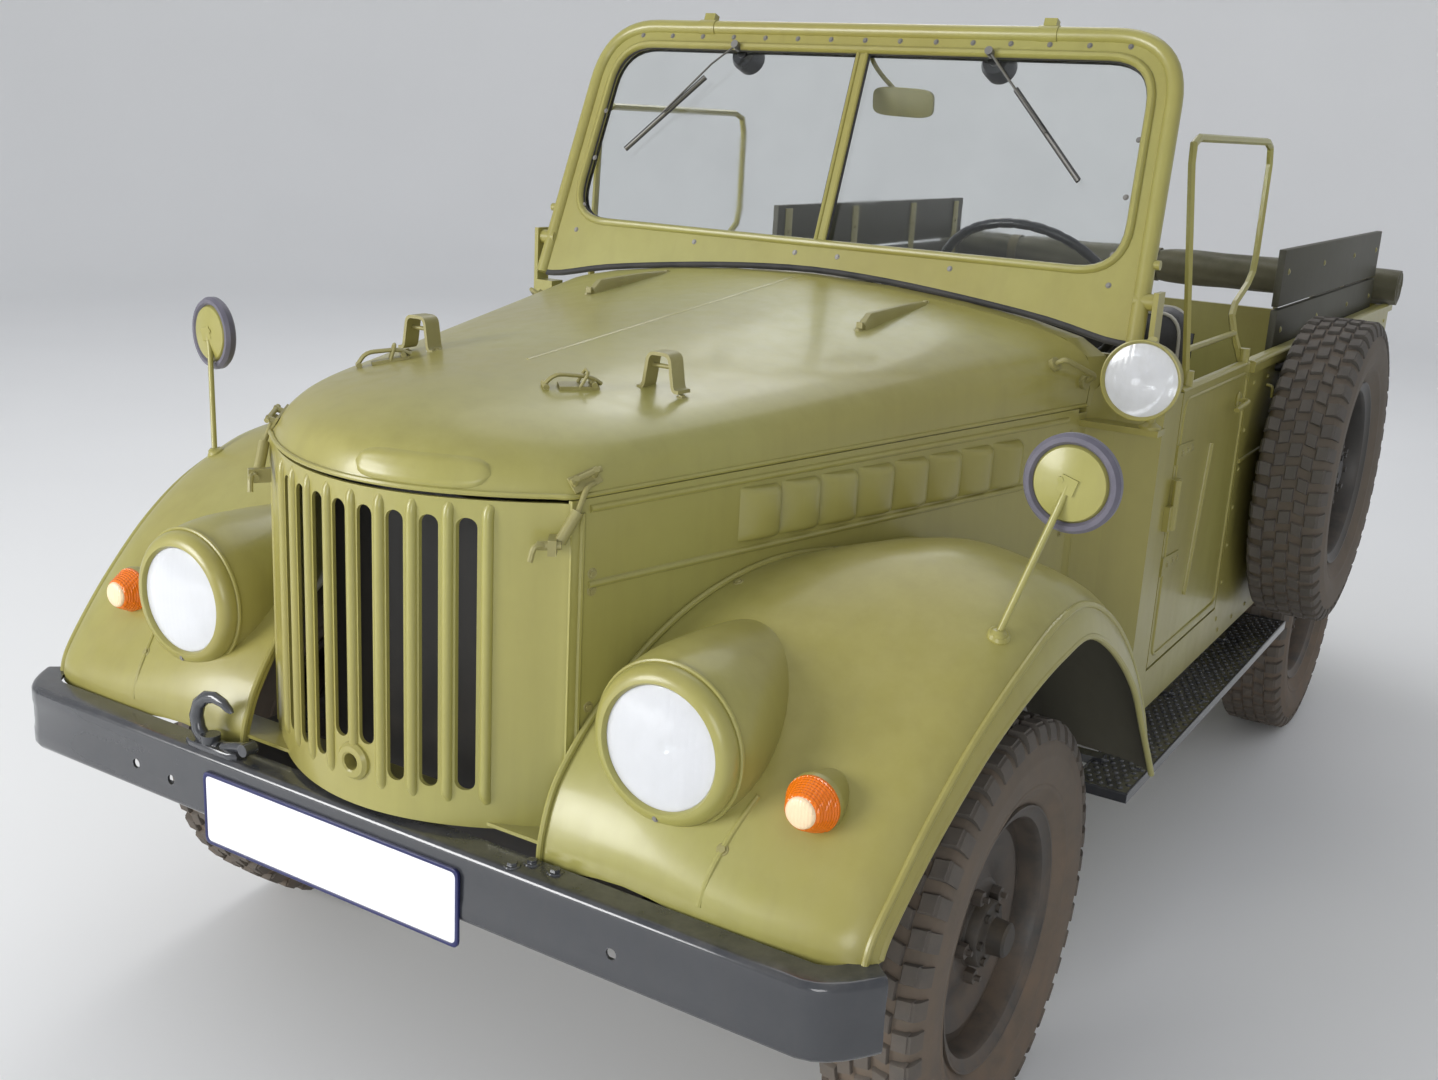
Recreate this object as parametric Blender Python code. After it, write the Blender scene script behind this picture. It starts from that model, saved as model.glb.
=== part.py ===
"""Light two-door army 4x4 car, soft top folded away, windscreen up and side curtains off.

Metres, +Z up. The car's nose points along -Y and its left side along +X. Every place below is
counted from the front axle's line on the floor, and the whole car hangs on one empty that puts
the middle of its length at the origin.
"""
import math

import bmesh
import bpy
from mathutils import Matrix, Vector

# Main sizes of the car
WHEELBASE = 2.30
FRONT_OVERHANG = 0.66
REAR_OVERHANG = 0.89
TRACK = 1.44
SEAT_GAP = 0.0003  # between pieces that touch
RUN_GAP = 0.006  # round pieces that move
OVERRUN = 0.02  # how far a cutter or a root runs past a face
FLAT_ANGLE = math.radians(0.3)  # faces that bend less than this are one plane

# Wheels
TYRE_RADIUS = 0.37
TYRE_WIDTH = 0.175
RIM_RADIUS = 0.2025
RIM_WIDTH = 0.104
RIM_WALL = 0.0065
FLANGE_HEIGHT = 0.0205
FLANGE_WIDTH = 0.014
HUB_RADIUS = 0.045
HUB_REACH = 0.08
DISC_WALL = 0.008
DRUM_RADIUS = 0.15
DRUM_DEPTH = 0.075
WHEEL_SIDES = 24
AXLE_HEIGHT = TYRE_RADIUS * math.cos(math.pi / WHEEL_SIDES)
FRONT_AXLE_Y = 0
REAR_AXLE_Y = WHEELBASE

# Half widths that the body, the nose and the fenders follow
BODY_HALF = 0.745
COWL_INSET = 0.125  # of the cowl's front from the body's sides
COWL_HALF = BODY_HALF - COWL_INSET
FENDER_OVERHANG = 0.123  # of a fender's lip beyond the body's side
FENDER_LIP_X = BODY_HALF + FENDER_OVERHANG

# Ladder frame and bumper
RAIL_X = 0.36
RAIL_WIDTH = 0.05
RAIL_HEIGHT = 0.09
RAIL_BOTTOM = 0.503
RAIL_TOP = RAIL_BOTTOM + RAIL_HEIGHT
HITCH_REACH = 0.10
RAIL_END_Y = WHEELBASE + REAR_OVERHANG - HITCH_REACH
CROSS_WIDTH = 0.05
BUMPER_INSET = 0.022  # of its ends from the fenders' lips
BUMPER_HALF = FENDER_LIP_X - BUMPER_INSET
BUMPER_TOP = 0.605
BUMPER_HEIGHT = 0.112
BUMPER_DEPTH = 0.05
BUMPER_WALL = 0.006
BUMPER_END_DROP = 0.075
BUMPER_END_RUN = 0.086
PLATE_THICKNESS = 0.005
PLATE_LEFT = 0.204
PLATE_RIGHT = -0.326
PLATE_BOTTOM = 0.453
PLATE_TOP = 0.578
HOOK_X = -0.345
HOOK_RADIUS = 0.036
HOOK_THICKNESS = 0.009
HITCH_HALF = 0.03
HITCH_BOTTOM = 0.46
HITCH_HEIGHT = 0.07

# Axles, springs and steering
AXLE_RADIUS = 0.038
AXLE_HALF = 0.52
REAR_AXLE_HALF = 0.626
FRONT_DIFF_X = 0.12
DIFF_RADIUS = 0.10
DIFF_NOSE = 0.13
SPRING_HALF = 0.5
SPRING_WIDTH = 0.05
LEAF_HEIGHT = 0.011
LEAF_COUNT = 4
SPRING_RISE = 0.05
KINGPIN_X = 0.585
KNUCKLE_RADIUS = 0.035
KNUCKLE_HALF = 0.075
LUG_RADIUS = 0.04
LUG_HEIGHT = 0.02
FORK_WALL = 0.016
BACKPLATE_WALL = 0.011
SPINDLE_RADIUS = 0.04
ARM_REACH = 0.16
ARM_INSET = 0.035
ARM_HEIGHT = 0.018
ARM_DROP = 0.068
TIE_ROD_RADIUS = 0.011
TIE_EYE_RADIUS = 0.018

# Engine and driveline
ENGINE_FRONT = -0.28
ENGINE_REAR = 0.42
ENGINE_HALF = 0.20
ENGINE_TOP = 1.0
SUMP_BOTTOM = 0.47
SUMP_FRONT = 0.14
RADIATOR_HALF = 0.235
RADIATOR_Y = -0.44
RADIATOR_THICKNESS = 0.06
RADIATOR_TOP = 1.06
GEARBOX_HALF = 0.09
GEARBOX_LENGTH = 0.38
GEARBOX_BOTTOM = 0.42
TRANSFER_FRONT = 0.95
TRANSFER_LENGTH = 0.25
TRANSFER_BOTTOM = 0.35
TRANSFER_HEIGHT = 0.2
SHAFT_RADIUS = 0.022
EXHAUST_RADIUS = 0.022
EXHAUST_X = -0.26
EXHAUST_Z = 0.455
MUFFLER_RADIUS = 0.045
MUFFLER_FRONT = 1.22
MUFFLER_LENGTH = 0.4

# Sheet metal of the nose
SHEET = 0.006
GRILLE_HALF = 0.30
GRILLE_BOTTOM = 0.618
GRILLE_TOP = 1.104
GRILLE_CORNER_X = 0.22
GRILLE_BOW = 0.07
GRILLE_REAR = -0.53
SLOT_PITCH = 0.05
SLOT_WIDTH = 0.027
SLOT_BOTTOM = 0.672
SLOT_TOP = 1.078
SLOT_COUNT = 8
CENTRE_SLOT_LIFT = 0.045
RIB_RADIUS = 0.0065
CRANK_BOSS_RADIUS = 0.026
CRANK_HOLE_RADIUS = 0.013
CRANK_Z = 0.685
APRON_HALF = 0.60
APRON_DEPTH = 0.13
HOOD_REAR_Y = 0.597
HOOD_REAR_Z = 1.320
HOOD_LAP = 0.005  # of the hood's rear edge over the cowl
HOOD_REAR_HALF = COWL_HALF + HOOD_LAP
HOOD_FRONT_HALF = 0.30
HOOD_FRONT_Y = -0.52
HOOD_SEAM_FRONT_Z = 1.112
HOOD_SEAM_RISE = 0.028
HOOD_NOSE_Y = -0.65
SIDE_TOP_GAP = 0.0034
LOUVRE_COUNT = 8
LOUVRE_PITCH = 0.082
LOUVRE_FRONT = -0.233
LOUVRE_BOTTOM = 1.0
LOUVRE_HEIGHT = 0.085
LOUVRE_PROUD = 0.014
BEAD_RADIUS = 0.005
FENDER_REACH = 0.60
FENDER_CREST = 1.02
LAMP_X = 0.48
LAMP_Z = 0.807
LAMP_RADIUS = 0.115
LAMP_FRONT = -0.575
LAMP_DEPTH = 0.03
LENS_SHARE = 0.76
POD_LENGTH = 0.34
POD_RISE = 0.07
TURN_X = 0.685
TURN_Z = 0.766
TURN_RADIUS = 0.033
TURN_FRONT = -0.545
TURN_LENGTH = 0.04
HOOP_X = 0.245
HOOP_Y = -0.243
HOOP_WIDTH = 0.05
HOOP_HEIGHT = 0.06
REST_X = 0.3
REST_FRONT = 0.297
REST_LENGTH = 0.25
REST_HEIGHT = 0.02

# Tub
BODY_BOTTOM = 0.49
RAIL_LINE = 1.155
SIDE_WALL = 0.012
TUB_WALL = 0.024
COWL_FRONT = 0.58
FLARE_Y = 0.70
DECK_FRONT = 0.603
DECK_REAR = 0.65
FIREWALL_Y = 0.612
DOOR_FRONT = 0.818
DOOR_LENGTH = 0.52
DOOR_BOTTOM = 0.586
DOOR_WALL = 0.024
BODY_INSET = 0.04  # of the body's end from the hitch's
BODY_REAR = WHEELBASE + REAR_OVERHANG - BODY_INSET
SILL_HEIGHT = 0.09
FLOOR_BOTTOM = 0.60
FLOOR_WALL = 0.012
WHEELBOX_HALF = 0.44
WHEELBOX_TOP = 0.80
WHEELBOX_X = 0.50
ARCH_RADIUS = 0.425
ARCH_LIP = 0.012
COAMING = 0.01
CORNER_WIDTH = 0.145  # of the body's corner posts beside the tailgate
TAIL_HALF = BODY_HALF - CORNER_WIDTH
TAIL_WALL = 0.025
TAIL_BOTTOM = 0.62
TAIL_TOP = 1.10
BARREL_RADIUS = 0.008
BARREL_LENGTH = 0.05
STEP_TOP = 0.425
STEP_HEIGHT = 0.02
STEP_WIDTH = 0.11
STEP_REACH = 0.065  # of a running board beyond the body's side
STEP_OUTER = BODY_HALF + STEP_REACH
STEP_INNER = STEP_OUTER - STEP_WIDTH
STEP_FRONT = 0.55
STEP_TYRE_GAP = 0.05
STEP_LENGTH = REAR_AXLE_Y - TYRE_RADIUS - STEP_TYRE_GAP - STEP_FRONT

# Windscreen
SCREEN_AXIS_Y = 0.661
SCREEN_AXIS_Z = 1.335
SCREEN_LEAN = math.radians(19.3)
SCREEN_HEIGHT = 0.5
SCREEN_DROP = 0.082
SCREEN_INSET = 0.055  # of the windscreen's foot from the body's sides
SCREEN_TAPER = 0.035
SCREEN_FOOT_HALF = BODY_HALF - SCREEN_INSET
SCREEN_HEAD_HALF = SCREEN_FOOT_HALF - SCREEN_TAPER
SCREEN_CORNER = 0.13
SCREEN_TUBE = 0.016
SCREEN_PLATE = 0.014
GLASS_MARGIN = 0.045
GLASS_FOOT = 0.05
GLASS_WALL = 0.005
GLASS_CORNER = 0.09
GLASS_LAP = 0.006
DIVIDER_HALF = 0.011
SCREEN_BRACKET_X = 0.392

# Inside, and what is carried outside
WHEEL_HUB_INSET = 0.40  # from the body's side
WHEEL_HUB_X = BODY_HALF - WHEEL_HUB_INSET
WHEEL_HUB_Y = 0.99
WHEEL_HUB_Z = 1.285
COLUMN_SLOPE = math.radians(38)
STEERING_RADIUS = 0.2
STEERING_TUBE = 0.011
COLUMN_RADIUS = 0.02
COLUMN_LENGTH = 0.42
DASH_Y = 0.71
DASH_WALL = 0.015
DASH_BOTTOM = 1.04
DASH_TOP = 1.225
SEAT_INNER = 0.13
SEAT_SIDE_GAP = 0.135  # from the body's outer side
SEAT_WIDTH = BODY_HALF - SEAT_SIDE_GAP - SEAT_INNER
SEAT_FRONT = 0.99
SEAT_DEPTH = 0.42
SEAT_BASE = 0.16
SEAT_PAD = 0.1
SEAT_BACK_TOP = 1.28
SEAT_BACK_WALL = 0.1
BENCH_DEPTH = 0.345
BENCH_SEAT_GAP = 0.19  # from a seat's foot
BENCH_END_GAP = 0.135
BENCH_INNER = BODY_HALF - BENCH_DEPTH
BENCH_FRONT = SEAT_FRONT + SEAT_DEPTH + BENCH_SEAT_GAP
BENCH_REAR = BODY_REAR - BENCH_END_GAP
BENCH_PAD = 0.07
BENCH_BOARD_TOP = 1.386
BENCH_BOARD_WALL = 0.02
BENCH_BOARD_START = 0.10
BENCH_BOARD_FRONT = BENCH_FRONT + BENCH_BOARD_START
ROLL_RADIUS = 0.06
ROLL_OVERHANG = 0.035
ROLL_HALF = BODY_HALF + ROLL_OVERHANG
ROLL_INSET = 0.067  # of its middle from the tailgate
ROLL_Y = BODY_REAR - ROLL_INSET
SPARE_STANDOFF = 0.0275  # of the spare tyre from the body's side
SPARE_X = BODY_HALF + TYRE_WIDTH / 2 + SPARE_STANDOFF
SPARE_LEAD = 0.575  # of the spare wheel before the rear axle
SPARE_Y = REAR_AXLE_Y - SPARE_LEAD
SPARE_Z = 0.87
MIRROR_INSET = 0.003
MIRROR_X = FENDER_LIP_X - MIRROR_INSET
MIRROR_Y = -0.156
MIRROR_Z = 1.167
MIRROR_RADIUS = 0.07
MIRROR_WALL = 0.014
MIRROR_ROD = 0.005
MIRROR_FOOT_INSET = 0.108
MIRROR_FOOT_X = FENDER_LIP_X - MIRROR_FOOT_INSET
MIRROR_FOOT_Y = -0.06
MIRROR_FOOT_Z = 1.0
SEARCH_OFFSET = 0.003
SEARCH_X = BODY_HALF + SEARCH_OFFSET
SEARCH_Y = 0.50
SEARCH_Z = 1.215
SEARCH_RADIUS = 0.072
SEARCH_DEPTH = 0.1
SEARCH_SHELF = 1.115
CURTAIN_TUBE = 0.008
CURTAIN_TOP = 1.63
CURTAIN_X = SCREEN_FOOT_HALF

# Columns: colour, roughness, metallic
FINISHES = {
    "paint": ((0.30, 0.31, 0.10, 1), 0.45, 0.0),
    "black": ((0.025, 0.026, 0.03, 1), 0.4, 0.2),
    "chassis": ((0.04, 0.04, 0.04, 1), 0.6, 0.3),
    "rubber": ((0.04, 0.035, 0.03, 1), 0.85, 0.0),
    "rim": ((0.05, 0.05, 0.05, 1), 0.5, 0.3),
    "metal": ((0.30, 0.30, 0.29, 1), 0.5, 0.8),
    "plate": ((0.9, 0.9, 0.9, 1), 0.5, 0.0),
    "lens": ((0.85, 0.87, 0.88, 1), 0.1, 0.0),
    "amber": ((0.9, 0.25, 0.03, 1), 0.2, 0.0),
    "glass": ((0.75, 0.82, 0.80, 1), 0.05, 0.0),
    "leather": ((0.03, 0.03, 0.03, 1), 0.5, 0.0),
    "canvas": ((0.10, 0.10, 0.06, 1), 0.9, 0.0),
    "board": ((0.10, 0.11, 0.04, 1), 0.55, 0.0),
}


def vec(x, y, z):
    """A point in the car's own places."""
    return Vector((x, y, z))


def add_faces(bm, rings, closed_path=False, closed_ring=True):
    """Joins rings of points by faces and closes the two ends of an open run."""
    made = [[bm.verts.new(point) for point in ring] for ring in rings]
    count = len(made[0])
    spans = len(made) if closed_path else len(made) - 1
    for i in range(spans):
        low, high = made[i], made[(i + 1) % len(made)]
        for j in range(count if closed_ring else count - 1):
            k = (j + 1) % count
            bm.faces.new((low[j], low[k], high[k], high[j]))
    if closed_ring and not closed_path:
        bm.faces.new(list(reversed(made[0])))
        bm.faces.new(made[-1])
    return made


def tidy(bm):
    """Merges doubled points and turns every face outwards."""
    bmesh.ops.remove_doubles(bm, verts=bm.verts, dist=SEAT_GAP / 10)
    bmesh.ops.recalc_face_normals(bm, faces=bm.faces)


def body(build):
    """Runs a function that fills an empty mesh, and gives the mesh tidied."""
    bm = bmesh.new()
    build(bm)
    tidy(bm)
    return bm


def box(low, high):
    """A block between two corners."""
    def build(bm):
        size = [b - a for a, b in zip(low, high)]
        middle = [(a + b) / 2 for a, b in zip(low, high)]
        matrix = Matrix.Translation(middle) @ Matrix.Diagonal((*size, 1))
        bmesh.ops.create_cube(bm, size=1, matrix=matrix)
    return body(build)


def to_axis(axis, along, u, v):
    """A point from its place along X, Y or Z and its two other coordinates in order."""
    return {"X": vec(along, u, v), "Y": vec(u, along, v), "Z": vec(u, v, along)}[axis]


def prism(axis, outline, start, end):
    """An outline run along X, Y or Z."""
    return body(lambda bm: add_faces(
        bm, [[to_axis(axis, a, u, v) for u, v in outline] for a in (start, end)]))


def loft(rings, closed_path=False):
    """A solid through rings of as many points each."""
    return body(lambda bm: add_faces(bm, rings, closed_path))


def turned(profile, centre, axis, sides, phase=0.0, closed=False):
    """A profile of (along, radius) turned about an axis through a centre."""
    axis = Vector(axis).normalized()
    side = axis.orthogonal().normalized() if abs(axis.x) < 1 else vec(0, 0, -1)
    other = axis.cross(side)
    rings = []
    for i in range(sides):
        angle = math.tau * (i + phase) / sides
        out = side * math.cos(angle) + other * math.sin(angle)
        rings.append([Vector(centre) + axis * a + out * r for a, r in profile])
    return body(lambda bm: add_faces(bm, rings, closed_path=True, closed_ring=closed))


def rod(start, end, radius, sides=8):
    """A round bar between two points."""
    length = (Vector(end) - Vector(start)).length
    return turned([(0, 0), (0, radius), (length, radius), (length, 0)],
                  start, Vector(end) - Vector(start), sides)


def rounded(points, reach, steps=3, closed=False):
    """A path with its corners turned into curves that start a reach away from each corner."""
    points = [Vector(p) for p in points]
    result = [] if closed else [points[0]]
    span = range(len(points)) if closed else range(1, len(points) - 1)
    for i in span:
        before, corner, after = points[i - 1], points[i], points[(i + 1) % len(points)]
        start = corner + (before - corner).normalized() * reach
        end = corner + (after - corner).normalized() * reach
        for k in range(steps + 1):
            t = k / steps
            result.append(start * (1 - t) ** 2 + corner * 2 * t * (1 - t) + end * t ** 2)
    return result if closed else result + [points[-1]]


def pipe(path, radius, sides=8, closed=False):
    """A round tube run along a path, solid inside."""
    path = [Vector(p) for p in path]
    count = len(path)
    rings, side = [], None
    for i, point in enumerate(path):
        before = path[i - 1] if i or closed else point
        after = path[(i + 1) % count] if i < count - 1 or closed else point
        run = (after - before).normalized()
        side = run.orthogonal() if side is None else side - run * side.dot(run)
        side = side.normalized()
        other = run.cross(side)
        rings.append([point + (side * math.cos(math.tau * k / sides)
                               + other * math.sin(math.tau * k / sides)) * radius
                      for k in range(sides)])
    return loft(rings, closed_path=closed)


def between(a, b, share):
    """The point at a share of the way between two values or points."""
    return a + (b - a) * share


def smooth(rows, steps):
    """Adds rows between given ones along smooth curves through them."""
    result = []
    last = len(rows) - 1
    for i in range(last):
        rows4 = [rows[max(i - 1, 0)], rows[i], rows[i + 1], rows[min(i + 2, last)]]
        for k in range(steps):
            t = k / steps
            result.append([
                (p1 * 2 + (p2 - p0) * t + (p0 * 2 - p1 * 5 + p2 * 4 - p3) * t ** 2
                 + (p1 * 3 - p0 - p2 * 3 + p3) * t ** 3) / 2
                for p0, p1, p2, p3 in zip(*rows4)])
    return result + [rows[-1]]


def panel(rows, wall):
    """A sheet through a grid of points, given a wall on the side away from its outer face."""
    def build(bm):
        made = [[bm.verts.new(p) for p in row] for row in rows]
        for low, high in zip(made, made[1:]):
            for a, b, c, d in zip(low, low[1:], high[1:], high):
                bm.faces.new((a, b, c, d))
        bmesh.ops.recalc_face_normals(bm, faces=bm.faces)
        middle = sum((v.co for v in bm.verts), Vector()) / len(bm.verts)
        outward = sum((f.normal.dot(f.calc_center_median() - middle) * f.calc_area()
                       for f in bm.faces))
        if outward < 0:
            bmesh.ops.reverse_faces(bm, faces=bm.faces)
        bm.normal_update()
        inner = {v: bm.verts.new(v.co - v.normal * wall) for row in made for v in row}
        for face in list(bm.faces):
            bm.faces.new([inner[v] for v in reversed(face.verts)])
        for edge in [e for e in bm.edges if len(e.link_faces) == 1 and e.verts[0] in inner]:
            a, b = edge.verts
            bm.faces.new((a, b, inner[b], inner[a]))
    return body(build)


def as_object(name, bm):
    """A mesh object in the scene made of a mesh under construction."""
    mesh = bpy.data.meshes.new(name)
    bm.to_mesh(mesh)
    bm.free()
    item = bpy.data.objects.new(name, mesh)
    bpy.context.scene.collection.objects.link(item)
    return item


def joined(forms):
    """Several forms held in one mesh, still as separate bodies."""
    whole = bmesh.new()
    for form in forms:
        mesh = bpy.data.meshes.new("form")
        form.to_mesh(mesh)
        form.free()
        whole.from_mesh(mesh)
        bpy.data.meshes.remove(mesh)
    return whole


def applied(item):
    """Replaces an object's mesh by what its modifiers make of it."""
    graph = bpy.context.evaluated_depsgraph_get()
    result = bpy.data.meshes.new_from_object(item.evaluated_get(graph))
    item.modifiers.clear()
    item.data = result


def flatten(mesh):
    """Joins the faces that lie in one plane."""
    bm = bmesh.new()
    bm.from_mesh(mesh)
    bmesh.ops.dissolve_limit(bm, angle_limit=FLAT_ANGLE, verts=bm.verts, edges=bm.edges)
    bm.to_mesh(mesh)
    bm.free()


def make(name, finish, forms, cuts=(), pivot=(0, 0, 0), crease=35):
    """One named piece: forms united, cutters taken away, origin at its pivot."""
    item = as_object(name, joined(forms))
    if len(forms) > 1:
        union = item.modifiers.new("union", "BOOLEAN")
        union.operation = "UNION"
        union.operand_type = "COLLECTION"
        union.solver = "EXACT"
        union.use_self = True
        applied(item)
    if cuts:
        cutter = as_object(name + "_cutter", joined(cuts))
        cut = item.modifiers.new("cut", "BOOLEAN")
        cut.operation = "DIFFERENCE"
        cut.solver = "EXACT"
        cut.use_self = True
        cut.object = cutter
        applied(item)
        bpy.data.objects.remove(cutter)
    flatten(item.data)
    item.data.transform(Matrix.Translation(-Vector(pivot)))
    item.data.shade_smooth()
    item.data.set_sharp_from_angle(angle=math.radians(crease))
    item.location = pivot
    item.parent = bpy.data.objects["car"]
    colour, roughness, metallic = FINISHES[finish]
    material = bpy.data.materials.new(name + "_finish")
    material.use_nodes = True
    shader = material.node_tree.nodes["Principled BSDF"]
    shader.inputs["Base Color"].default_value = colour
    shader.inputs["Roughness"].default_value = roughness
    shader.inputs["Metallic"].default_value = metallic
    material.diffuse_color = colour
    item.data.materials.clear()
    item.data.materials.append(material)
    return item


def side_name(name, side):
    """A piece's name with the side it is on, +1 for the car's left."""
    return f"{name}_{'left' if side > 0 else 'right'}"


def tyre_profile():
    """Ring section of a tyre as (along, radius), from bead to bead."""
    half = TYRE_WIDTH / 2
    bead = RIM_WIDTH / 2 - 2 * SEAT_GAP
    seat = RIM_RADIUS + 3 * SEAT_GAP
    flange = RIM_RADIUS + FLANGE_HEIGHT + 3 * SEAT_GAP
    lean = FLANGE_WIDTH * 0.55
    wall = TYRE_RADIUS - RIM_RADIUS
    outer = [(bead, seat), (bead + lean, flange + SEAT_GAP), (half, RIM_RADIUS + wall * 0.42),
             (half * 0.88, RIM_RADIUS + wall * 0.86), (half * 0.62, TYRE_RADIUS)]
    return outer + [(-a, r) for a, r in reversed(outer)]


def rim_profile(back_radius, back_depth):
    """Section of a rim with its disc and hub; the back part is a drum or a carrier's stub."""
    half = RIM_WIDTH / 2
    inside = RIM_RADIUS - RIM_WALL
    top = RIM_RADIUS + FLANGE_HEIGHT
    edge = half + FLANGE_WIDTH
    return [
        (HUB_REACH, 0), (HUB_REACH * 0.95, HUB_RADIUS * 0.8), (HUB_REACH * 0.6, HUB_RADIUS * 1.3),
        (half * 0.4, RIM_RADIUS * 0.8), (half * 0.25, inside), (half + RIM_WALL, inside),
        (edge, top - RIM_WALL / 2), (half, RIM_RADIUS),
        (-half, RIM_RADIUS), (-edge, top - RIM_WALL / 2),
        (-half - RIM_WALL, inside), (half * 0.25 - DISC_WALL, inside),
        (half * 0.3 - DISC_WALL, back_radius), (-back_depth, back_radius), (-back_depth, 0)]


def add_wheels():
    """Four road wheels with tyres, and the spare on its carrier."""
    # Columns: name, side, place along the car
    for name, side, y in (("front_left", 1, FRONT_AXLE_Y), ("front_right", -1, FRONT_AXLE_Y),
                          ("rear_left", 1, REAR_AXLE_Y), ("rear_right", -1, REAR_AXLE_Y)):
        hub = vec(side * TRACK / 2, y, AXLE_HEIGHT)
        make("tyre_" + name, "rubber",
             [turned(tyre_profile(), hub, (side, 0, 0), WHEEL_SIDES, 0.5, closed=True)],
             pivot=hub)
        make("rim_" + name, "rim",
             [turned(rim_profile(DRUM_RADIUS, DRUM_DEPTH), hub, (side, 0, 0), WHEEL_SIDES, 0.5)],
             pivot=hub)
    spare = vec(SPARE_X, SPARE_Y, SPARE_Z)
    carrier = SPARE_X - BODY_HALF - SEAT_GAP
    make("tyre_spare", "rubber",
         [turned(tyre_profile(), spare, (1, 0, 0), WHEEL_SIDES, 0.5, closed=True)])
    make("rim_spare", "rim",
         [turned(rim_profile(HUB_RADIUS * 1.3, carrier), spare, (1, 0, 0), WHEEL_SIDES, 0.5)])


def add_frame():
    """Ladder frame with its crossmembers, body mounts and rear towing hitch."""
    front = -FRONT_OVERHANG + PLATE_THICKNESS + BUMPER_WALL + 2 * SEAT_GAP
    forms = []
    for side in (1, -1):
        inner, outer = RAIL_X - RAIL_WIDTH / 2, RAIL_X + RAIL_WIDTH / 2
        x0, x1 = sorted((side * inner, side * outer))
        forms.append(box((x0, front, RAIL_BOTTOM), (x1, RAIL_END_Y, RAIL_TOP)))
        for share in (0.37, 0.62, 0.97):
            y = RAIL_END_Y * share
            forms.append(box((x0, y - CROSS_WIDTH, RAIL_TOP - OVERRUN),
                             (x1, y + CROSS_WIDTH / 2, FLOOR_BOTTOM - SEAT_GAP)))
    for y in (RADIATOR_Y, ENGINE_FRONT + CROSS_WIDTH * 1.5, ENGINE_REAR + GEARBOX_LENGTH * 1.15,
              WHEELBASE * 0.65, WHEELBASE * 0.88, WHEELBASE * 1.2, RAIL_END_Y - CROSS_WIDTH / 2):
        forms.append(box((-RAIL_X, y - CROSS_WIDTH / 2, RAIL_BOTTOM + OVERRUN / 4),
                         (RAIL_X, y + CROSS_WIDTH / 2, RAIL_TOP - OVERRUN / 10)))
    forms.append(box((-HITCH_HALF, RAIL_END_Y - CROSS_WIDTH, HITCH_BOTTOM),
                     (HITCH_HALF, WHEELBASE + REAR_OVERHANG, HITCH_BOTTOM + HITCH_HEIGHT)))
    hole = rod((0, RAIL_END_Y + HITCH_HALF * 2.2, HITCH_BOTTOM - OVERRUN),
               (0, RAIL_END_Y + HITCH_HALF * 2.2, HITCH_BOTTOM + HITCH_HEIGHT + OVERRUN),
               HITCH_HALF * 0.5)
    make("ladder_frame", "chassis", forms, [hole])


def bumper_ring(x, y, turn):
    """Channel section of the bumper, open to the rear, at a place of its path."""
    low, high = BUMPER_TOP - BUMPER_HEIGHT, BUMPER_TOP
    wall, depth = BUMPER_WALL, BUMPER_DEPTH
    bend = BUMPER_WALL * 0.6
    outline = [(depth, low), (bend, low), (0, low + bend), (0, high - bend), (bend, high),
               (depth, high), (depth, high - wall), (wall, high - wall), (wall, low + wall),
               (depth, low + wall)]
    return [vec(x - math.sin(turn) * a, y + math.cos(turn) * a, z) for a, z in outline]


# Bumper's swept end. Columns: shares of the end's run and drop, turn of the section in degrees
BUMPER_END_SHARES = ((1.0, 1.0, 50), (0.78, 0.62, 42), (0.45, 0.22, 25), (0.0, 0.0, 6))


def add_bumper():
    """Front bumper of a channel whose ends sweep back, with its tow hook, and the bare plate."""
    face = -FRONT_OVERHANG + PLATE_THICKNESS + SEAT_GAP
    straight = BUMPER_HALF - BUMPER_END_RUN
    left = [(straight + BUMPER_END_RUN * a, face + BUMPER_END_DROP * b, math.radians(t))
            for a, b, t in reversed(BUMPER_END_SHARES)]
    path = [(-x, y, -t) for x, y, t in reversed(left)] + left
    forms = [loft([bumper_ring(*place) for place in path])]
    pad_y = face + BUMPER_DEPTH * 0.5
    pad = HOOK_RADIUS * 0.35
    top = BUMPER_TOP - BUMPER_WALL / 2
    forms.append(box((HOOK_X - HOOK_RADIUS, pad_y - pad, top),
                     (HOOK_X + HOOK_RADIUS, pad_y + pad, top + BUMPER_WALL * 2)))
    bow = [vec(HOOK_X + HOOK_RADIUS * math.cos(a), pad_y, top + HOOK_RADIUS * (1.1 + math.sin(a)))
           for a in [math.radians(d) for d in (280, 230, 180, 130, 85, 40)]]
    forms.append(pipe(bow, HOOK_THICKNESS, 6))
    holes = [rod((side * straight * share, face - OVERRUN, BUMPER_TOP - BUMPER_HEIGHT * 0.7),
                 (side * straight * share, face + OVERRUN, BUMPER_TOP - BUMPER_HEIGHT * 0.7),
                 BUMPER_WALL, 6) for side in (1, -1) for share in (0.52, 0.62)]
    make("front_bumper", "black", forms, holes)
    make("number_plate", "plate",
         [box((PLATE_RIGHT, -FRONT_OVERHANG, PLATE_BOTTOM),
              (PLATE_LEFT, -FRONT_OVERHANG + PLATE_THICKNESS, PLATE_TOP))])


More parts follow.
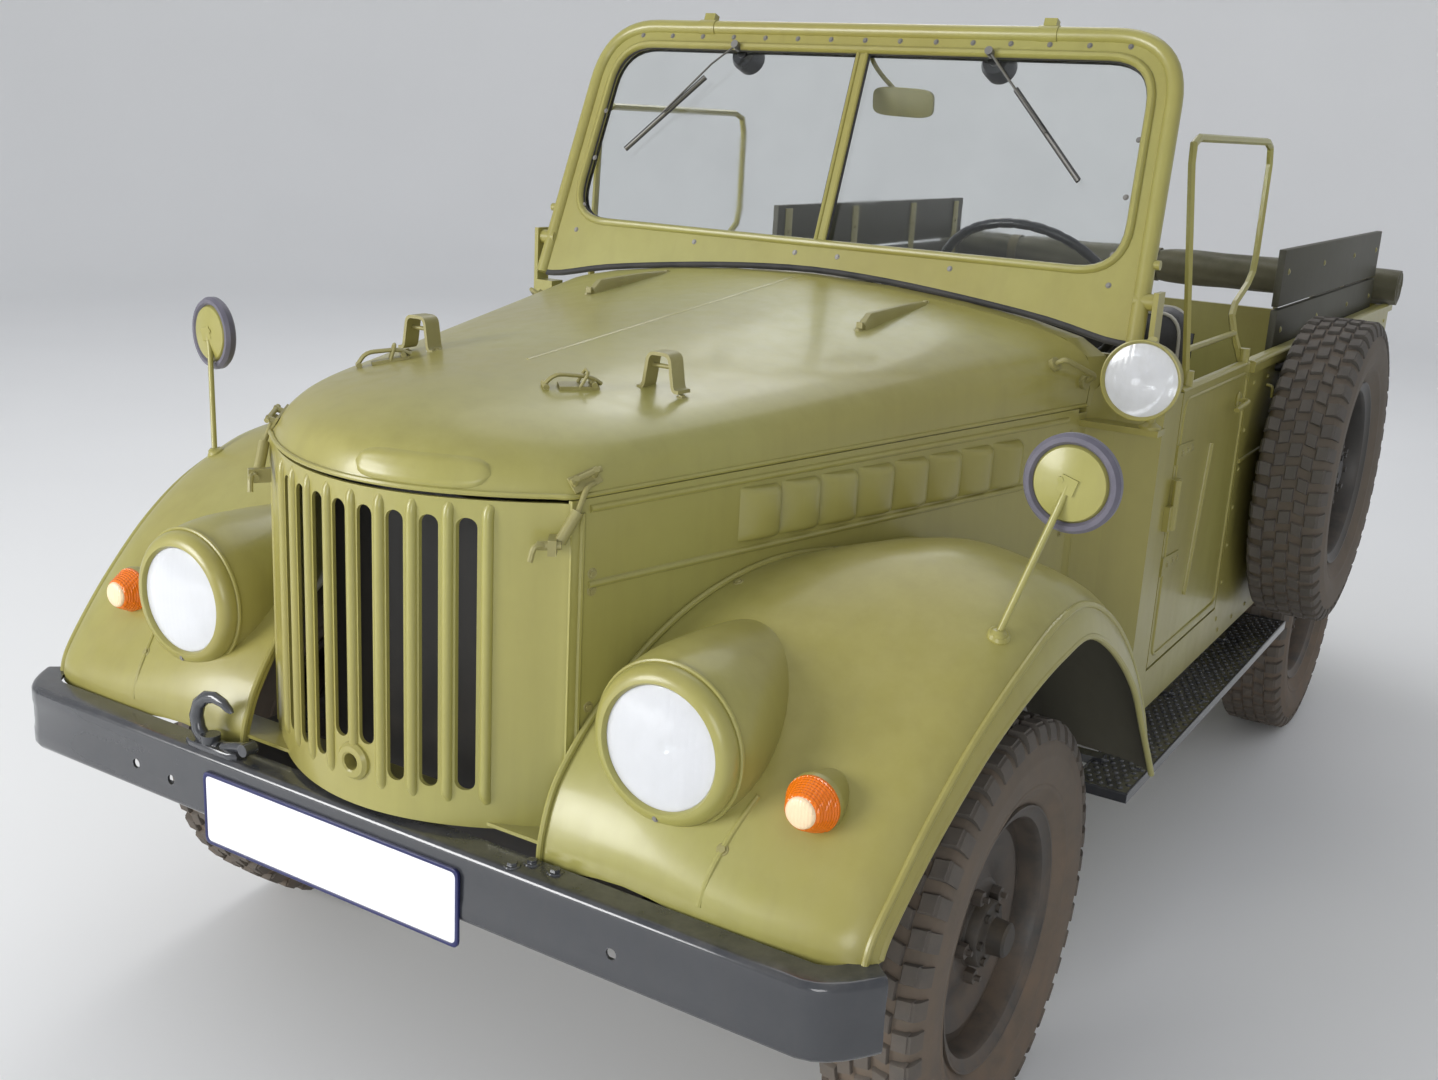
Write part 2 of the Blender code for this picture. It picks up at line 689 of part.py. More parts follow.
def spring_forms(y, side):
    """Leaf spring over an axle: stacked leaves, each shorter than the one above, and hangers."""
    forms = []
    seat = AXLE_HEIGHT + AXLE_RADIUS * 0.7
    x0, x1 = side * RAIL_X - SPRING_WIDTH / 2, side * RAIL_X + SPRING_WIDTH / 2
    def curve(share):
        return SPRING_RISE * share ** 2
    top = [(y + SPRING_HALF * a, seat + LEAF_COUNT * LEAF_HEIGHT + curve(a))
           for a in (1, 0.6, 0.25, -0.25, -0.6, -1)]
    steps = []
    for leaf in range(LEAF_COUNT):
        share, base = 1 - 0.22 * leaf, seat + (LEAF_COUNT - 1 - leaf) * LEAF_HEIGHT
        steps.append((share, base + LEAF_HEIGHT * (0 if leaf == 0 else 1) + curve(share)))
        steps.append((share, base + curve(share)))
    steps = steps[1:]
    foot = [(y - SPRING_HALF * a, z) for a, z in steps]
    foot += [(y + SPRING_HALF * a, z) for a, z in reversed(steps)]
    forms.append(prism("X", top + foot, x0, x1))
    eye_z = seat + (LEAF_COUNT - 0.5) * LEAF_HEIGHT + SPRING_RISE
    for end in (1, -1):
        place = y + end * (SPRING_HALF - LEAF_HEIGHT)
        forms.append(box((x0 + LEAF_HEIGHT, place - LEAF_HEIGHT, eye_z - LEAF_HEIGHT),
                         (x1 - LEAF_HEIGHT, place + LEAF_HEIGHT, RAIL_BOTTOM - SEAT_GAP)))
    return forms


def diff_form(x, y, nose):
    """Differential housing with its nose towards the transfer case."""
    r = DIFF_RADIUS
    return [turned([(-r, 0), (-r, r * 0.3), (-r * 0.7, r * 0.85), (0, r), (r * 0.6, r * 0.8),
                    (DIFF_NOSE, r * 0.42), (DIFF_NOSE, 0)],
                   (x, y, AXLE_HEIGHT), (0, nose, 0), 12)]


def add_axles():
    """Front axle with forked ends, rear axle, both on leaf springs."""
    forms = [rod((-AXLE_HALF, 0, AXLE_HEIGHT), (AXLE_HALF, 0, AXLE_HEIGHT), AXLE_RADIUS, 10)]
    forms += diff_form(FRONT_DIFF_X, 0, 1)
    for side in (1, -1):
        forms += spring_forms(FRONT_AXLE_Y, side)
        web = sorted((side * (AXLE_HALF - FORK_WALL / 2), side * (AXLE_HALF + FORK_WALL / 2)))
        height = KNUCKLE_HALF + LUG_HEIGHT
        forms.append(box((web[0], -AXLE_RADIUS * 0.8, AXLE_HEIGHT - height),
                         (web[1], AXLE_RADIUS * 0.8, AXLE_HEIGHT + height)))
        for up in (1, -1):
            z0, z1 = sorted((AXLE_HEIGHT + up * (KNUCKLE_HALF + SEAT_GAP),
                             AXLE_HEIGHT + up * height))
            reach = sorted((side * AXLE_HALF, side * KINGPIN_X))
            forms.append(box((reach[0], -AXLE_RADIUS * 0.8, z0),
                             (reach[1], AXLE_RADIUS * 0.8, z1)))
            forms.append(rod((side * KINGPIN_X, 0, z0), (side * KINGPIN_X, 0, z1),
                             LUG_RADIUS, 12))
    make("front_axle", "chassis", forms)
    drum = TRACK / 2 - DRUM_DEPTH - SEAT_GAP
    forms = [rod((-drum, REAR_AXLE_Y, AXLE_HEIGHT), (drum, REAR_AXLE_Y, AXLE_HEIGHT),
                 AXLE_RADIUS, 10)]
    forms += diff_form(0, REAR_AXLE_Y, -1)
    for side in (1, -1):
        forms += spring_forms(REAR_AXLE_Y, side)
        plate = side * (drum - RUN_GAP)
        forms.append(rod((plate - side * BACKPLATE_WALL, REAR_AXLE_Y, AXLE_HEIGHT),
                         (plate, REAR_AXLE_Y, AXLE_HEIGHT), DRUM_RADIUS, 16))
    make("rear_axle", "chassis", forms)


def add_knuckles():
    """Steering knuckles on their kingpins, with backing plates and arms, and the tie rod."""
    spindle_end = TRACK / 2 - DRUM_DEPTH - SEAT_GAP
    arm_top = AXLE_HEIGHT - KNUCKLE_HALF + LUG_HEIGHT
    for side in (1, -1):
        pin = vec(side * KINGPIN_X, 0, AXLE_HEIGHT)
        up = vec(0, 0, KNUCKLE_HALF)
        plate = side * (spindle_end - RUN_GAP)
        eye = (side * (KINGPIN_X - ARM_INSET), ARM_REACH)
        x0, x1 = sorted((side * (KINGPIN_X - LEAF_HEIGHT), side * (KINGPIN_X + LEAF_HEIGHT)))
        arm = prism("Z", [(x0, eye[1] * 0.15), (x1, eye[1] * 0.15),
                          (eye[0] + TIE_EYE_RADIUS, eye[1]), (eye[0], eye[1] + TIE_EYE_RADIUS),
                          (eye[0] - TIE_EYE_RADIUS, eye[1])],
                    arm_top - ARM_HEIGHT, arm_top)
        make(side_name("knuckle", side), "chassis", [
            rod(pin - up, pin + up, KNUCKLE_RADIUS, 10),
            rod(pin, (side * spindle_end, 0, AXLE_HEIGHT), SPINDLE_RADIUS, 8),
            rod((plate - side * BACKPLATE_WALL, 0, AXLE_HEIGHT), (plate, 0, AXLE_HEIGHT),
                DRUM_RADIUS, 16),
            arm], pivot=pin)
    rod_z = arm_top + SEAT_GAP + TIE_ROD_RADIUS
    end = vec(KINGPIN_X - ARM_INSET, ARM_REACH, rod_z)
    other = vec(-end.x, end.y, rod_z)
    eye = vec(0, 0, TIE_ROD_RADIUS)
    make("tie_rod", "chassis", [
        rod(other, end, TIE_ROD_RADIUS * 0.8), rod(end - eye, end + eye, TIE_EYE_RADIUS, 10),
        rod(other - eye, other + eye, TIE_EYE_RADIUS, 10)],
        pivot=vec(0, ARM_REACH, rod_z))


def add_driveline():
    """Engine as one block, radiator, gearbox with transfer case and shafts, exhaust."""
    seat = RAIL_TOP - OVERRUN / 10 + SEAT_GAP
    outline = [(ENGINE_FRONT, seat), (SUMP_FRONT, seat), (SUMP_FRONT, SUMP_BOTTOM),
               (ENGINE_REAR, SUMP_BOTTOM), (ENGINE_REAR, ENGINE_TOP), (ENGINE_FRONT, ENGINE_TOP)]
    make("engine_block", "metal", [prism("X", outline, -ENGINE_HALF, ENGINE_HALF)])
    make("radiator", "black", [box(
        (-RADIATOR_HALF, RADIATOR_Y - RADIATOR_THICKNESS / 2, seat),
        (RADIATOR_HALF, RADIATOR_Y + RADIATOR_THICKNESS / 2, RADIATOR_TOP))])
    start = ENGINE_REAR + SEAT_GAP
    top = FLOOR_BOTTOM - RUN_GAP
    shaft_z = TRANSFER_BOTTOM + TRANSFER_HEIGHT * 0.4
    case_rear = TRANSFER_FRONT + TRANSFER_LENGTH
    nose = DIFF_NOSE + SHAFT_RADIUS * 0.12
    front = vec(FRONT_DIFF_X, nose, AXLE_HEIGHT)
    rear = vec(0, REAR_AXLE_Y - nose, AXLE_HEIGHT)
    make("transmission", "chassis", [
        prism("X", [(start, GEARBOX_BOTTOM), (start + GEARBOX_LENGTH, GEARBOX_BOTTOM + OVERRUN),
                    (start + GEARBOX_LENGTH, top - OVERRUN * 3), (start, top)],
              -GEARBOX_HALF, GEARBOX_HALF),
        rod((0, start + GEARBOX_LENGTH - OVERRUN, shaft_z + OVERRUN * 1.5),
            (0, TRANSFER_FRONT + OVERRUN, shaft_z + OVERRUN * 1.5), SHAFT_RADIUS * 1.3),
        box((-GEARBOX_HALF, TRANSFER_FRONT, TRANSFER_BOTTOM),
            (FRONT_DIFF_X + GEARBOX_HALF, case_rear, TRANSFER_BOTTOM + TRANSFER_HEIGHT)),
        rod(front, (FRONT_DIFF_X, TRANSFER_FRONT + OVERRUN, shaft_z), SHAFT_RADIUS),
        rod((0, case_rear - OVERRUN, shaft_z), rear, SHAFT_RADIUS)])
    muffler_end = MUFFLER_FRONT + MUFFLER_LENGTH
    path = rounded([
        vec(-ENGINE_HALF - SEAT_GAP, ENGINE_REAR * 0.6, RAIL_TOP + RAIL_HEIGHT * 0.4),
        vec(EXHAUST_X, ENGINE_REAR * 0.6, RAIL_TOP + RAIL_HEIGHT * 0.4),
        vec(EXHAUST_X, ENGINE_REAR * 0.9, EXHAUST_Z), vec(EXHAUST_X, muffler_end, EXHAUST_Z),
        vec(EXHAUST_X, muffler_end + MUFFLER_RADIUS * 3.4, EXHAUST_Z),
        vec(EXHAUST_X * 2.4, muffler_end + MUFFLER_RADIUS * 4.2, EXHAUST_Z)],
        EXHAUST_RADIUS * 1.4, 2)
    radius = MUFFLER_RADIUS
    make("exhaust", "metal", [
        pipe(path, EXHAUST_RADIUS, 6),
        turned([(0, 0), (0, radius * 0.8), (radius * 0.3, radius),
                (MUFFLER_LENGTH - radius * 0.3, radius), (MUFFLER_LENGTH, radius * 0.8),
                (MUFFLER_LENGTH, 0)],
               (EXHAUST_X, MUFFLER_FRONT, EXHAUST_Z), (0, 1, 0), 12)])


def grille_y(x):
    """Front face of the grille shell at a distance from its middle."""
    return HOOD_NOSE_Y + GRILLE_BOW * (x / GRILLE_CORNER_X) ** 2


def add_grille():
    """Bowed grille shell with eight round-ended slots between pressed ribs, and its apron."""
    corner_y = grille_y(GRILLE_CORNER_X)
    bend = rounded([vec(GRILLE_CORNER_X, corner_y, 0),
                    vec(GRILLE_HALF, corner_y + SHEET, 0), vec(GRILLE_HALF, GRILLE_REAR, 0)],
                   (GRILLE_HALF - GRILLE_CORNER_X) * 0.45, 3)
    front = [vec(GRILLE_CORNER_X * k / 5, grille_y(GRILLE_CORNER_X * k / 5), 0)
             for k in range(5)]
    half = front + bend
    plan = [vec(-p.x, p.y, 0) for p in reversed(half[1:])] + half
    rows = [[p + vec(0, 0, z) for p in plan] for z in (GRILLE_BOTTOM - SHEET / 2, GRILLE_TOP)]
    forms = [panel(rows, SHEET)]
    cuts = []
    for k in range(SLOT_COUNT):
        x = (k - (SLOT_COUNT - 1) / 2) * SLOT_PITCH
        low = SLOT_BOTTOM + (CENTRE_SLOT_LIFT if abs(x) < SLOT_PITCH else 0)
        r = SLOT_WIDTH / 2
        outline = [(x + r * math.cos(a), z + r * math.sin(a))
                   for z, start in ((low + r, 180), (SLOT_TOP - r, 0))
                   for a in [math.radians(start + 60 * i) for i in range(4)]]
        cuts.append(prism("Y", outline, grille_y(x) - OVERRUN, grille_y(x) + OVERRUN))
    for k in range(SLOT_COUNT + 1):
        x = (k - SLOT_COUNT / 2) * SLOT_PITCH
        low = SLOT_BOTTOM - SLOT_WIDTH / 2 + (CENTRE_SLOT_LIFT if k == SLOT_COUNT // 2 else 0)
        forms.append(rod((x, grille_y(x) + RIB_RADIUS * 0.3, low),
                         (x, grille_y(x) + RIB_RADIUS * 0.3, SLOT_TOP + SLOT_WIDTH / 2),
                         RIB_RADIUS, 6))
    boss = grille_y(0)
    forms.append(rod((0, boss - RIB_RADIUS, CRANK_Z), (0, boss + SHEET, CRANK_Z),
                     CRANK_BOSS_RADIUS, 6))
    cuts.append(rod((0, boss - OVERRUN, CRANK_Z), (0, boss + OVERRUN, CRANK_Z),
                    CRANK_HOLE_RADIUS, 8))
    forms.append(box((-APRON_HALF, HOOD_NOSE_Y + BUMPER_DEPTH * 1.2, GRILLE_BOTTOM - SHEET),
                     (APRON_HALF, HOOD_NOSE_Y + APRON_DEPTH, GRILLE_BOTTOM)))
    make("grille_shell", "paint", forms, cuts)


def seam_x(y):
    """Half width of the nose at the hood's lower edge."""
    share = (y - HOOD_FRONT_Y) / (HOOD_REAR_Y - HOOD_FRONT_Y)
    return between(HOOD_FRONT_HALF, HOOD_REAR_HALF, share)


def seam_z(y):
    """Height of the hood's lower edge."""
    share = (y - HOOD_FRONT_Y) / (HOOD_REAR_Y - HOOD_FRONT_Y)
    return HOOD_SEAM_FRONT_Z + HOOD_SEAM_RISE * max(share, 0)


# Half section of the hood, columns: share of the half width, share of the crown's height, share
# of the half width at the nose
CROWN_SHARES = ((1.0, 0.0, 1.0), (1.005, 0.28, 0.97), (0.985, 0.5, 0.91), (0.91, 0.66, 0.81),
                (0.76, 0.78, 0.67), (0.54, 0.885, 0.46), (0.28, 0.965, 0.24), (0.0, 1.0, 0.0))
# Hood from rear to nose, columns: shares of its length from the rear at the middle line and at
# the edge, share of the crown's fall from the rear to the lip
HOOD_ROW_SHARES = ((0.0, 0.0, 0.0), (0.24, 0.22, 0.14), (0.48, 0.45, 0.275), (0.68, 0.64, 0.39),
                   (0.835, 0.78, 0.475), (0.92, 0.84, 0.59), (0.975, 0.87, 0.76), (1.0, 0.89, 1.0))


def hood_row(centre_share, edge_share, fall_share):
    """One cross-section of the hood, from its right edge over the top to its left edge."""
    length = HOOD_REAR_Y - HOOD_NOSE_Y
    centre_y = HOOD_REAR_Y - length * centre_share
    edge_y = HOOD_REAR_Y - length * edge_share
    top = between(HOOD_REAR_Z, HOOD_SEAM_FRONT_Z, fall_share)
    low = seam_z(edge_y)
    half = []
    for across, up, nose in CROWN_SHARES:
        across = between(across, nose, fall_share ** 2)
        y = between(centre_y, edge_y, min(across, 1) ** 2)
        half.append(vec(seam_x(edge_y) * across, y, between(low, top, up)))
    return [vec(-p.x, p.y, p.z) for p in half] + list(reversed(half[:-1]))


def add_hood():
    """Alligator hood, hinged at its rear edge, with strap hoops and rests for the windscreen."""
    rows = [hood_row(*shares) for shares in HOOD_ROW_SHARES]
    forms = [panel(rows, SHEET)]
    for side in (1, -1):
        x0, x1 = side * HOOP_X - HOOP_WIDTH / 2, side * HOOP_X + HOOP_WIDTH / 2
        base = hood_top(side * HOOP_X, HOOP_Y) - SHEET
        loops = []
        for inset in (0, SHEET * 0.7):
            a, b, top = x0 + inset, x1 - inset, base + HOOP_HEIGHT - inset
            loops.append([(p.x, p.z) for p in rounded(
                [vec(a, 0, base), vec(a + SHEET, 0, top), vec(b - SHEET, 0, top), vec(b, 0, base)],
                SHEET * 1.6 - inset, 2)])
        forms.append(prism("Y", loops[0] + list(reversed(loops[1])),
                           HOOP_Y - SHEET * 2, HOOP_Y + SHEET * 2))
        rest_end = REST_FRONT + REST_LENGTH
        front_z = hood_top(side * REST_X, REST_FRONT)
        rear_z = hood_top(side * REST_X, rest_end)
        forms.append(prism("X", [(REST_FRONT, front_z - SHEET), (rest_end, rear_z - SHEET),
                                 (rest_end, rear_z + REST_HEIGHT * 0.4),
                                 (REST_FRONT + REST_HEIGHT, front_z + REST_HEIGHT),
                                 (REST_FRONT, front_z + REST_HEIGHT * 0.6)],
                           side * REST_X - SHEET, side * REST_X + SHEET))
    make("hood", "paint", forms, pivot=vec(0, DECK_FRONT, HOOD_REAR_Z + RUN_GAP))


def hood_top(x, y):
    """Height of the hood's outer face at a place."""
    length = HOOD_REAR_Y - HOOD_NOSE_Y
    share = (HOOD_REAR_Y - y) / length
    rows = HOOD_ROW_SHARES
    for (a, _, fall_a), (b, _, fall_b) in zip(rows, rows[1:]):
        if a <= share <= b:
            top = between(HOOD_REAR_Z, HOOD_SEAM_FRONT_Z,
                          between(fall_a, fall_b, (share - a) / (b - a)))
    across = abs(x) / seam_x(y)
    for (a, up_a, _), (b, up_b, _) in zip(CROWN_SHARES[2:], CROWN_SHARES[3:]):
        if b <= across <= a:
            return between(seam_z(y), top, between(up_b, up_a, (across - b) / (a - b)))
    return top


# Lower edge of the hood side from front to rear, columns: share of its length, share of its
# height below the hood
SIDE_FOOT_SHARES = ((0.0, 0.97), (0.05, 0.72), (0.16, 0.44), (0.27, 0.33), (0.66, 0.335),
                    (0.78, 0.46), (0.9, 0.74), (1.0, 1.0))


# A louvre across, columns: share of the pitch, share of how far it stands proud
LOUVRE_SECTION_SHARES = ((0.04, 0.0), (0.3, 0.75), (0.6, 1.0), (0.85, 1.0), (0.9, 0.0))
# A louvre upwards, columns: share of its height, share of its full form
LOUVRE_RISE_SHARES = ((0.0, 0.2), (0.12, 1.0), (0.88, 1.0), (1.0, 0.2))


def side_point(y, z, out=0.0):
    """A point on a left hood side, out from its outer face."""
    return vec(seam_x(y) + out, y, z)


def add_hood_sides():
    """Panels under the hood with a row of louvres pressed outwards between two beads."""
    front = GRILLE_REAR + SEAT_GAP
    rear = COWL_FRONT - SEAT_GAP
    length, height = rear - front, GRILLE_TOP - GRILLE_BOTTOM
    for side in (1, -1):
        flip = Matrix.Diagonal((side, 1, 1, 1))
        lower = [(front + length * a, GRILLE_TOP - height * b) for a, b in SIDE_FOOT_SHARES]
        upper = [(y, seam_z(y) - SIDE_TOP_GAP) for y in (rear, front)]
        outline = lower + upper
        forms = [loft([[side_point(y, z, -SHEET) for y, z in outline],
                       [side_point(y, z) for y, z in outline]])]
        forms.append(pipe([side_point(y, LOUVRE_BOTTOM - BEAD_RADIUS * 2)
                           for y in (front + OVERRUN, rear - OVERRUN)], BEAD_RADIUS, 6))
        for k in range(LOUVRE_COUNT):
            y0 = LOUVRE_FRONT + LOUVRE_PITCH * k
            rings = []
            for up, grow in LOUVRE_RISE_SHARES:
                z = LOUVRE_BOTTOM + LOUVRE_HEIGHT * up
                rings.append([side_point(y0 + LOUVRE_PITCH * a, z, LOUVRE_PROUD * b * grow)
                              for a, b in LOUVRE_SECTION_SHARES]
                             + [side_point(y0 + LOUVRE_PITCH * a, z, -SHEET / 2)
                                for a in (LOUVRE_SECTION_SHARES[-1][0], LOUVRE_SECTION_SHARES[0][0])])
            forms.append(loft(rings))
        for form in forms:
            form.transform(flip)
            bmesh.ops.recalc_face_normals(form, faces=form.faces)
        make(side_name("hood_side", side), "paint", forms, crease=25)


# Fender from its front foot over the wheel to its rear foot. Columns: places along (shares of
# the reach) and heights (shares of the crest) of the inner edge, the crest and the outer lip
FENDER_ROW_SHARES = (
    (-0.99, 0.622, -1.0, 0.622, -1.02, 0.622), (-0.93, 0.69, -0.93, 0.664, -0.975, 0.655),
    (-0.80, 0.777, -0.81, 0.750, -0.85, 0.728), (-0.633, 0.865, -0.64, 0.848, -0.65, 0.795),
    (-0.45, 0.921, -0.45, 0.926, -0.43, 0.850), (-0.23, 0.946, -0.21, 0.990, -0.19, 0.879),
    (0.06, 0.934, 0.03, 0.988, 0.02, 0.882), (0.30, 0.922, 0.285, 0.930, 0.25, 0.820),
    (0.52, 0.835, 0.515, 0.826, 0.48, 0.722), (0.74, 0.69, 0.71, 0.700, 0.65, 0.610),
    (0.915, 0.51, 0.86, 0.510, 0.82, 0.492))
FENDER_CREST_X_SHARE = 0.77
FENDER_SHOULDER_X_SHARE = 0.925


def fender_row(row, gap):
    """One section of a left fender from the hood side to its outer lip."""
    inner_y, inner_z, crest_y, crest_z, lip_y, lip_z = [
        s * (FENDER_REACH if i % 2 == 0 else FENDER_CREST) for i, s in enumerate(row)]
    inner = vec(max(seam_x(inner_y), GRILLE_HALF) + gap, inner_y, inner_z)
    crest = vec(FENDER_LIP_X * FENDER_CREST_X_SHARE, crest_y, crest_z)
    lip = vec(FENDER_LIP_X, lip_y, lip_z)
    shoulder = vec(FENDER_LIP_X * FENDER_SHOULDER_X_SHARE, between(crest.y, lip.y, 0.2),
                   between(crest.z, lip.z, 0.25))
    crease = vec(FENDER_LIP_X * 0.985, between(crest.y, lip.y, 0.62), between(crest.z, lip.z, 0.6))
    swell = between(inner, crest, 0.45) + vec(0, 0, abs(crest.x - inner.x) * 0.06)
    return [inner, swell, crest, shoulder, crease, lip]


def add_fenders():
    """Front fenders with headlamp pods and lamp seats, headlamps and turn lamps."""
    for side in (1, -1):
        rows = smooth([fender_row(r, SEAT_GAP * 2) for r in FENDER_ROW_SHARES], 2)
        rows = [[vec(p.x * side, p.y, p.z) for p in row] for row in rows]
        pod_front = LAMP_FRONT + LAMP_DEPTH + SEAT_GAP
        pod = turned([(0, 0), (0, LAMP_RADIUS), (POD_LENGTH * 0.15, LAMP_RADIUS * 1.02),
                      (POD_LENGTH * 0.4, LAMP_RADIUS * 0.92), (POD_LENGTH * 0.7, LAMP_RADIUS * 0.66),
                      (POD_LENGTH, LAMP_RADIUS * 0.12), (POD_LENGTH, 0)],
                     (side * LAMP_X, pod_front, LAMP_Z), (0, 1, 0), 16)
        for vertex in pod.verts:
            vertex.co.z += POD_RISE * max((vertex.co.y - pod_front) / POD_LENGTH, 0) ** 1.5
        turn = vec(side * TURN_X, TURN_FRONT + TURN_LENGTH + SEAT_GAP, TURN_Z)
        boss = rod(turn, turn + vec(0, TURN_LENGTH * 1.6, 0), TURN_RADIUS * 0.9, 12)
        foot = vec(side * MIRROR_FOOT_X, MIRROR_FOOT_Y, MIRROR_FOOT_Z)
        mirror_boss = rod(foot - vec(0, 0, OVERRUN * 2), foot, MIRROR_ROD * 2.6, 8)
        sheet = panel(rows, SHEET)
        for vertex in sheet.verts:
            edge = max(seam_x(vertex.co.y), GRILLE_HALF) + SEAT_GAP
            vertex.co.x = side * max(side * vertex.co.x, edge)
        cuts = [rod((side * LAMP_X, LAMP_FRONT - OVERRUN, LAMP_Z),
                    (side * LAMP_X, pod_front + SEAT_GAP / 3, LAMP_Z), LAMP_RADIUS + RUN_GAP / 3, 16),
                rod(turn - vec(0, TURN_LENGTH * 2, 0), turn + vec(0, SEAT_GAP / 3, 0),
                    TURN_RADIUS + RUN_GAP / 3, 14)]
        make(side_name("front_fender", side), "paint", [sheet, pod, boss, mirror_boss], cuts)
        r, d = LAMP_RADIUS, LAMP_DEPTH
        lens = r * LENS_SHARE
        make(side_name("headlamp", side), "lens", [turned(
            [(d, 0), (d, r), (d * 0.45, r * 0.99), (d * 0.2, r * 0.9), (d * 0.28, lens),
             (d * 0.1, lens * 0.7), (0, 0)],
            (side * LAMP_X, LAMP_FRONT, LAMP_Z), (0, 1, 0), 16)])
        r, d = TURN_RADIUS, TURN_LENGTH
        make(side_name("turn_lamp", side), "amber", [turned(
            [(d, 0), (d, r), (d * 0.3, r * 0.92), (d * 0.1, r * 0.6), (0, 0)],
            (side * TURN_X, TURN_FRONT, TURN_Z), (0, 1, 0), 14)])


def deck_section(y, half, grow):
    """Arched section of the cowl's deck, in line with the hood's rear edge."""
    low, top = seam_z(HOOD_REAR_Y), HOOD_REAR_Z
    points = [vec(half * a, y, between(low, top, b) + grow) for a, b, _ in CROWN_SHARES]
    return [vec(-p.x, p.y, p.z) for p in points] + list(reversed(points[:-1]))


def add_cowl():
    """Cowl that flares from the hood to the doors, with its deck, firewall and screen ears."""
    low = seam_z(HOOD_REAR_Y)
    forms = [panel([deck_section(DECK_FRONT, HOOD_REAR_HALF, 0),
                    deck_section(DECK_REAR, HOOD_REAR_HALF + OVERRUN, 0)], SIDE_WALL)]
    # Columns: place along, half width, height of the upper edge
    plan = ((COWL_FRONT, COWL_HALF, low - 2 * RUN_GAP),
            (DECK_FRONT, HOOD_REAR_HALF, low - 2 * RUN_GAP),
            (DECK_FRONT + RUN_GAP, HOOD_REAR_HALF + SEAT_GAP, low + OVERRUN),
            (DECK_REAR, HOOD_REAR_HALF + OVERRUN * 2.2, low + OVERRUN * 3.6),
            (FLARE_Y, BODY_HALF, RAIL_LINE + COAMING),
            (DOOR_FRONT - RUN_GAP, BODY_HALF, RAIL_LINE))
    for side in (1, -1):
        rows = [[vec(side * x, y, between(BODY_BOTTOM, top, share)) for y, x, top in plan]
                for share in (0, 1)]
        forms.append(panel(rows, SIDE_WALL))
        forms.append(box(
            [min(side * (SCREEN_FOOT_HALF - OVERRUN), side * (SCREEN_FOOT_HALF + OVERRUN * 1.6)),
             SCREEN_AXIS_Y - OVERRUN, RAIL_LINE],
            [max(side * (SCREEN_FOOT_HALF - OVERRUN), side * (SCREEN_FOOT_HALF + OVERRUN * 1.6)),
             SCREEN_AXIS_Y + OVERRUN, SCREEN_AXIS_Z - SCREEN_DROP - COAMING * 1.5]))
        ear0 = side * (SCREEN_FOOT_HALF + SCREEN_TUBE + RUN_GAP + SEAT_GAP)
        ear1 = side * (SCREEN_FOOT_HALF + OVERRUN * 1.6)
        forms.append(box(
            [min(ear0, ear1), SCREEN_AXIS_Y - OVERRUN, RAIL_LINE + COAMING],
            [max(ear0, ear1), SCREEN_AXIS_Y + OVERRUN, SCREEN_AXIS_Z + OVERRUN]))
        barrel = door_barrel(side, 0.52, 0)
        forms += barrel
    low_deck = deck_section(FIREWALL_Y, HOOD_REAR_HALF - SIDE_WALL / 2, -SIDE_WALL / 2)
    outline = [(p.x, p.z) for p in low_deck]
    outline += [(COWL_HALF - SIDE_WALL / 4, FLOOR_BOTTOM), (-COWL_HALF + SIDE_WALL / 4,
                                                           FLOOR_BOTTOM)]
    forms.append(prism("Y", outline, FIREWALL_Y, FIREWALL_Y + SHEET))
    shelf = vec(SEARCH_X, SEARCH_Y + SEARCH_DEPTH * 0.5, SEARCH_SHELF)
    forms.append(box((COWL_HALF - SIDE_WALL / 2, COWL_FRONT + SHEET, shelf.z - SHEET * 2),
                     (shelf.x + OVERRUN, COWL_FRONT + OVERRUN * 2.5, shelf.z)))
    make("cowl", "paint", forms)


def door_barrel(side, share, lift):
    """Hinge barrel of a door with its tab; the body's lies under the door's."""
    x = side * (BODY_HALF + BARREL_RADIUS + RUN_GAP / 2)
    y = DOOR_FRONT - RUN_GAP / 2
    z = between(DOOR_BOTTOM, RAIL_LINE, share) + lift * (BARREL_LENGTH + SEAT_GAP)
    forms = [rod((x, y, z), (x, y, z + BARREL_LENGTH), BARREL_RADIUS)]
    inner = x - side * (BARREL_RADIUS + RUN_GAP * 1.2) if lift else x - side * BARREL_RADIUS * 2.2
    x0, x1 = sorted((inner, x))
    tab = BARREL_RADIUS * 3.5
    y0, y1 = (y, y + tab) if lift else (y - tab, y)
    forms.append(box((x0, y0, z), (x1, y1, z + BARREL_LENGTH)))
    return forms


def arc(centre, radius, start, end, steps):
    """Points of an arc in a flat outline, its angles in degrees."""
    angles = [math.radians(between(start, end, k / steps)) for k in range(steps + 1)]
    return [(centre[0] + radius * math.cos(a), centre[1] + radius * math.sin(a)) for a in angles]


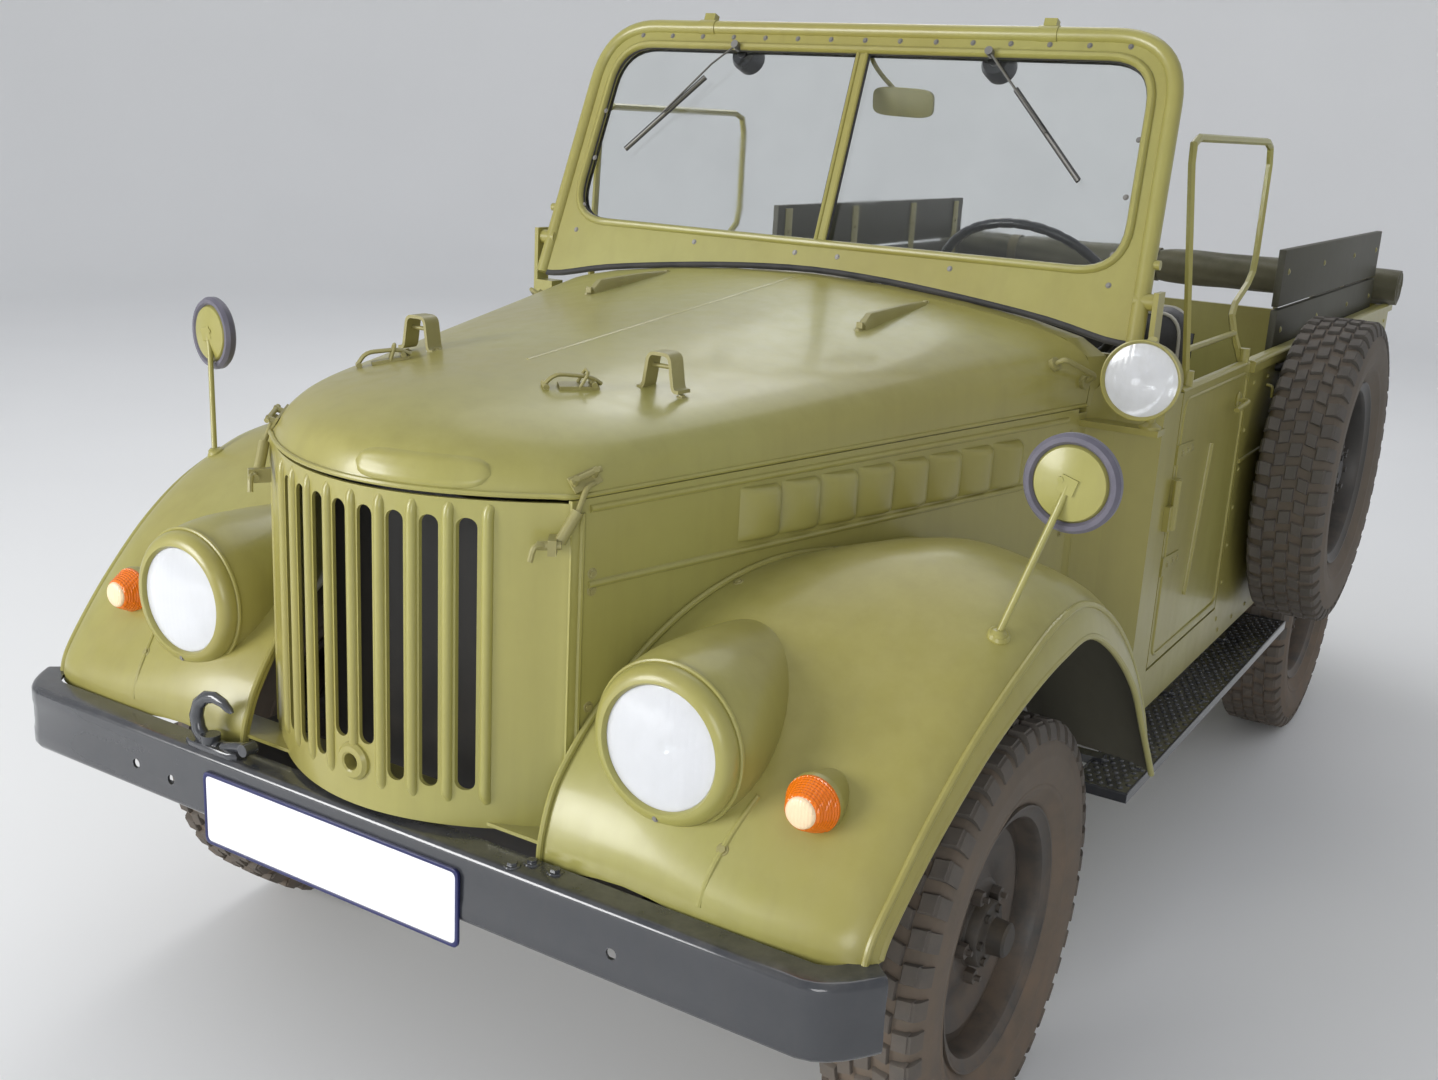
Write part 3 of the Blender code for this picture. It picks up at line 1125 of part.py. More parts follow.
def add_body_sides():
    """Rear body sides with wheel arches, sills under the doors and a rail along the top."""
    start = DOOR_FRONT - RUN_GAP + SEAT_GAP
    jamb = DOOR_FRONT + DOOR_LENGTH + RUN_GAP
    sill_top = DOOR_BOTTOM - RUN_GAP
    centre = (REAR_AXLE_Y, AXLE_HEIGHT)
    dip = math.degrees(math.asin((BODY_BOTTOM - AXLE_HEIGHT) / ARCH_RADIUS))
    outline = [(start, BODY_BOTTOM)] + arc(centre, ARCH_RADIUS, 180 - dip, dip, 12)
    outline += [(BODY_REAR, BODY_BOTTOM + COAMING), (BODY_REAR, RAIL_LINE), (jamb, RAIL_LINE),
                (jamb, sill_top), (start, sill_top)]
    lip = arc(centre, ARCH_RADIUS, 180 - dip, dip, 12)
    lip += arc(centre, ARCH_RADIUS + ARCH_LIP, dip, 180 - dip, 12)
    for side in (1, -1):
        inner, outer = side * (BODY_HALF - TUB_WALL), side * BODY_HALF
        rail = sorted((side * (BODY_HALF - TUB_WALL - COAMING / 2), side * (BODY_HALF + COAMING)))
        corner = sorted((side * (TAIL_HALF + RUN_GAP), outer))
        forms = [
            prism("X", outline, inner, outer),
            prism("X", lip, side * (BODY_HALF - TUB_WALL / 2), side * (BODY_HALF + ARCH_LIP)),
            box((rail[0], jamb, RAIL_LINE - COAMING * 2), (rail[1], BODY_REAR, RAIL_LINE)),
            box((corner[0], BODY_REAR - TAIL_WALL, FLOOR_BOTTOM + SEAT_GAP),
                (corner[1], BODY_REAR, RAIL_LINE))]
        make(side_name("body_side", side), "paint", forms)


def add_floor():
    """Floor pan with its boxes over the rear wheels and the sill under the tailgate."""
    half = BODY_HALF - TUB_WALL - SEAT_GAP
    front = FIREWALL_Y + SHEET + SEAT_GAP
    rear = BODY_REAR - TAIL_WALL - RUN_GAP
    low, top = FLOOR_BOTTOM, FLOOR_BOTTOM + FLOOR_WALL
    y0, y1 = REAR_AXLE_Y - WHEELBOX_HALF, REAR_AXLE_Y + WHEELBOX_HALF
    narrow = COWL_HALF - SIDE_WALL - SEAT_GAP
    doorway, jamb = BODY_HALF - DOOR_WALL - RUN_GAP, DOOR_FRONT + DOOR_LENGTH + RUN_GAP
    right = [(-narrow, front), (-doorway, FLARE_Y + OVERRUN * 2), (-doorway, jamb),
             (-half, jamb), (-half, rear)]
    outline = right + [(-x, y) for x, y in reversed(right)]
    forms = [prism("Z", outline, low, top),
             box((-half, rear - OVERRUN, low - FLOOR_WALL * 4), (half, rear, low + SHEET)),
             box((-TAIL_HALF, rear - OVERRUN, low - FLOOR_WALL * 4),
                 (TAIL_HALF, BODY_REAR, low - SHEET))]
    cuts = []
    for side in (1, -1):
        inner = side * WHEELBOX_X
        x0, x1 = sorted((inner, side * half))
        forms.append(box((x0, y0, low), (x1, y1, WHEELBOX_TOP)))
        a, b = sorted((inner + side * SHEET, side * (half + OVERRUN)))
        cuts.append(box((a, y0 + SHEET, low - OVERRUN), (b, y1 - SHEET, WHEELBOX_TOP - SHEET)))
        x, length = side * TAIL_HALF * 0.6, BARREL_LENGTH
        forms += tail_barrel(sorted((x, x - side * length)), -1)
    make("floor_pan", "paint", forms, cuts)


def tail_barrel(span, down):
    """Hinge barrel of the tailgate along X, with a tab up to the gate or down to the sill."""
    y, z = BODY_REAR + BARREL_RADIUS, TAIL_BOTTOM - BARREL_RADIUS * 1.2
    tab = (z - BARREL_RADIUS * 4, z) if down < 0 else (z, TAIL_BOTTOM + BARREL_RADIUS * 2)
    return [rod((span[0], y, z), (span[1], y, z), BARREL_RADIUS),
            box((span[0], BODY_REAR - BARREL_RADIUS, tab[0]), (span[1], y, tab[1]))]


def add_tailgate():
    """Tailgate hinged along its foot, with two pressed beads."""
    x = TAIL_HALF * 0.6 + SEAT_GAP
    front = BODY_REAR - TAIL_WALL
    forms = [box((-TAIL_HALF, front, TAIL_BOTTOM), (TAIL_HALF, BODY_REAR, TAIL_TOP))]
    for side in (1, -1):
        forms += tail_barrel(sorted((side * x, side * (x + BARREL_LENGTH))), 1)
    for share in (0.3, 0.7):
        z = between(TAIL_BOTTOM, TAIL_TOP, share)
        forms.append(rod((-TAIL_HALF * 0.85, BODY_REAR, z), (TAIL_HALF * 0.85, BODY_REAR, z),
                         BEAD_RADIUS, 6))
    make("tailgate", "paint", forms,
         pivot=vec(0, BODY_REAR + BARREL_RADIUS, TAIL_BOTTOM - BARREL_RADIUS * 1.2))


def add_doors():
    """Front-hinged doors with a slanted bead and the bare tube frame of a side curtain."""
    rear = DOOR_FRONT + DOOR_LENGTH
    top = RAIL_LINE
    for side in (1, -1):
        outer = side * BODY_HALF
        inner = outer - side * DOOR_WALL
        x = side * CURTAIN_X
        post_x = side * (BODY_HALF - DOOR_WALL / 2)
        curtain = rounded([
            vec(post_x, DOOR_FRONT + DOOR_LENGTH * 0.1, top - COAMING),
            vec(x, DOOR_FRONT + DOOR_LENGTH * 0.04, CURTAIN_TOP),
            vec(x, rear + DOOR_LENGTH * 0.28, CURTAIN_TOP),
            vec(x, rear + DOOR_LENGTH * 0.28, between(top, CURTAIN_TOP, 0.38)),
            vec(x, rear - DOOR_LENGTH * 0.06, between(top, CURTAIN_TOP, 0.23)),
            vec(post_x, rear - DOOR_LENGTH * 0.04, top - COAMING)], CURTAIN_TUBE * 6, 2)
        brace = [vec(side * between(BODY_HALF - DOOR_WALL / 2, CURTAIN_X, 0.17),
                     DOOR_FRONT + DOOR_LENGTH * 0.09, between(top, CURTAIN_TOP, 0.16)),
                 vec(side * between(BODY_HALF - DOOR_WALL / 2, CURTAIN_X, 0.6),
                     rear - DOOR_LENGTH * 0.05, between(top, CURTAIN_TOP, 0.14))]
        slant = [vec(outer, DOOR_FRONT + DOOR_LENGTH * 0.51, between(DOOR_BOTTOM, top, 0.75)),
                 vec(outer, DOOR_FRONT + DOOR_LENGTH * 0.40, between(DOOR_BOTTOM, top, 0.19))]
        forms = [box([min(inner, outer), DOOR_FRONT, DOOR_BOTTOM],
                     [max(inner, outer), rear, top]),
                 pipe(curtain, CURTAIN_TUBE, 6), pipe(brace, CURTAIN_TUBE * 0.8, 6),
                 pipe(slant, BEAD_RADIUS * 1.2, 6)]
        forms += door_barrel(side, 0.52, 1)
        make(side_name("door", side), "paint", forms,
             pivot=vec(side * (BODY_HALF + BARREL_RADIUS + RUN_GAP / 2),
                       DOOR_FRONT - RUN_GAP / 2, DOOR_BOTTOM))


def screen_point(x, up, back=0.0):
    """A point in the windscreen's leaning plane, up from its hinge axis."""
    y = SCREEN_AXIS_Y + math.sin(SCREEN_LEAN) * up + math.cos(SCREEN_LEAN) * back
    z = SCREEN_AXIS_Z + math.cos(SCREEN_LEAN) * up - math.sin(SCREEN_LEAN) * back
    return vec(x, y, z)


def screen_outline(margin, foot, corner):
    """Rounded outline of the windscreen in its own plane, inside a margin."""
    def half_at(up):
        share = (up + SCREEN_DROP) / (SCREEN_HEIGHT + SCREEN_DROP)
        return between(SCREEN_FOOT_HALF, SCREEN_HEAD_HALF, share) - margin
    head = SCREEN_HEIGHT - margin
    corners = [vec(-half_at(foot), foot, 0), vec(half_at(foot), foot, 0),
               vec(half_at(head), head, 0), vec(-half_at(head), head, 0)]
    return rounded(corners, corner, 3, closed=True)


def screen_slab(points, back, wall):
    """A flat plate in the windscreen's plane."""
    return loft([[screen_point(p.x, p.y, b) for p in points] for b in (back, back + wall)])


def add_windscreen():
    """Tubular windscreen frame with its lower panel and divider, and the glass behind it."""
    path = rounded([vec(-SCREEN_FOOT_HALF, -SCREEN_DROP, 0), vec(-SCREEN_HEAD_HALF, SCREEN_HEIGHT, 0),
                    vec(SCREEN_HEAD_HALF, SCREEN_HEIGHT, 0), vec(SCREEN_FOOT_HALF, -SCREEN_DROP, 0)],
                   SCREEN_CORNER, 3)
    tube = pipe([screen_point(p.x, p.y) for p in path], SCREEN_TUBE, 8)
    # Columns: share of the half width, share of the drop at the sheet's arched foot
    foot_shares = ((-1.0, 1.0), (-0.92, 0.95), (-0.75, 0.62), (-0.5, 0.32), (-0.25, 0.1), (0, 0.0),
                   (0.25, 0.1), (0.5, 0.32), (0.75, 0.62), (0.92, 0.95), (1.0, 1.0))
    lift = SCREEN_TUBE * 0.5
    sheet = [vec(SCREEN_FOOT_HALF * a, lift - (SCREEN_DROP + lift) * b, 0)
             for a, b in foot_shares]
    head = rounded([vec(SCREEN_FOOT_HALF, 0, 0), vec(SCREEN_HEAD_HALF, SCREEN_HEIGHT, 0),
                    vec(-SCREEN_HEAD_HALF, SCREEN_HEIGHT, 0), vec(-SCREEN_FOOT_HALF, 0, 0)],
                   SCREEN_CORNER, 3)[1:-1]
    plate = screen_slab(sheet + head, -SCREEN_PLATE / 2, SCREEN_PLATE)
    glass = screen_outline(GLASS_MARGIN, GLASS_FOOT, GLASS_CORNER)
    opening = screen_slab(glass, -OVERRUN, OVERRUN * 2)
    middle = [vec(-DIVIDER_HALF, 0, 0), vec(DIVIDER_HALF, 0, 0),
              vec(DIVIDER_HALF, SCREEN_HEIGHT, 0), vec(-DIVIDER_HALF, SCREEN_HEIGHT, 0)]
    forms = [tube, plate]
    for side in (1, -1):
        boss = side * SCREEN_FOOT_HALF
        forms.append(rod((boss - side * SCREEN_TUBE, SCREEN_AXIS_Y, SCREEN_AXIS_Z),
                         (boss + side * (SCREEN_TUBE + RUN_GAP), SCREEN_AXIS_Y, SCREEN_AXIS_Z),
                         SCREEN_TUBE))
        x = side * SCREEN_BRACKET_X
        forms.append(screen_slab([vec(x - SHEET * 2, SCREEN_HEIGHT, 0),
                                  vec(x + SHEET * 2, SCREEN_HEIGHT, 0),
                                  vec(x + SHEET * 2, SCREEN_HEIGHT + SCREEN_TUBE * 2, 0),
                                  vec(x - SHEET * 2, SCREEN_HEIGHT + SCREEN_TUBE * 2, 0)],
                                 -SCREEN_TUBE * 0.6, SCREEN_TUBE * 1.2))
    axis = vec(0, SCREEN_AXIS_Y, SCREEN_AXIS_Z)
    frame = make("windscreen_frame", "paint", forms, [opening], pivot=axis)
    bar = as_object("divider", screen_slab(middle, -SCREEN_PLATE / 2, SCREEN_PLATE))
    bar.data.transform(Matrix.Translation(-axis))
    bar.location = axis
    bar.parent = frame.parent
    bpy.context.view_layer.update()
    union = frame.modifiers.new("divider", "BOOLEAN")
    union.operation = "UNION"
    union.solver = "EXACT"
    union.object = bar
    applied(frame)
    bpy.data.objects.remove(bar)
    pane = screen_outline(GLASS_MARGIN - GLASS_LAP, GLASS_FOOT - GLASS_LAP, GLASS_CORNER)
    make("windscreen_glass", "glass",
         [screen_slab(pane, SCREEN_PLATE / 2 + SEAT_GAP, GLASS_WALL)], pivot=axis)


def add_inside():
    """Dashboard with steering column, steering wheel, seats, benches and folded canvas."""
    hub = vec(WHEEL_HUB_X, WHEEL_HUB_Y, WHEEL_HUB_Z)
    axis = vec(0, math.cos(COLUMN_SLOPE), math.sin(COLUMN_SLOPE))
    half = BODY_HALF - SIDE_WALL + SEAT_GAP * 4
    boss = COLUMN_RADIUS * 1.6
    make("dashboard", "paint", [
        box((-half, DASH_Y, DASH_BOTTOM), (half, DASH_Y + DASH_WALL, DASH_TOP)),
        rod(hub - axis * COLUMN_LENGTH, hub - axis * (boss + SEAT_GAP), COLUMN_RADIUS, 10)])
    ring = [hub + vec(math.cos(a), 0, 0) * STEERING_RADIUS
            + vec(0, -math.sin(COLUMN_SLOPE), math.cos(COLUMN_SLOPE)) * math.sin(a) * STEERING_RADIUS
            for a in [math.tau * k / 20 for k in range(20)]]
    forms = [pipe(ring, STEERING_TUBE, 5, closed=True),
             rod(hub - axis * boss, hub + axis * STEERING_TUBE, boss, 10)]
    for k in (1, 9, 15):
        forms.append(pipe([hub - axis * STEERING_TUBE / 2, ring[k]], STEERING_TUBE * 0.5, 6))
    make("steering_wheel", "black", forms, pivot=hub)
    floor = FLOOR_BOTTOM + FLOOR_WALL + SEAT_GAP
    for side in (1, -1):
        x0, x1 = SEAT_INNER, SEAT_INNER + SEAT_WIDTH
        rear = SEAT_FRONT + SEAT_DEPTH
        pad = floor + SEAT_BASE
        lean = SEAT_BACK_WALL * 0.5
        outline = [(SEAT_FRONT, pad), (SEAT_FRONT + lean, pad - SEAT_PAD * 0.6),
                   (SEAT_FRONT + lean, floor), (rear - lean, floor), (rear - lean, pad - SEAT_PAD),
                   (rear, pad), (rear + lean, SEAT_BACK_TOP), (rear - lean, SEAT_BACK_TOP),
                   (rear - SEAT_BACK_WALL, pad + SEAT_PAD), (SEAT_FRONT, pad + SEAT_PAD)]
        span = sorted((side * x0, side * x1))
        make(side_name("seat", side), "leather", [prism("X", outline, *span)])
        seat = WHEELBOX_TOP + SEAT_GAP
        board = side * (BODY_HALF - TUB_WALL - COAMING)
        board_in = board - side * BENCH_BOARD_WALL
        span = sorted((side * BENCH_INNER, board_in + side * SHEET))
        back = sorted((board_in, board))
        make(side_name("bench", side), "board", [
            box((span[0], BENCH_FRONT, seat), (span[1], BENCH_REAR, seat + BENCH_PAD)),
            box((back[0], BENCH_BOARD_FRONT, seat + COAMING),
                (back[1], BENCH_REAR, BENCH_BOARD_TOP))])
    roll_z = RAIL_LINE + ROLL_RADIUS * math.cos(math.pi / 14) + SEAT_GAP
    make("canvas_roll", "canvas", [turned(
        [(0, 0), (0, ROLL_RADIUS * 0.8), (ROLL_RADIUS * 0.3, ROLL_RADIUS),
         (2 * ROLL_HALF - ROLL_RADIUS * 0.3, ROLL_RADIUS), (2 * ROLL_HALF, ROLL_RADIUS * 0.8),
         (2 * ROLL_HALF, 0)], (-ROLL_HALF, ROLL_Y, roll_z), (1, 0, 0), 14, 0.5)])


def add_outside():
    """Running boards on their brackets, mirrors on rods, and the search lamp on its shelf."""
    for side in (1, -1):
        tread = sorted((side * STEP_INNER, side * STEP_OUTER))
        forms = [box((tread[0], STEP_FRONT, STEP_TOP - STEP_HEIGHT),
                     (tread[1], STEP_FRONT + STEP_LENGTH, STEP_TOP))]
        inner = RAIL_X + RAIL_WIDTH / 2 + SEAT_GAP
        arm = sorted((side * inner, side * (STEP_INNER + OVERRUN)))
        foot = sorted((side * inner, side * (inner + STEP_HEIGHT * 0.8)))
        for share in (0.1, 0.45, 0.8):
            y = STEP_FRONT + STEP_LENGTH * share
            half = STEP_HEIGHT * 0.8
            forms.append(box((arm[0], y - half, STEP_TOP - STEP_HEIGHT / 2),
                             (arm[1], y + half, STEP_TOP + STEP_HEIGHT / 3)))
            forms.append(box((foot[0], y - half, STEP_TOP),
                             (foot[1], y + half, RAIL_TOP - STEP_HEIGHT)))
        make(side_name("running_board", side), "black", forms)
        foot = vec(side * MIRROR_FOOT_X, MIRROR_FOOT_Y, MIRROR_FOOT_Z + SEAT_GAP)
        disc = vec(side * MIRROR_X, MIRROR_Y, MIRROR_Z)
        r, d = MIRROR_RADIUS, MIRROR_WALL
        make(side_name("mirror", side), "paint", [
            rod(foot, foot + vec(0, 0, MIRROR_ROD * 2), MIRROR_ROD * 2.4),
            pipe([foot + vec(0, 0, MIRROR_ROD), disc - vec(0, d, 0)], MIRROR_ROD),
            turned([(-d * 1.5, 0), (-d * 1.5, r * 0.2), (-d * 0.8, r * 0.8), (0, r),
                    (d * 0.6, r), (d * 0.6, 0)], disc, (0, 1, 0), 14)])
    lamp = vec(SEARCH_X, SEARCH_Y, SEARCH_Z)
    r, d = SEARCH_RADIUS, SEARCH_DEPTH
    shelf_y = COWL_FRONT + OVERRUN
    make("search_lamp", "paint", [
        turned([(0, 0), (d * 0.06, r * 0.85), (0, r), (d * 0.2, r), (d * 0.6, r * 0.7),
                (d, r * 0.25), (d, 0)], lamp, (0, 1, 0), 18),
        box((SEARCH_X - OVERRUN / 2, shelf_y - OVERRUN / 2, SEARCH_SHELF + SEAT_GAP),
            (SEARCH_X + OVERRUN / 2, shelf_y + OVERRUN, SEARCH_Z))])


def main():
    """Clears the scene and builds the car."""
    for item in list(bpy.data.objects):
        bpy.data.objects.remove(item)
    car = bpy.data.objects.new("car", None)
    bpy.context.scene.collection.objects.link(car)
    car.location.y = -(WHEELBASE + REAR_OVERHANG - FRONT_OVERHANG) / 2
    for step in (add_frame, add_bumper, add_axles, add_knuckles, add_wheels, add_driveline,
                 add_grille, add_hood_sides, add_fenders, add_hood, add_cowl, add_body_sides,
                 add_floor, add_tailgate, add_doors, add_windscreen, add_inside, add_outside):
        step()


main()
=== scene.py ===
"""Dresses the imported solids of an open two-door field car and films it in a plain studio."""
import logging
import math
from dataclasses import dataclass
from enum import Enum

import bmesh
import bpy
from mathutils import Matrix, Vector
from mathutils.bvhtree import BVHTree


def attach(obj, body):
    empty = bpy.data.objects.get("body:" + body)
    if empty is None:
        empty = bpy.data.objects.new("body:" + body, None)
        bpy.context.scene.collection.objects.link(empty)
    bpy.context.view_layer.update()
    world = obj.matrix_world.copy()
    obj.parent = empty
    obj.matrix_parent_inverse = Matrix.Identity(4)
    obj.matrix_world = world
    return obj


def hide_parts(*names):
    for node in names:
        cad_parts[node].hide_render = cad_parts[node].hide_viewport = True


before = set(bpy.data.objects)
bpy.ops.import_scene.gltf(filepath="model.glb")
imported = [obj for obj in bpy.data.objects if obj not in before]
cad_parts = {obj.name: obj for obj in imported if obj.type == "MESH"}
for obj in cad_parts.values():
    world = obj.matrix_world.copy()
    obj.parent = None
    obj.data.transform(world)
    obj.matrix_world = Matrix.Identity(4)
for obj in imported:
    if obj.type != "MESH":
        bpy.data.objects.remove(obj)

LOG = logging.getLogger("field_car")
AXLE_Y = -1.265  # of the front axle, from the middle of the car's length
AXLE_Z = 0.366835
WHEELBASE = 2.3
SKIN_X = 0.7452  # outer face of the tub's sides and doors
Point = Vector
Ring = list[Vector]
Value = float | tuple | bpy.types.NodeSocket


class Axis(Enum):
    """Directions in the car's frame."""

    LEFT = Vector((1, 0, 0))
    REAR = Vector((0, 1, 0))
    UP = Vector((0, 0, 1))
    FRONT = Vector((0, -1, 0))


SIDES = {"left": 1, "right": -1}


def at(x: float, y: float, z: float) -> Point:
    """A place given from the front axle, in the model's frame."""
    return Vector((x, y + AXLE_Y, z))


def mix(a: float | Vector, b: float | Vector, t: float) -> float | Vector:
    """Value between two numbers or points."""
    return a + (b - a) * t


def spline(points: Ring, steps: int, closed: bool = False) -> Ring:
    """Smooth curve through points.

    Args:
        points: the points that the curve passes through.
        steps: pieces between each two points.
        closed: whether the curve returns to its start.

    Returns:
        The curve's points.
    """
    n, out = len(points), []
    for i in range(n if closed else n - 1):
        if closed:
            p0, p1, p2, p3 = [points[(i + k) % n] for k in (-1, 0, 1, 2)]
        else:
            p0, p1, p2, p3 = [points[min(max(i + k, 0), n - 1)] for k in (-1, 0, 1, 2)]
        for k in range(steps):
            t = k / steps
            out.append((p1 * 2 + (p2 - p0) * t + (p0 * 2 - p1 * 5 + p2 * 4 - p3) * t ** 2
                        + (p1 * 3 - p0 - p2 * 3 + p3) * t ** 3) / 2)
    return out if closed else out + [points[-1].copy()]


def rounded(points: Ring, radius: float, steps: int = 6, closed: bool = False) -> Ring:
    """Path with each corner turned into an arc-like bend.

    Args:
        points: the corners.
        radius: how far from a corner its bend starts.
        steps: pieces of a bend.
        closed: whether the last point joins the first.

    Returns:
        The path's points.
    """
    n, out = len(points), []
    for i, p in enumerate(points):
        if not closed and i in (0, n - 1):
            out.append(p.copy())
            continue
        a, b = points[i - 1], points[(i + 1) % n]
        ra = min(radius, (a - p).length * 0.49)
        rb = min(radius, (b - p).length * 0.49)
        s, e = p + (a - p).normalized() * ra, p + (b - p).normalized() * rb
        out += [mix(mix(s, p, k / steps), mix(p, e, k / steps), k / steps)
                for k in range(steps + 1)]
    return out


def circle(count: int) -> list[float]:
    """Angles of points spread evenly round a circle."""
    return [math.tau * k / count for k in range(count)]


def placed(name: str, data: bpy.types.ID) -> bpy.types.Object:
    """A new object in the scene.

    Args:
        name: the object's name.
        data: mesh, camera or lamp data.

    Returns:
        The linked object.
    """
    thing = bpy.data.objects.new(name, data)
    bpy.context.scene.collection.objects.link(thing)
    return thing


def shaded(mesh: bpy.types.Mesh, sharp: float) -> None:
    """Smooth shading, but for edges above an angle in degrees."""
    mesh.polygons.foreach_set("use_smooth", [True] * len(mesh.polygons))
    mesh.set_sharp_from_angle(angle=math.radians(sharp))


def turned_to(axis: Vector) -> Matrix:
    """Turn that takes +Z to an axis."""
    return Vector((0, 0, 1)).rotation_difference(axis.normalized()).to_matrix()


class Form:
    """A mesh being made: points, faces and each face's finish."""

    def __init__(self) -> None:
        """An empty form."""
        self.points: Ring = []
        self.faces: list[tuple[int, ...]] = []
        self.slots: list[int] = []
        self.slot = 0

    def _add(self, points: Ring, faces: list[tuple[int, ...]]) -> None:
        """Adds points and faces that are numbered from zero.

        Args:
            points: places of the points.
            faces: point numbers of each face.
        """
        base = len(self.points)
        self.points += [Vector(p) for p in points]
        self.faces += [tuple(base + i for i in f) for f in faces]
        self.slots += [self.slot] * len(faces)

    def loft(self, rings: list[Ring], loop: bool = False, caps: bool = True) -> "Form":
        """Skin over closed rings.

        Args:
            rings: rings of one length.
            loop: whether the last ring joins the first.
            caps: whether the end rings are filled.

        Returns:
            The form itself.
        """
        n, m = len(rings[0]), len(rings)
        faces = []
        for r in range(m if loop else m - 1):
            a, b = r * n, (r + 1) % m * n
            faces += [(a + i, a + (i + 1) % n, b + (i + 1) % n, b + i) for i in range(n)]
        if caps and not loop:
            faces += [tuple(reversed(range(n))), tuple(range((m - 1) * n, m * n))]
        self._add([p for ring in rings for p in ring], faces)
        return self

    def sheet(self, rows: list[Ring], wall: float, back_slot: int | None = None) -> "Form":
        """Sheet through a grid of points, with a wall and a second face behind the first.

        Args:
            rows: the grid, row by row.
            wall: distance of the second face.
            back_slot: finish slot of the second face.

        Returns:
            This form.
        """
        n, m = len(rows[0]), len(rows)
        back = []
        for r in range(m):
            for c in range(n):
                u = rows[min(r + 1, m - 1)][c] - rows[max(r - 1, 0)][c]
                v = rows[r][min(c + 1, n - 1)] - rows[r][max(c - 1, 0)]
                back.append(rows[r][c] + u.cross(v).normalized() * wall)
        k = n * m
        faces = []
        for r in range(m - 1):
            for c in range(n - 1):
                q = (r * n + c, r * n + c + 1, (r + 1) * n + c + 1, (r + 1) * n + c)
                faces += [tuple(k + i for i in reversed(q)), q]
        rim = (list(range(n)) + [r * n + n - 1 for r in range(1, m)]
               + [(m - 1) * n + c for c in reversed(range(n - 1))]
               + [r * n for r in reversed(range(1, m - 1))])
        faces += [(b, a, a + k, b + k) for a, b in zip(rim, rim[1:] + rim[:1])]
        start = len(self.slots)
        self._add([p for row in rows for p in row] + back, faces)
        if back_slot is not None:
            for i in range((n - 1) * (m - 1)):
                self.slots[start + 2 * i] = back_slot
        return self

    def tube(self, path: Ring, radius: float, sides: int = 12, closed: bool = False,
             flat: float = 1.0) -> "Form":
        """Round or flattened bar along a path.

        Args:
            path: the bar's middle line.
            radius: its half width.
            sides: points round it.
            closed: whether its end joins its start.
            flat: height of the section as a share of its width.

        Returns:
            The form itself.
        """
        n, rings, up = len(path), [], None
        for i, p in enumerate(path):
            a = path[i - 1] if closed or i else p
            b = path[(i + 1) % n] if closed or i < n - 1 else p
            along = (b - a).normalized()
            if up is None:
                up = along.orthogonal().normalized() if abs(along.z) > 0.9 else \
                    (Axis.UP.value - along * along.z).normalized()
            up = (up - along * up.dot(along)).normalized()
            side = along.cross(up)
            rings.append([p + (side * math.cos(t) + up * math.sin(t) * flat) * radius
                          for t in circle(sides)])
        return self.loft(rings, loop=closed)

    def lathe(self, profile: list[tuple[float, float]], centre: Point, axis: Vector,
              sides: int = 48) -> "Form":
        """Body turned about an axis.

        Args:
            profile: places along the axis and radii; a closed ring section if no end is on it.
            centre: the origin of the profile.
            axis: direction of the profile's first column.
            sides: points round the axis.

        Returns:
            The form itself.
        """
        turn = turned_to(axis)
        ring = [centre + turn @ Vector((max(r, 1e-5) * math.cos(a), max(r, 1e-5) * math.sin(a), h))
                for a in circle(sides) for h, r in profile]
        n = len(profile)
        rings = [ring[i * n:(i + 1) * n] for i in range(sides)]
        base = len(self.points)
        self.loft(rings, loop=True)
        if profile[0][1] <= 0 or profile[-1][1] <= 0:
            keep = [(f, s) for f, s in zip(self.faces, self.slots)
                    if not (f[0] >= base and {(i - base) % n for i in f} == {0, n - 1})]
            self.faces, self.slots = [f for f, _ in keep], [s for _, s in keep]
        return self

    def block(self, low: Point, high: Point, turn: Matrix | None = None) -> "Form":
        """Box between two corners, turned about its own middle.

        Args:
            low: the lower corner.
            high: the upper corner.
            turn: turn about the middle.

        Returns:
            This form.
        """
        mid = (Vector(low) + Vector(high)) / 2
        corners = [Vector((x, y, z)) for x in (low[0], high[0]) for y in (low[1], high[1])
                   for z in (low[2], high[2])]
        if turn is not None:
            corners = [mid + turn @ (c - mid) for c in corners]
        self._add(corners, [(0, 1, 3, 2), (4, 6, 7, 5), (0, 4, 5, 1), (2, 3, 7, 6),
                            (0, 2, 6, 4), (1, 5, 7, 3)])
        return self

    def prism(self, outline: Ring, push: Vector) -> "Form":
        """Flat outline pushed along a direction."""
        return self.loft([outline, [p + push for p in outline]])

    def mesh(self, name: str) -> bpy.types.Mesh:
        """The finished mesh with outward faces.

        Args:
            name: the mesh's name.

        Returns:
            The mesh.
        """
        mesh = bpy.data.meshes.new(name)
        mesh.from_pydata([p[:] for p in self.points], [], self.faces)
        for poly, slot in zip(mesh.polygons, self.slots):
            poly.material_index = slot
        bm = bmesh.new()
        bm.from_mesh(mesh)
        bmesh.ops.remove_doubles(bm, verts=bm.verts, dist=2e-5)
        bmesh.ops.recalc_face_normals(bm, faces=bm.faces)
        bm.to_mesh(mesh)
        bm.free()
        return mesh


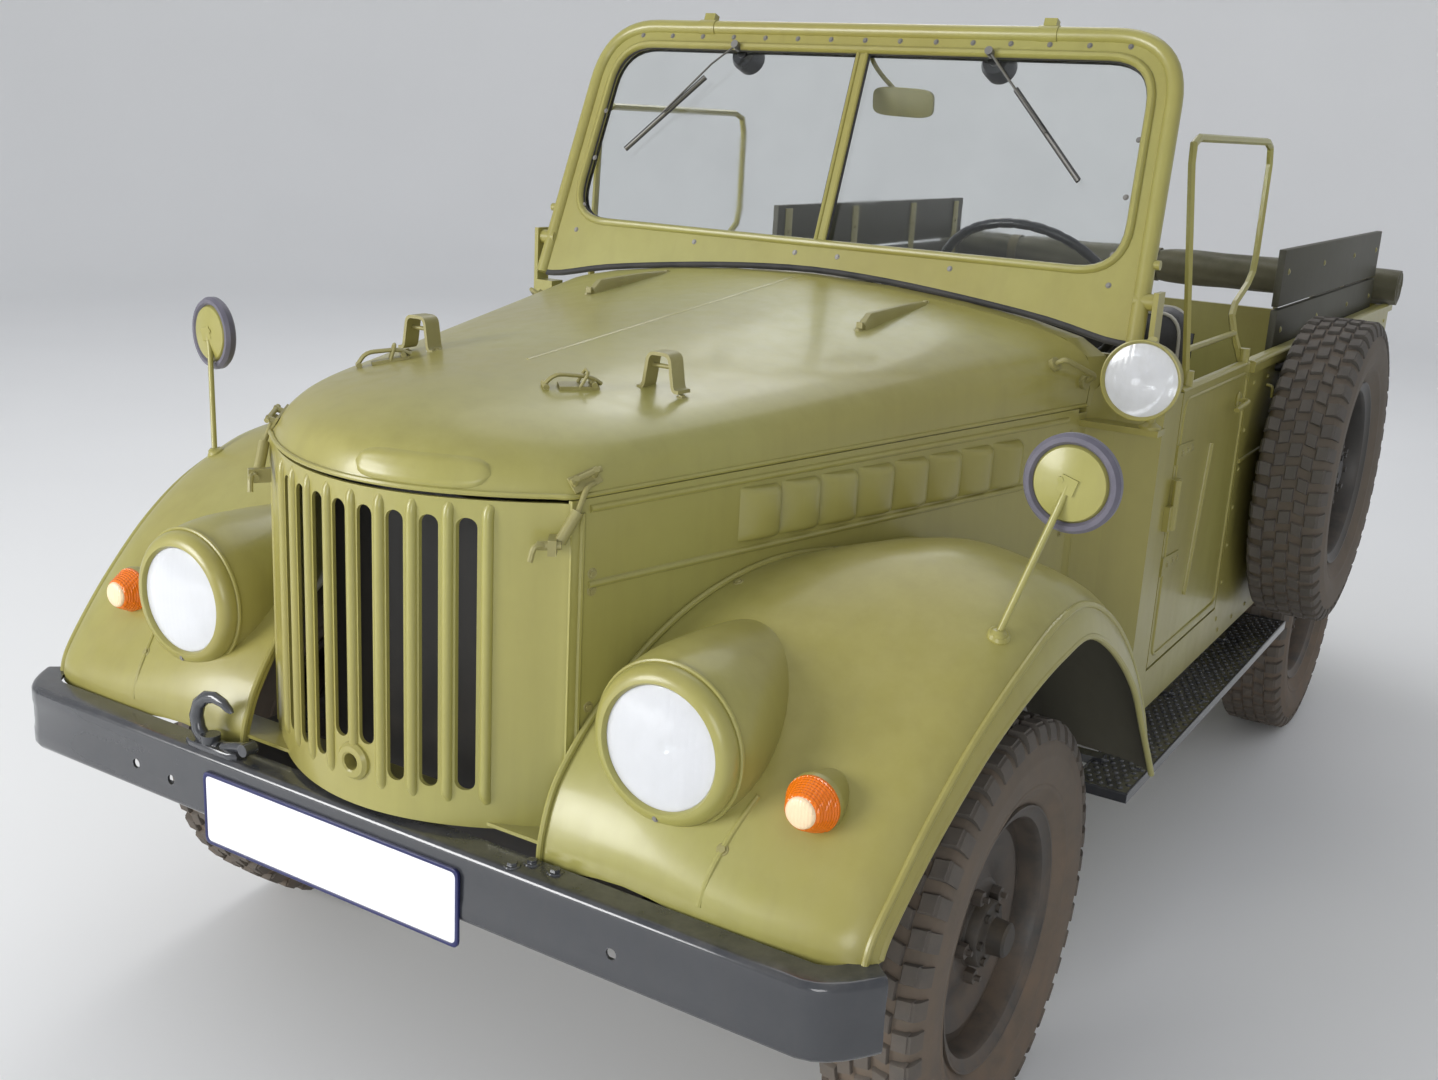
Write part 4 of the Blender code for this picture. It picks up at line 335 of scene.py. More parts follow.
class Graph:
    """A node tree written from code, with inputs found by name."""

    def __init__(self, tree: bpy.types.NodeTree) -> None:
        """An empty graph in a node tree."""
        self.tree = tree

    def add(self, kind: str, inputs: dict | None = None, **settings: object) -> bpy.types.Node:
        """A node with its settings, values and links.

        Args:
            kind: the node's type name.
            inputs: a value or a linked socket by input name or number.
            settings: the node's own properties.

        Returns:
            The node.
        """
        node = self.tree.nodes.new(kind)
        for key, value in settings.items():
            setattr(node, key, value)
        for key, value in (inputs or {}).items():
            socket = node.inputs[key]
            if isinstance(value, bpy.types.NodeSocket):
                self.tree.links.new(value, socket)
            else:
                socket.default_value = value
        return node

    def math(self, operation: str, a: Value, b: Value = 0.0,
             clamp: bool = False) -> bpy.types.NodeSocket:
        """Result of a math node."""
        return self.add("ShaderNodeMath", {0: a, 1: b}, operation=operation,
                        use_clamp=clamp).outputs[0]

    def blend(self, share: Value, a: Value, b: Value) -> bpy.types.NodeSocket:
        """Colour between two colours.

        Args:
            share: how much of the second.
            a: first colour.
            b: second colour.

        Returns:
            The colour's socket.
        """
        node = self.add("ShaderNodeMix", data_type="RGBA")
        for socket, value in zip((node.inputs[0], node.inputs[6], node.inputs[7]), (share, a, b)):
            if isinstance(value, bpy.types.NodeSocket):
                self.tree.links.new(value, socket)
            else:
                socket.default_value = value
        return node.outputs[2]

    def ramp(self, value: Value, low: float, high: float) -> bpy.types.NodeSocket:
        """Value spread from zero at low to one at high."""
        return self.add("ShaderNodeMapRange", {"Value": value, "From Min": low,
                                               "From Max": high}).outputs[0]

    def noise(self, where: Value, scale: float, detail: float = 3.0,
              rough: float = 0.5) -> bpy.types.NodeSocket:
        """Noise value at a place."""
        return self.add("ShaderNodeTexNoise", {"Vector": where, "Scale": scale, "Detail": detail,
                                               "Roughness": rough}).outputs[0]

    def put(self, node: bpy.types.Node, **values: bpy.types.NodeSocket) -> None:
        """Links or sets a group's outputs by name."""
        for key, value in values.items():
            self.tree.links.new(value, node.inputs[key.replace("_", " ")])


def run_tree(source: bpy.types.Object, tree: bpy.types.NodeTree,
             **values: object) -> bpy.types.Mesh:
    """Runs a geometry node tree on an object once and keeps the plain mesh.

    Args:
        source: the object that the tree starts from; it is removed.
        tree: the tree to run.
        values: the tree's named inputs.

    Returns:
        The mesh that the tree made.
    """
    modifier = source.modifiers.new(tree.name, "NODES")
    modifier.node_group = tree
    ids = {i.name: i.identifier for i in tree.interface.items_tree if i.in_out == "INPUT"}
    for key, value in values.items():
        modifier[ids[key]] = value
    graph = bpy.context.evaluated_depsgraph_get()
    graph.update()
    mesh = bpy.data.meshes.new_from_object(source.evaluated_get(graph), depsgraph=graph)
    bpy.data.objects.remove(source)
    return mesh


def geometry_tree(name: str, inputs: dict[str, tuple[str, object]]) -> Graph:
    """Empty geometry node tree with named inputs and a geometry at each end.

    Args:
        name: the tree's name.
        inputs: each input's socket kind and value, by name.

    Returns:
        The graph of the new tree.
    """
    tree = bpy.data.node_groups.new(name, "GeometryNodeTree")
    tree.interface.new_socket("Geometry", in_out="INPUT", socket_type="NodeSocketGeometry")
    for key, (kind, value) in inputs.items():
        socket = tree.interface.new_socket(key, in_out="INPUT", socket_type=kind)
        if value is not None:
            socket.default_value = value
    tree.interface.new_socket("Geometry", in_out="OUTPUT", socket_type="NodeSocketGeometry")
    return Graph(tree)


class Repeats:
    """The geometry node trees that repeat a small form by a rule."""

    def __init__(self) -> None:
        """The three trees by which fittings are repeated."""
        self.ring = self._ring()
        self.grid = self._grid()
        self.bolts = self._bolts()

    def _close(self, g: Graph, instances: Value, finish: Value) -> None:
        """Ends a tree with real geometry in its finish.

        Args:
            g: the tree's graph.
            instances: copies still to be made real.
            finish: the material.
        """
        real = g.add("GeometryNodeRealizeInstances", {"Geometry": instances})
        done = g.add("GeometryNodeSetMaterial", {"Geometry": real.outputs[0],
                                                 "Material": finish})
        out = g.add("NodeGroupOutput")
        g.tree.links.new(done.outputs[0], out.inputs[0])

    def _ring(self) -> bpy.types.NodeTree:
        """Copies of a form round the X axis.

        Returns:
            The finished tree.
        """
        g = geometry_tree("Ring Repeat", {
            "Count": ("NodeSocketInt", 12), "Radius": ("NodeSocketFloat", 0.1),
            "Offset": ("NodeSocketFloat", 0.0), "Phase": ("NodeSocketFloat", 0.0),
            "Finish": ("NodeSocketMaterial", None)})
        start = g.add("NodeGroupInput").outputs
        step = g.math("DIVIDE", math.tau, start["Count"])
        index = g.add("GeometryNodeInputIndex").outputs[0]
        angle = g.math("MULTIPLY", g.math("ADD", index, start["Phase"]), step)
        place = g.add("ShaderNodeCombineXYZ", {
            "X": start["Offset"],
            "Y": g.math("MULTIPLY", g.math("MULTIPLY", g.math("SINE", angle), -1.0),
                        start["Radius"]),
            "Z": g.math("MULTIPLY", g.math("COSINE", angle), start["Radius"])})
        points = g.add("GeometryNodePoints", {"Count": start["Count"],
                                              "Position": place.outputs[0]})
        turn = g.add("ShaderNodeCombineXYZ", {"X": angle})
        copies = g.add("GeometryNodeInstanceOnPoints", {
            "Points": points.outputs[0], "Instance": start["Geometry"],
            "Rotation": turn.outputs[0]})
        self._close(g, copies.outputs[0], start["Finish"])
        return g.tree

    def _grid(self) -> bpy.types.NodeTree:
        """Copies of a form along two steps, every other row shifted.

        Returns:
            The finished tree.
        """
        g = geometry_tree("Grid Repeat", {
            "Columns": ("NodeSocketInt", 4), "Rows": ("NodeSocketInt", 1),
            "Column Step": ("NodeSocketVector", (0.1, 0, 0)),
            "Row Step": ("NodeSocketVector", (0, 0.1, 0)),
            "Row Shift": ("NodeSocketVector", (0, 0, 0)),
            "Finish": ("NodeSocketMaterial", None)})
        start = g.add("NodeGroupInput").outputs
        index = g.add("GeometryNodeInputIndex").outputs[0]
        row = g.math("FLOOR", g.math("DIVIDE", index, start["Columns"]))
        column = g.math("MODULO", index, start["Columns"])
        odd = g.math("MODULO", row, 2.0)

        def scaled(vector: Value, factor: Value) -> bpy.types.NodeSocket:
            """A vector times a number."""
            return g.add("ShaderNodeVectorMath", {0: vector, "Scale": factor},
                         operation="SCALE").outputs[0]

        def total(a: Value, b: Value) -> bpy.types.NodeSocket:
            """Sum of two vectors."""
            return g.add("ShaderNodeVectorMath", {0: a, 1: b}, operation="ADD").outputs[0]

        place = total(total(scaled(start["Column Step"], column),
                            scaled(start["Row Step"], row)), scaled(start["Row Shift"], odd))
        points = g.add("GeometryNodePoints", {
            "Count": g.math("MULTIPLY", start["Columns"], start["Rows"]), "Position": place})
        copies = g.add("GeometryNodeInstanceOnPoints", {
            "Points": points.outputs[0], "Instance": start["Geometry"]})
        self._close(g, copies.outputs[0], start["Finish"])
        return g.tree

    def _bolts(self) -> bpy.types.NodeTree:
        """Hexagon heads on washers at points, along each point's own direction.

        Returns:
            The finished tree.
        """
        g = geometry_tree("Bolt Heads", {
            "Radius": ("NodeSocketFloat", 0.008), "Height": ("NodeSocketFloat", 0.006),
            "Sides": ("NodeSocketInt", 6), "Finish": ("NodeSocketMaterial", None)})
        start = g.add("NodeGroupInput").outputs
        head = g.add("GeometryNodeMeshCone", {
            "Vertices": start["Sides"], "Radius Bottom": start["Radius"],
            "Radius Top": g.math("MULTIPLY", start["Radius"], 0.86),
            "Depth": start["Height"]})
        washer = g.add("GeometryNodeMeshCone", {
            "Vertices": 20, "Radius Bottom": g.math("MULTIPLY", start["Radius"], 1.5),
            "Radius Top": g.math("MULTIPLY", start["Radius"], 1.35),
            "Depth": g.math("MULTIPLY", start["Height"], 0.3)})
        both = g.add("GeometryNodeJoinGeometry")
        for part in (head, washer):
            g.tree.links.new(part.outputs[0], both.inputs[0])
        facing = g.add("GeometryNodeInputNamedAttribute", {"Name": "facing"},
                       data_type="FLOAT_VECTOR")
        turn = g.add("FunctionNodeAlignRotationToVector", {"Vector": facing.outputs[0]},
                     axis="Z")
        copies = g.add("GeometryNodeInstanceOnPoints", {
            "Points": start["Geometry"], "Instance": both.outputs[0],
            "Rotation": turn.outputs[0]})
        self._close(g, copies.outputs[0], start["Finish"])
        return g.tree


class Groups:
    """Shader node groups that the finishes share."""

    def __init__(self) -> None:
        """The shader groups that finishes share."""
        self.weather = self._weather()
        self.grain = self._grain()
        self.weave = self._weave()
        self.flutes = self._flutes()

    def _open(self, name: str, inputs: dict, outputs: dict) -> tuple[Graph, object, object]:
        """Shader group with its sockets, and its two end nodes.

        Args:
            name: the group's name.
            inputs: kind and value of each input, by name.
            outputs: kind of each output, by name.

        Returns:
            The graph, and its input and output nodes.
        """
        tree = bpy.data.node_groups.new(name, "ShaderNodeTree")
        for key, (kind, value) in inputs.items():
            socket = tree.interface.new_socket(key, in_out="INPUT", socket_type=kind)
            socket.default_value = value
        for key, kind in outputs.items():
            tree.interface.new_socket(key, in_out="OUTPUT", socket_type=kind)
        g = Graph(tree)
        return g, g.add("NodeGroupInput").outputs, g.add("NodeGroupOutput")

    def _weather(self) -> bpy.types.NodeTree:
        """Mottled colour with dust on top faces, grime low down and worn edges.

        Returns:
            The group's tree.
        """
        colour, number = "NodeSocketColor", "NodeSocketFloat"
        g, start, end = self._open("Weathering", {
            "Base": (colour, (0.3, 0.3, 0.1, 1)), "Dust": (colour, (0.5, 0.46, 0.36, 1)),
            "Grime": (colour, (0.1, 0.08, 0.05, 1)), "Worn": (colour, (0.35, 0.33, 0.3, 1)),
            "Dust Amount": (number, 0.2), "Grime Amount": (number, 0.3),
            "Grime Height": (number, 0.6), "Wear": (number, 0.3), "Mottle": (number, 0.12),
            "Faded": (colour, (0.4, 0.4, 0.2, 1)), "Fade": (number, 0.0)},
            {"Color": colour, "Rough": number, "Height": number})
        where = g.add("ShaderNodeTexCoord").outputs["Object"]
        shape = g.add("ShaderNodeNewGeometry").outputs
        cloud = g.noise(where, 3.2, 4.0, 0.6)
        patch = g.noise(where, 21.0, 5.0, 0.65)
        fine = g.noise(where, 240.0, 2.0, 0.5)
        shade = g.math("ADD", g.math("MULTIPLY", g.math("SUBTRACT", cloud, 0.5),
                                     start["Mottle"]), 1.0)
        shade = g.math("ADD", shade, g.math("MULTIPLY", g.math("SUBTRACT", patch, 0.5),
                                            g.math("MULTIPLY", start["Mottle"], 0.7)))
        broad = g.ramp(g.noise(where, 1.5, 2.0, 0.5), 0.42, 0.62)
        aged = g.blend(g.math("MULTIPLY", broad, start["Fade"]), start["Base"], start["Faded"])
        tone = g.add("ShaderNodeHueSaturation", {"Color": aged, "Value": shade})
        normal = g.add("ShaderNodeSeparateXYZ", {0: shape["Normal"]}).outputs["Z"]
        place = g.add("ShaderNodeSeparateXYZ", {0: where}).outputs["Z"]
        settled = g.math("MULTIPLY", g.ramp(normal, 0.2, 1.0), g.ramp(patch, 0.35, 0.75))
        dusted = g.blend(g.math("MULTIPLY", settled, start["Dust Amount"]),
                         tone.outputs[0], start["Dust"])
        low = g.math("SUBTRACT", 1.0, g.ramp(
            g.math("ADD", place, g.math("MULTIPLY", g.math("SUBTRACT", cloud, 0.5), 0.3)),
            0.1, 1.0), clamp=True)
        reach = g.math("DIVIDE", place, start["Grime Height"])
        low = g.math("MULTIPLY", low, g.math("SUBTRACT", 1.25, reach, clamp=True), clamp=True)
        streak = g.add("ShaderNodeMapping", {"Vector": where, "Scale": (9.0, 9.0, 1.1)})
        runs = g.ramp(g.noise(streak.outputs[0], 3.0, 4.0, 0.6), 0.45, 0.8)
        dirt = g.math("MULTIPLY", g.math("ADD", g.math("MULTIPLY", low, g.ramp(
            patch, 0.25, 0.7)), g.math("MULTIPLY", runs, 0.22)), start["Grime Amount"],
            clamp=True)
        soiled = g.blend(dirt, dusted, start["Grime"])
        edge = g.add("ShaderNodeBevel", {"Radius": 0.0035}, samples=4).outputs[0]
        turn = g.add("ShaderNodeVectorMath", {0: edge, 1: shape["Normal"]},
                     operation="DOT_PRODUCT").outputs["Value"]
        worn = g.math("MULTIPLY", g.math("SUBTRACT", 1.0, g.ramp(turn, 0.6, 0.92)),
                      g.ramp(g.noise(where, 60.0, 4.0, 0.7), 0.5, 0.62))
        worn = g.math("MULTIPLY", worn, start["Wear"], clamp=True)
        g.put(end, Color=g.blend(worn, soiled, start["Worn"]),
              Rough=g.math("ADD", g.math("MULTIPLY", patch, 0.3), g.math(
                  "ADD", g.math("MULTIPLY", dirt, 0.5), g.math("MULTIPLY", settled, 0.25)),
                  clamp=True),
              Height=g.math("ADD", g.math("MULTIPLY", fine, 0.12),
                            g.math("ADD", g.math("MULTIPLY", cloud, 0.55),
                                   g.math("MULTIPLY", patch, 0.1))))
        return g.tree

    def _grain(self) -> bpy.types.NodeTree:
        """Pebbles and creases of leathercloth or moulded rubber.

        Returns:
            The group's tree.
        """
        number = "NodeSocketFloat"
        g, start, end = self._open("Grain", {"Scale": (number, 400.0)},
                                   {"Height": number, "Tone": number})
        where = g.add("ShaderNodeTexCoord").outputs["Object"]
        cells = g.add("ShaderNodeTexVoronoi", {"Vector": where, "Scale": start["Scale"]},
                      feature="DISTANCE_TO_EDGE").outputs[0]
        pebble = g.ramp(cells, 0.0, 0.25)
        soft = g.noise(where, 14.0, 4.0, 0.6)
        g.put(end, Height=g.math("ADD", g.math("MULTIPLY", pebble, 0.5),
                                 g.math("MULTIPLY", soft, 1.6)), Tone=soft)
        return g.tree

    def _weave(self) -> bpy.types.NodeTree:
        """Crossing threads of canvas with faded patches.

        Returns:
            The group's tree.
        """
        number = "NodeSocketFloat"
        g, start, end = self._open("Weave", {"Threads": (number, 900.0)},
                                   {"Height": number, "Tone": number})
        where = g.add("ShaderNodeTexCoord").outputs["Object"]
        axes = g.add("ShaderNodeSeparateXYZ", {0: where}).outputs
        around = g.math("ADD", axes["Y"], axes["Z"])
        warp = g.math("SINE", g.math("MULTIPLY", axes["X"], start["Threads"]))
        weft = g.math("SINE", g.math("MULTIPLY", around, start["Threads"]))
        cross = g.math("MULTIPLY", warp, weft)
        fade = g.noise(where, 6.0, 5.0, 0.65)
        g.put(end, Height=g.math("ADD", g.math("MULTIPLY", cross, 0.3), fade), Tone=fade)
        return g.tree

    def _flutes(self) -> bpy.types.NodeTree:
        """Upright flutes and fine bars of a lamp lens.

        Returns:
            The group's tree.
        """
        number = "NodeSocketFloat"
        g, start, end = self._open("Lens Flutes", {"Pitch": (number, 0.012)},
                                   {"Height": number})
        where = g.add("ShaderNodeTexCoord").outputs["Object"]
        axes = g.add("ShaderNodeSeparateXYZ", {0: where}).outputs
        wave = g.math("ABSOLUTE", g.math("SINE", g.math(
            "MULTIPLY", g.math("DIVIDE", axes["X"], start["Pitch"]), math.pi)))
        bars = g.math("ABSOLUTE", g.math("SINE", g.math(
            "MULTIPLY", g.math("DIVIDE", axes["Z"], start["Pitch"]), math.pi / 2.6)))
        g.put(end, Height=g.math("ADD", wave, g.math("MULTIPLY", bars, 0.35)))
        return g.tree


def rgb(red: int, green: int, blue: int) -> tuple[float, float, float, float]:
    """Display colour as the linear one that shaders take."""
    return (*[(c / 255 / 12.92) if c < 11 else ((c / 255 + 0.055) / 1.055) ** 2.4
              for c in (red, green, blue)], 1.0)


@dataclass(frozen=True)
class Finish:
    """A surface with its own shader."""

    name: str
    slot: str

    def material(self, groups: Groups) -> bpy.types.Material:
        """The finished material.

        Args:
            groups: the shared shader groups.

        Returns:
            The material.
        """
        material = bpy.data.materials.new(self.name)
        material.use_nodes = True
        graph = Graph(material.node_tree)
        shader = material.node_tree.nodes["Principled BSDF"]
        self.wire(graph, shader, groups)
        return material

    def wire(self, g: Graph, shader: bpy.types.Node, groups: Groups) -> None:
        """Sets the shader and links what varies."""
        raise NotImplementedError

    def group(self, g: Graph, tree: bpy.types.NodeTree,
              inputs: dict[str, float | tuple]) -> bpy.types.bpy_prop_collection:
        """A shared group's outputs.

        Args:
            g: the graph to add nodes to.
            tree: the shared group's tree.
            inputs: values of its sockets.

        Returns:
            The group's output sockets.
        """
        node = g.add("ShaderNodeGroup", node_tree=tree)
        for key, value in inputs.items():
            node.inputs[key].default_value = value
        return node.outputs

    def bump(self, g: Graph, shader: bpy.types.Node, height: Value, strength: float,
             distance: float) -> None:
        """Links a height to the shader's normal.

        Args:
            g: the graph to add nodes to.
            shader: the finish's shader node.
            height: the height to take.
            strength: share of the relief.
            distance: depth in metres.
        """
        node = g.add("ShaderNodeBump", {"Strength": strength, "Distance": distance,
                                        "Height": height})
        g.tree.links.new(node.outputs[0], shader.inputs["Normal"])


@dataclass(frozen=True)
class Paint(Finish):
    """Weathered paint, metal or rubber whose dirt and wear follow the shape."""

    base: tuple = (0.3, 0.3, 0.1, 1)
    dust: tuple = (0.45, 0.41, 0.3, 1)
    grime: tuple = (0.1, 0.08, 0.05, 1)
    worn: tuple = (0.3, 0.28, 0.22, 1)
    dusty: float = 0.2
    dirty: float = 0.3
    wear: float = 0.25
    mottle: float = 0.14
    faded: tuple = (0, 0, 0, 1)
    fade: float = 0.0
    reach: float = 0.6
    gloss: tuple[float, float] = (0.3, 0.6)
    metallic: float = 0.0
    coat: float = 0.0
    relief: float = 0.12
    specular: float = 0.5

    def wire(self, g: Graph, shader: bpy.types.Node, groups: Groups) -> None:
        """Weathered colour, roughness and relief.

        Args:
            g: the graph to add nodes to.
            shader: the finish's shader node.
            groups: the shared shader groups.
        """
        out = self.group(g, groups.weather, {
            "Base": self.base, "Dust": self.dust, "Grime": self.grime, "Worn": self.worn,
            "Dust Amount": self.dusty, "Grime Amount": self.dirty, "Grime Height": self.reach,
            "Wear": self.wear, "Mottle": self.mottle, "Faded": self.faded, "Fade": self.fade})
        g.tree.links.new(out["Color"], shader.inputs["Base Color"])
        rough = g.add("ShaderNodeMapRange", {"Value": out["Rough"], "To Min": self.gloss[0],
                                             "To Max": self.gloss[1]})
        g.tree.links.new(rough.outputs[0], shader.inputs["Roughness"])
        shader.inputs["Metallic"].default_value = self.metallic
        shader.inputs["Coat Weight"].default_value = self.coat
        shader.inputs["Coat Roughness"].default_value = 0.12
        shader.inputs["Specular IOR Level"].default_value = self.specular
        self.bump(g, shader, out["Height"], self.relief, 0.004)


@dataclass(frozen=True)
class Glass(Finish):
    """Clear or tinted glass, smooth or fluted."""

    tint: tuple = (0.9, 0.95, 0.93, 1)
    rough: float = 0.02
    flutes: float = 0.0
    through: float = 1.0
    pitch: float = 0.012
    specular: float = 0.5

    def wire(self, g: Graph, shader: bpy.types.Node, groups: Groups) -> None:
        """Transmission with a light film of dust, and pressed flutes.

        Args:
            g: the graph to add nodes to.
            shader: the finish's shader node.
            groups: the shared shader groups.
        """
        where = g.add("ShaderNodeTexCoord").outputs["Object"]
        film = g.noise(where, 7.0, 4.0, 0.6)
        smear = g.add("ShaderNodeMapRange", {"Value": film, "From Min": 0.35, "From Max": 0.75,
                                             "To Min": self.rough, "To Max": self.rough + 0.08})
        g.tree.links.new(smear.outputs[0], shader.inputs["Roughness"])
        tone = g.blend(g.ramp(film, 0.3, 0.8), self.tint, tuple(c * 0.93 for c in self.tint))
        g.tree.links.new(tone, shader.inputs["Base Color"])
        shader.inputs["Transmission Weight"].default_value = self.through
        shader.inputs["IOR"].default_value = 1.46
        shader.inputs["Specular IOR Level"].default_value = self.specular
        height = film
        if self.flutes:
            height = self.group(g, groups.flutes, {"Pitch": self.pitch})["Height"]
        self.bump(g, shader, height, max(self.flutes, 0.02), 0.004)


@dataclass(frozen=True)
class Hide(Finish):
    """Grained leathercloth or moulded rubber."""

    base: tuple = (0.03, 0.03, 0.03, 1)
    faded: tuple = (0.08, 0.075, 0.07, 1)
    scale: float = 420.0
    rough: tuple[float, float] = (0.35, 0.6)
    relief: float = 0.3
    sheen: float = 0.1

    def wire(self, g: Graph, shader: bpy.types.Node, groups: Groups) -> None:
        """Grain, faded patches and a soft sheen.

        Args:
            g: the graph to add nodes to.
            shader: the finish's shader node.
            groups: the shared shader groups.
        """
        out = self.group(g, groups.grain, {"Scale": self.scale})
        tone = g.blend(g.ramp(out["Tone"], 0.35, 0.75), self.base, self.faded)
        g.tree.links.new(tone, shader.inputs["Base Color"])
        rough = g.add("ShaderNodeMapRange", {"Value": out["Tone"], "To Min": self.rough[0],
                                             "To Max": self.rough[1]})
        g.tree.links.new(rough.outputs[0], shader.inputs["Roughness"])
        shader.inputs["Sheen Weight"].default_value = self.sheen
        self.bump(g, shader, out["Height"], self.relief, 0.002)


@dataclass(frozen=True)
class Canvas(Finish):
    """Woven canvas, faded and a little dusty."""

    base: tuple = (0.08, 0.08, 0.04, 1)
    faded: tuple = (0.16, 0.15, 0.1, 1)

    def wire(self, g: Graph, shader: bpy.types.Node, groups: Groups) -> None:
        """Threads, faded patches and sheen.

        Args:
            g: the graph to add nodes to.
            shader: the finish's shader node.
            groups: the shared shader groups.
        """
        out = self.group(g, groups.weave, {"Threads": 2400.0})
        tone = g.blend(g.ramp(out["Tone"], 0.35, 0.7), self.base, self.faded)
        g.tree.links.new(tone, shader.inputs["Base Color"])
        shader.inputs["Roughness"].default_value = 0.92
        shader.inputs["Sheen Weight"].default_value = 0.25
        self.bump(g, shader, out["Height"], 0.35, 0.002)


OLIVE = rgb(152, 144, 76)
FINISHES = {f.name: f for f in (
    Paint("olive_paint", "olive_paint", OLIVE, dust=rgb(190, 182, 140), grime=rgb(92, 82, 48),
          worn=rgb(196, 188, 130), dusty=0.12, dirty=0.5, wear=0.2, mottle=0.16,
          faded=rgb(166, 166, 98), fade=0.4, reach=0.9, gloss=(0.28, 0.6), coat=0.16,
          relief=0.05),
    # Darker, rougher finish for the fenders' back faces, under the wheel arches.
    Paint("dark_underside", "olive_paint", rgb(74, 72, 58), dust=rgb(110, 102, 84),
          grime=rgb(60, 54, 44), dusty=0.5, dirty=0.8, wear=0.0, mottle=0.4, reach=1.4,
          gloss=(0.7, 0.95), relief=0.3),
    Paint("olive_edge", "olive_paint", rgb(146, 139, 86), dust=rgb(186, 178, 132), dirty=0.6,
          worn=rgb(204, 198, 150), wear=0.7, gloss=(0.35, 0.7), mottle=0.25),
    # Blue-grey base: the enamel's dark colour lifted by a painted bluish sheen.
    Paint("black_enamel", "black_paint", rgb(56, 58, 62), dust=rgb(126, 122, 114),
          grime=rgb(78, 72, 64), worn=rgb(150, 152, 156), dusty=0.25, dirty=0.3, wear=0.5,
          mottle=0.25, gloss=(0.12, 0.45), coat=0.4),
    Paint("chassis_black", "chassis", rgb(40, 39, 37), dust=rgb(112, 100, 82),
          grime=rgb(84, 72, 56), dusty=0.5, dirty=0.7, wear=0.25, mottle=0.4, reach=1.2,
          gloss=(0.5, 0.85)),
    Paint("grey_casting", "cast_engine", rgb(118, 122, 122), dust=rgb(130, 122, 105),
          grime=rgb(46, 42, 36), dusty=0.3, dirty=0.8, mottle=0.4, reach=2.0,
          gloss=(0.4, 0.8), relief=0.3),
    Paint("dull_steel", "metal", rgb(136, 134, 130), dust=rgb(130, 118, 98),
          grime=rgb(88, 66, 46), dusty=0.35, dirty=0.5, mottle=0.3, reach=1.5,
          gloss=(0.32, 0.7), metallic=0.8),
    Paint("bright_metal", "metal", rgb(214, 214, 212), dust=rgb(170, 166, 156), dusty=0.1,
          dirty=0.1, mottle=0.08, gloss=(0.08, 0.3), metallic=1.0, relief=0.04),
    Paint("mirror_silver", "metal", rgb(240, 242, 244), dusty=0.02, dirty=0.02, wear=0.0,
          mottle=0.02, gloss=(0.02, 0.08), metallic=1.0, relief=0.01),
    Paint("rim_grey", "rim", rgb(62, 60, 57), dust=rgb(128, 114, 98), grime=rgb(104, 88, 72),
          worn=rgb(120, 110, 100), dusty=0.4, dirty=0.75, wear=0.5, mottle=0.45, reach=1.1,
          gloss=(0.4, 0.75)),
    Paint("tyre_side", "tyre", rgb(98, 90, 80), dust=rgb(132, 118, 102), grime=rgb(118, 100, 84),
          dusty=0.5, dirty=0.8, wear=0.0, mottle=0.5, reach=1.3, gloss=(0.65, 0.95),
          relief=0.35, specular=0.3),
    Paint("tyre_tread", "tyre", rgb(90, 86, 81), dust=rgb(124, 114, 102), grime=rgb(108, 96, 84),
          worn=rgb(128, 116, 104), dusty=0.45, dirty=0.7, wear=0.6, mottle=0.5, reach=1.3,
          gloss=(0.7, 0.95), relief=0.4, specular=0.3),
    Paint("plate_white", "plate", rgb(238, 239, 242), dust=rgb(200, 196, 186), dusty=0.1,
          dirty=0.12, wear=0.0, mottle=0.03, gloss=(0.25, 0.5), relief=0.03),
    Paint("plate_blue", "plate", rgb(28, 34, 86), dusty=0.1, dirty=0.15, mottle=0.1,
          gloss=(0.25, 0.5)),
    Paint("board_olive", "board", rgb(66, 64, 48), dust=rgb(108, 102, 84), grime=rgb(46, 42, 32),
          dusty=0.3, dirty=0.4, wear=0.5, mottle=0.35, reach=1.6, gloss=(0.5, 0.8),
          relief=0.3),
    Paint("dial_face", "black_paint", rgb(26, 26, 28), dusty=0.05, gloss=(0.2, 0.4)),
    Glass("clear_glass", "glass", (0.93, 0.965, 0.95, 1)),
    Glass("window_glass", "glass", (0.95, 0.975, 0.96, 1), rough=0.0, specular=0.12),
    # Half diffuse near-white: a painted reflection that makes the lens read bright white.
    Glass("lamp_lens", "lens", (0.97, 0.98, 1.0, 1), rough=0.08, flutes=0.035, pitch=0.011,
          through=0.5),
    Glass("amber_lens", "amber", rgb(255, 132, 22), rough=0.12, flutes=0.3, through=0.25,
          pitch=0.006),
    Glass("amber_face", "amber", rgb(255, 226, 186), rough=0.25, flutes=0.15, through=0.1,
          pitch=0.005),
    Glass("red_lens", "amber", rgb(196, 24, 18), rough=0.15, flutes=0.3, through=0.3,
          pitch=0.006),
    Hide("black_rubber", "black_paint", rgb(34, 34, 35), rgb(66, 64, 62), 700.0, (0.5, 0.8),
         0.15),
    Hide("mirror_rim", "black_paint", rgb(86, 84, 96), rgb(108, 104, 116), 900.0,
         (0.4, 0.6), 0.08),
    Hide("leathercloth", "leather", rgb(36, 35, 36), rgb(62, 60, 60)),
    Hide("pale_piping", "leather", rgb(176, 172, 158), rgb(196, 192, 180), 500.0, (0.5, 0.7)),
    Hide("black_plastic", "black_paint", rgb(22, 22, 24), rgb(36, 36, 38), 900.0, (0.2, 0.4),
         0.05),
    Canvas("roll_canvas", "canvas", rgb(74, 72, 52), rgb(104, 100, 78)),
    Canvas("strap_web", "canvas", rgb(96, 90, 62), rgb(122, 114, 84)),
)}


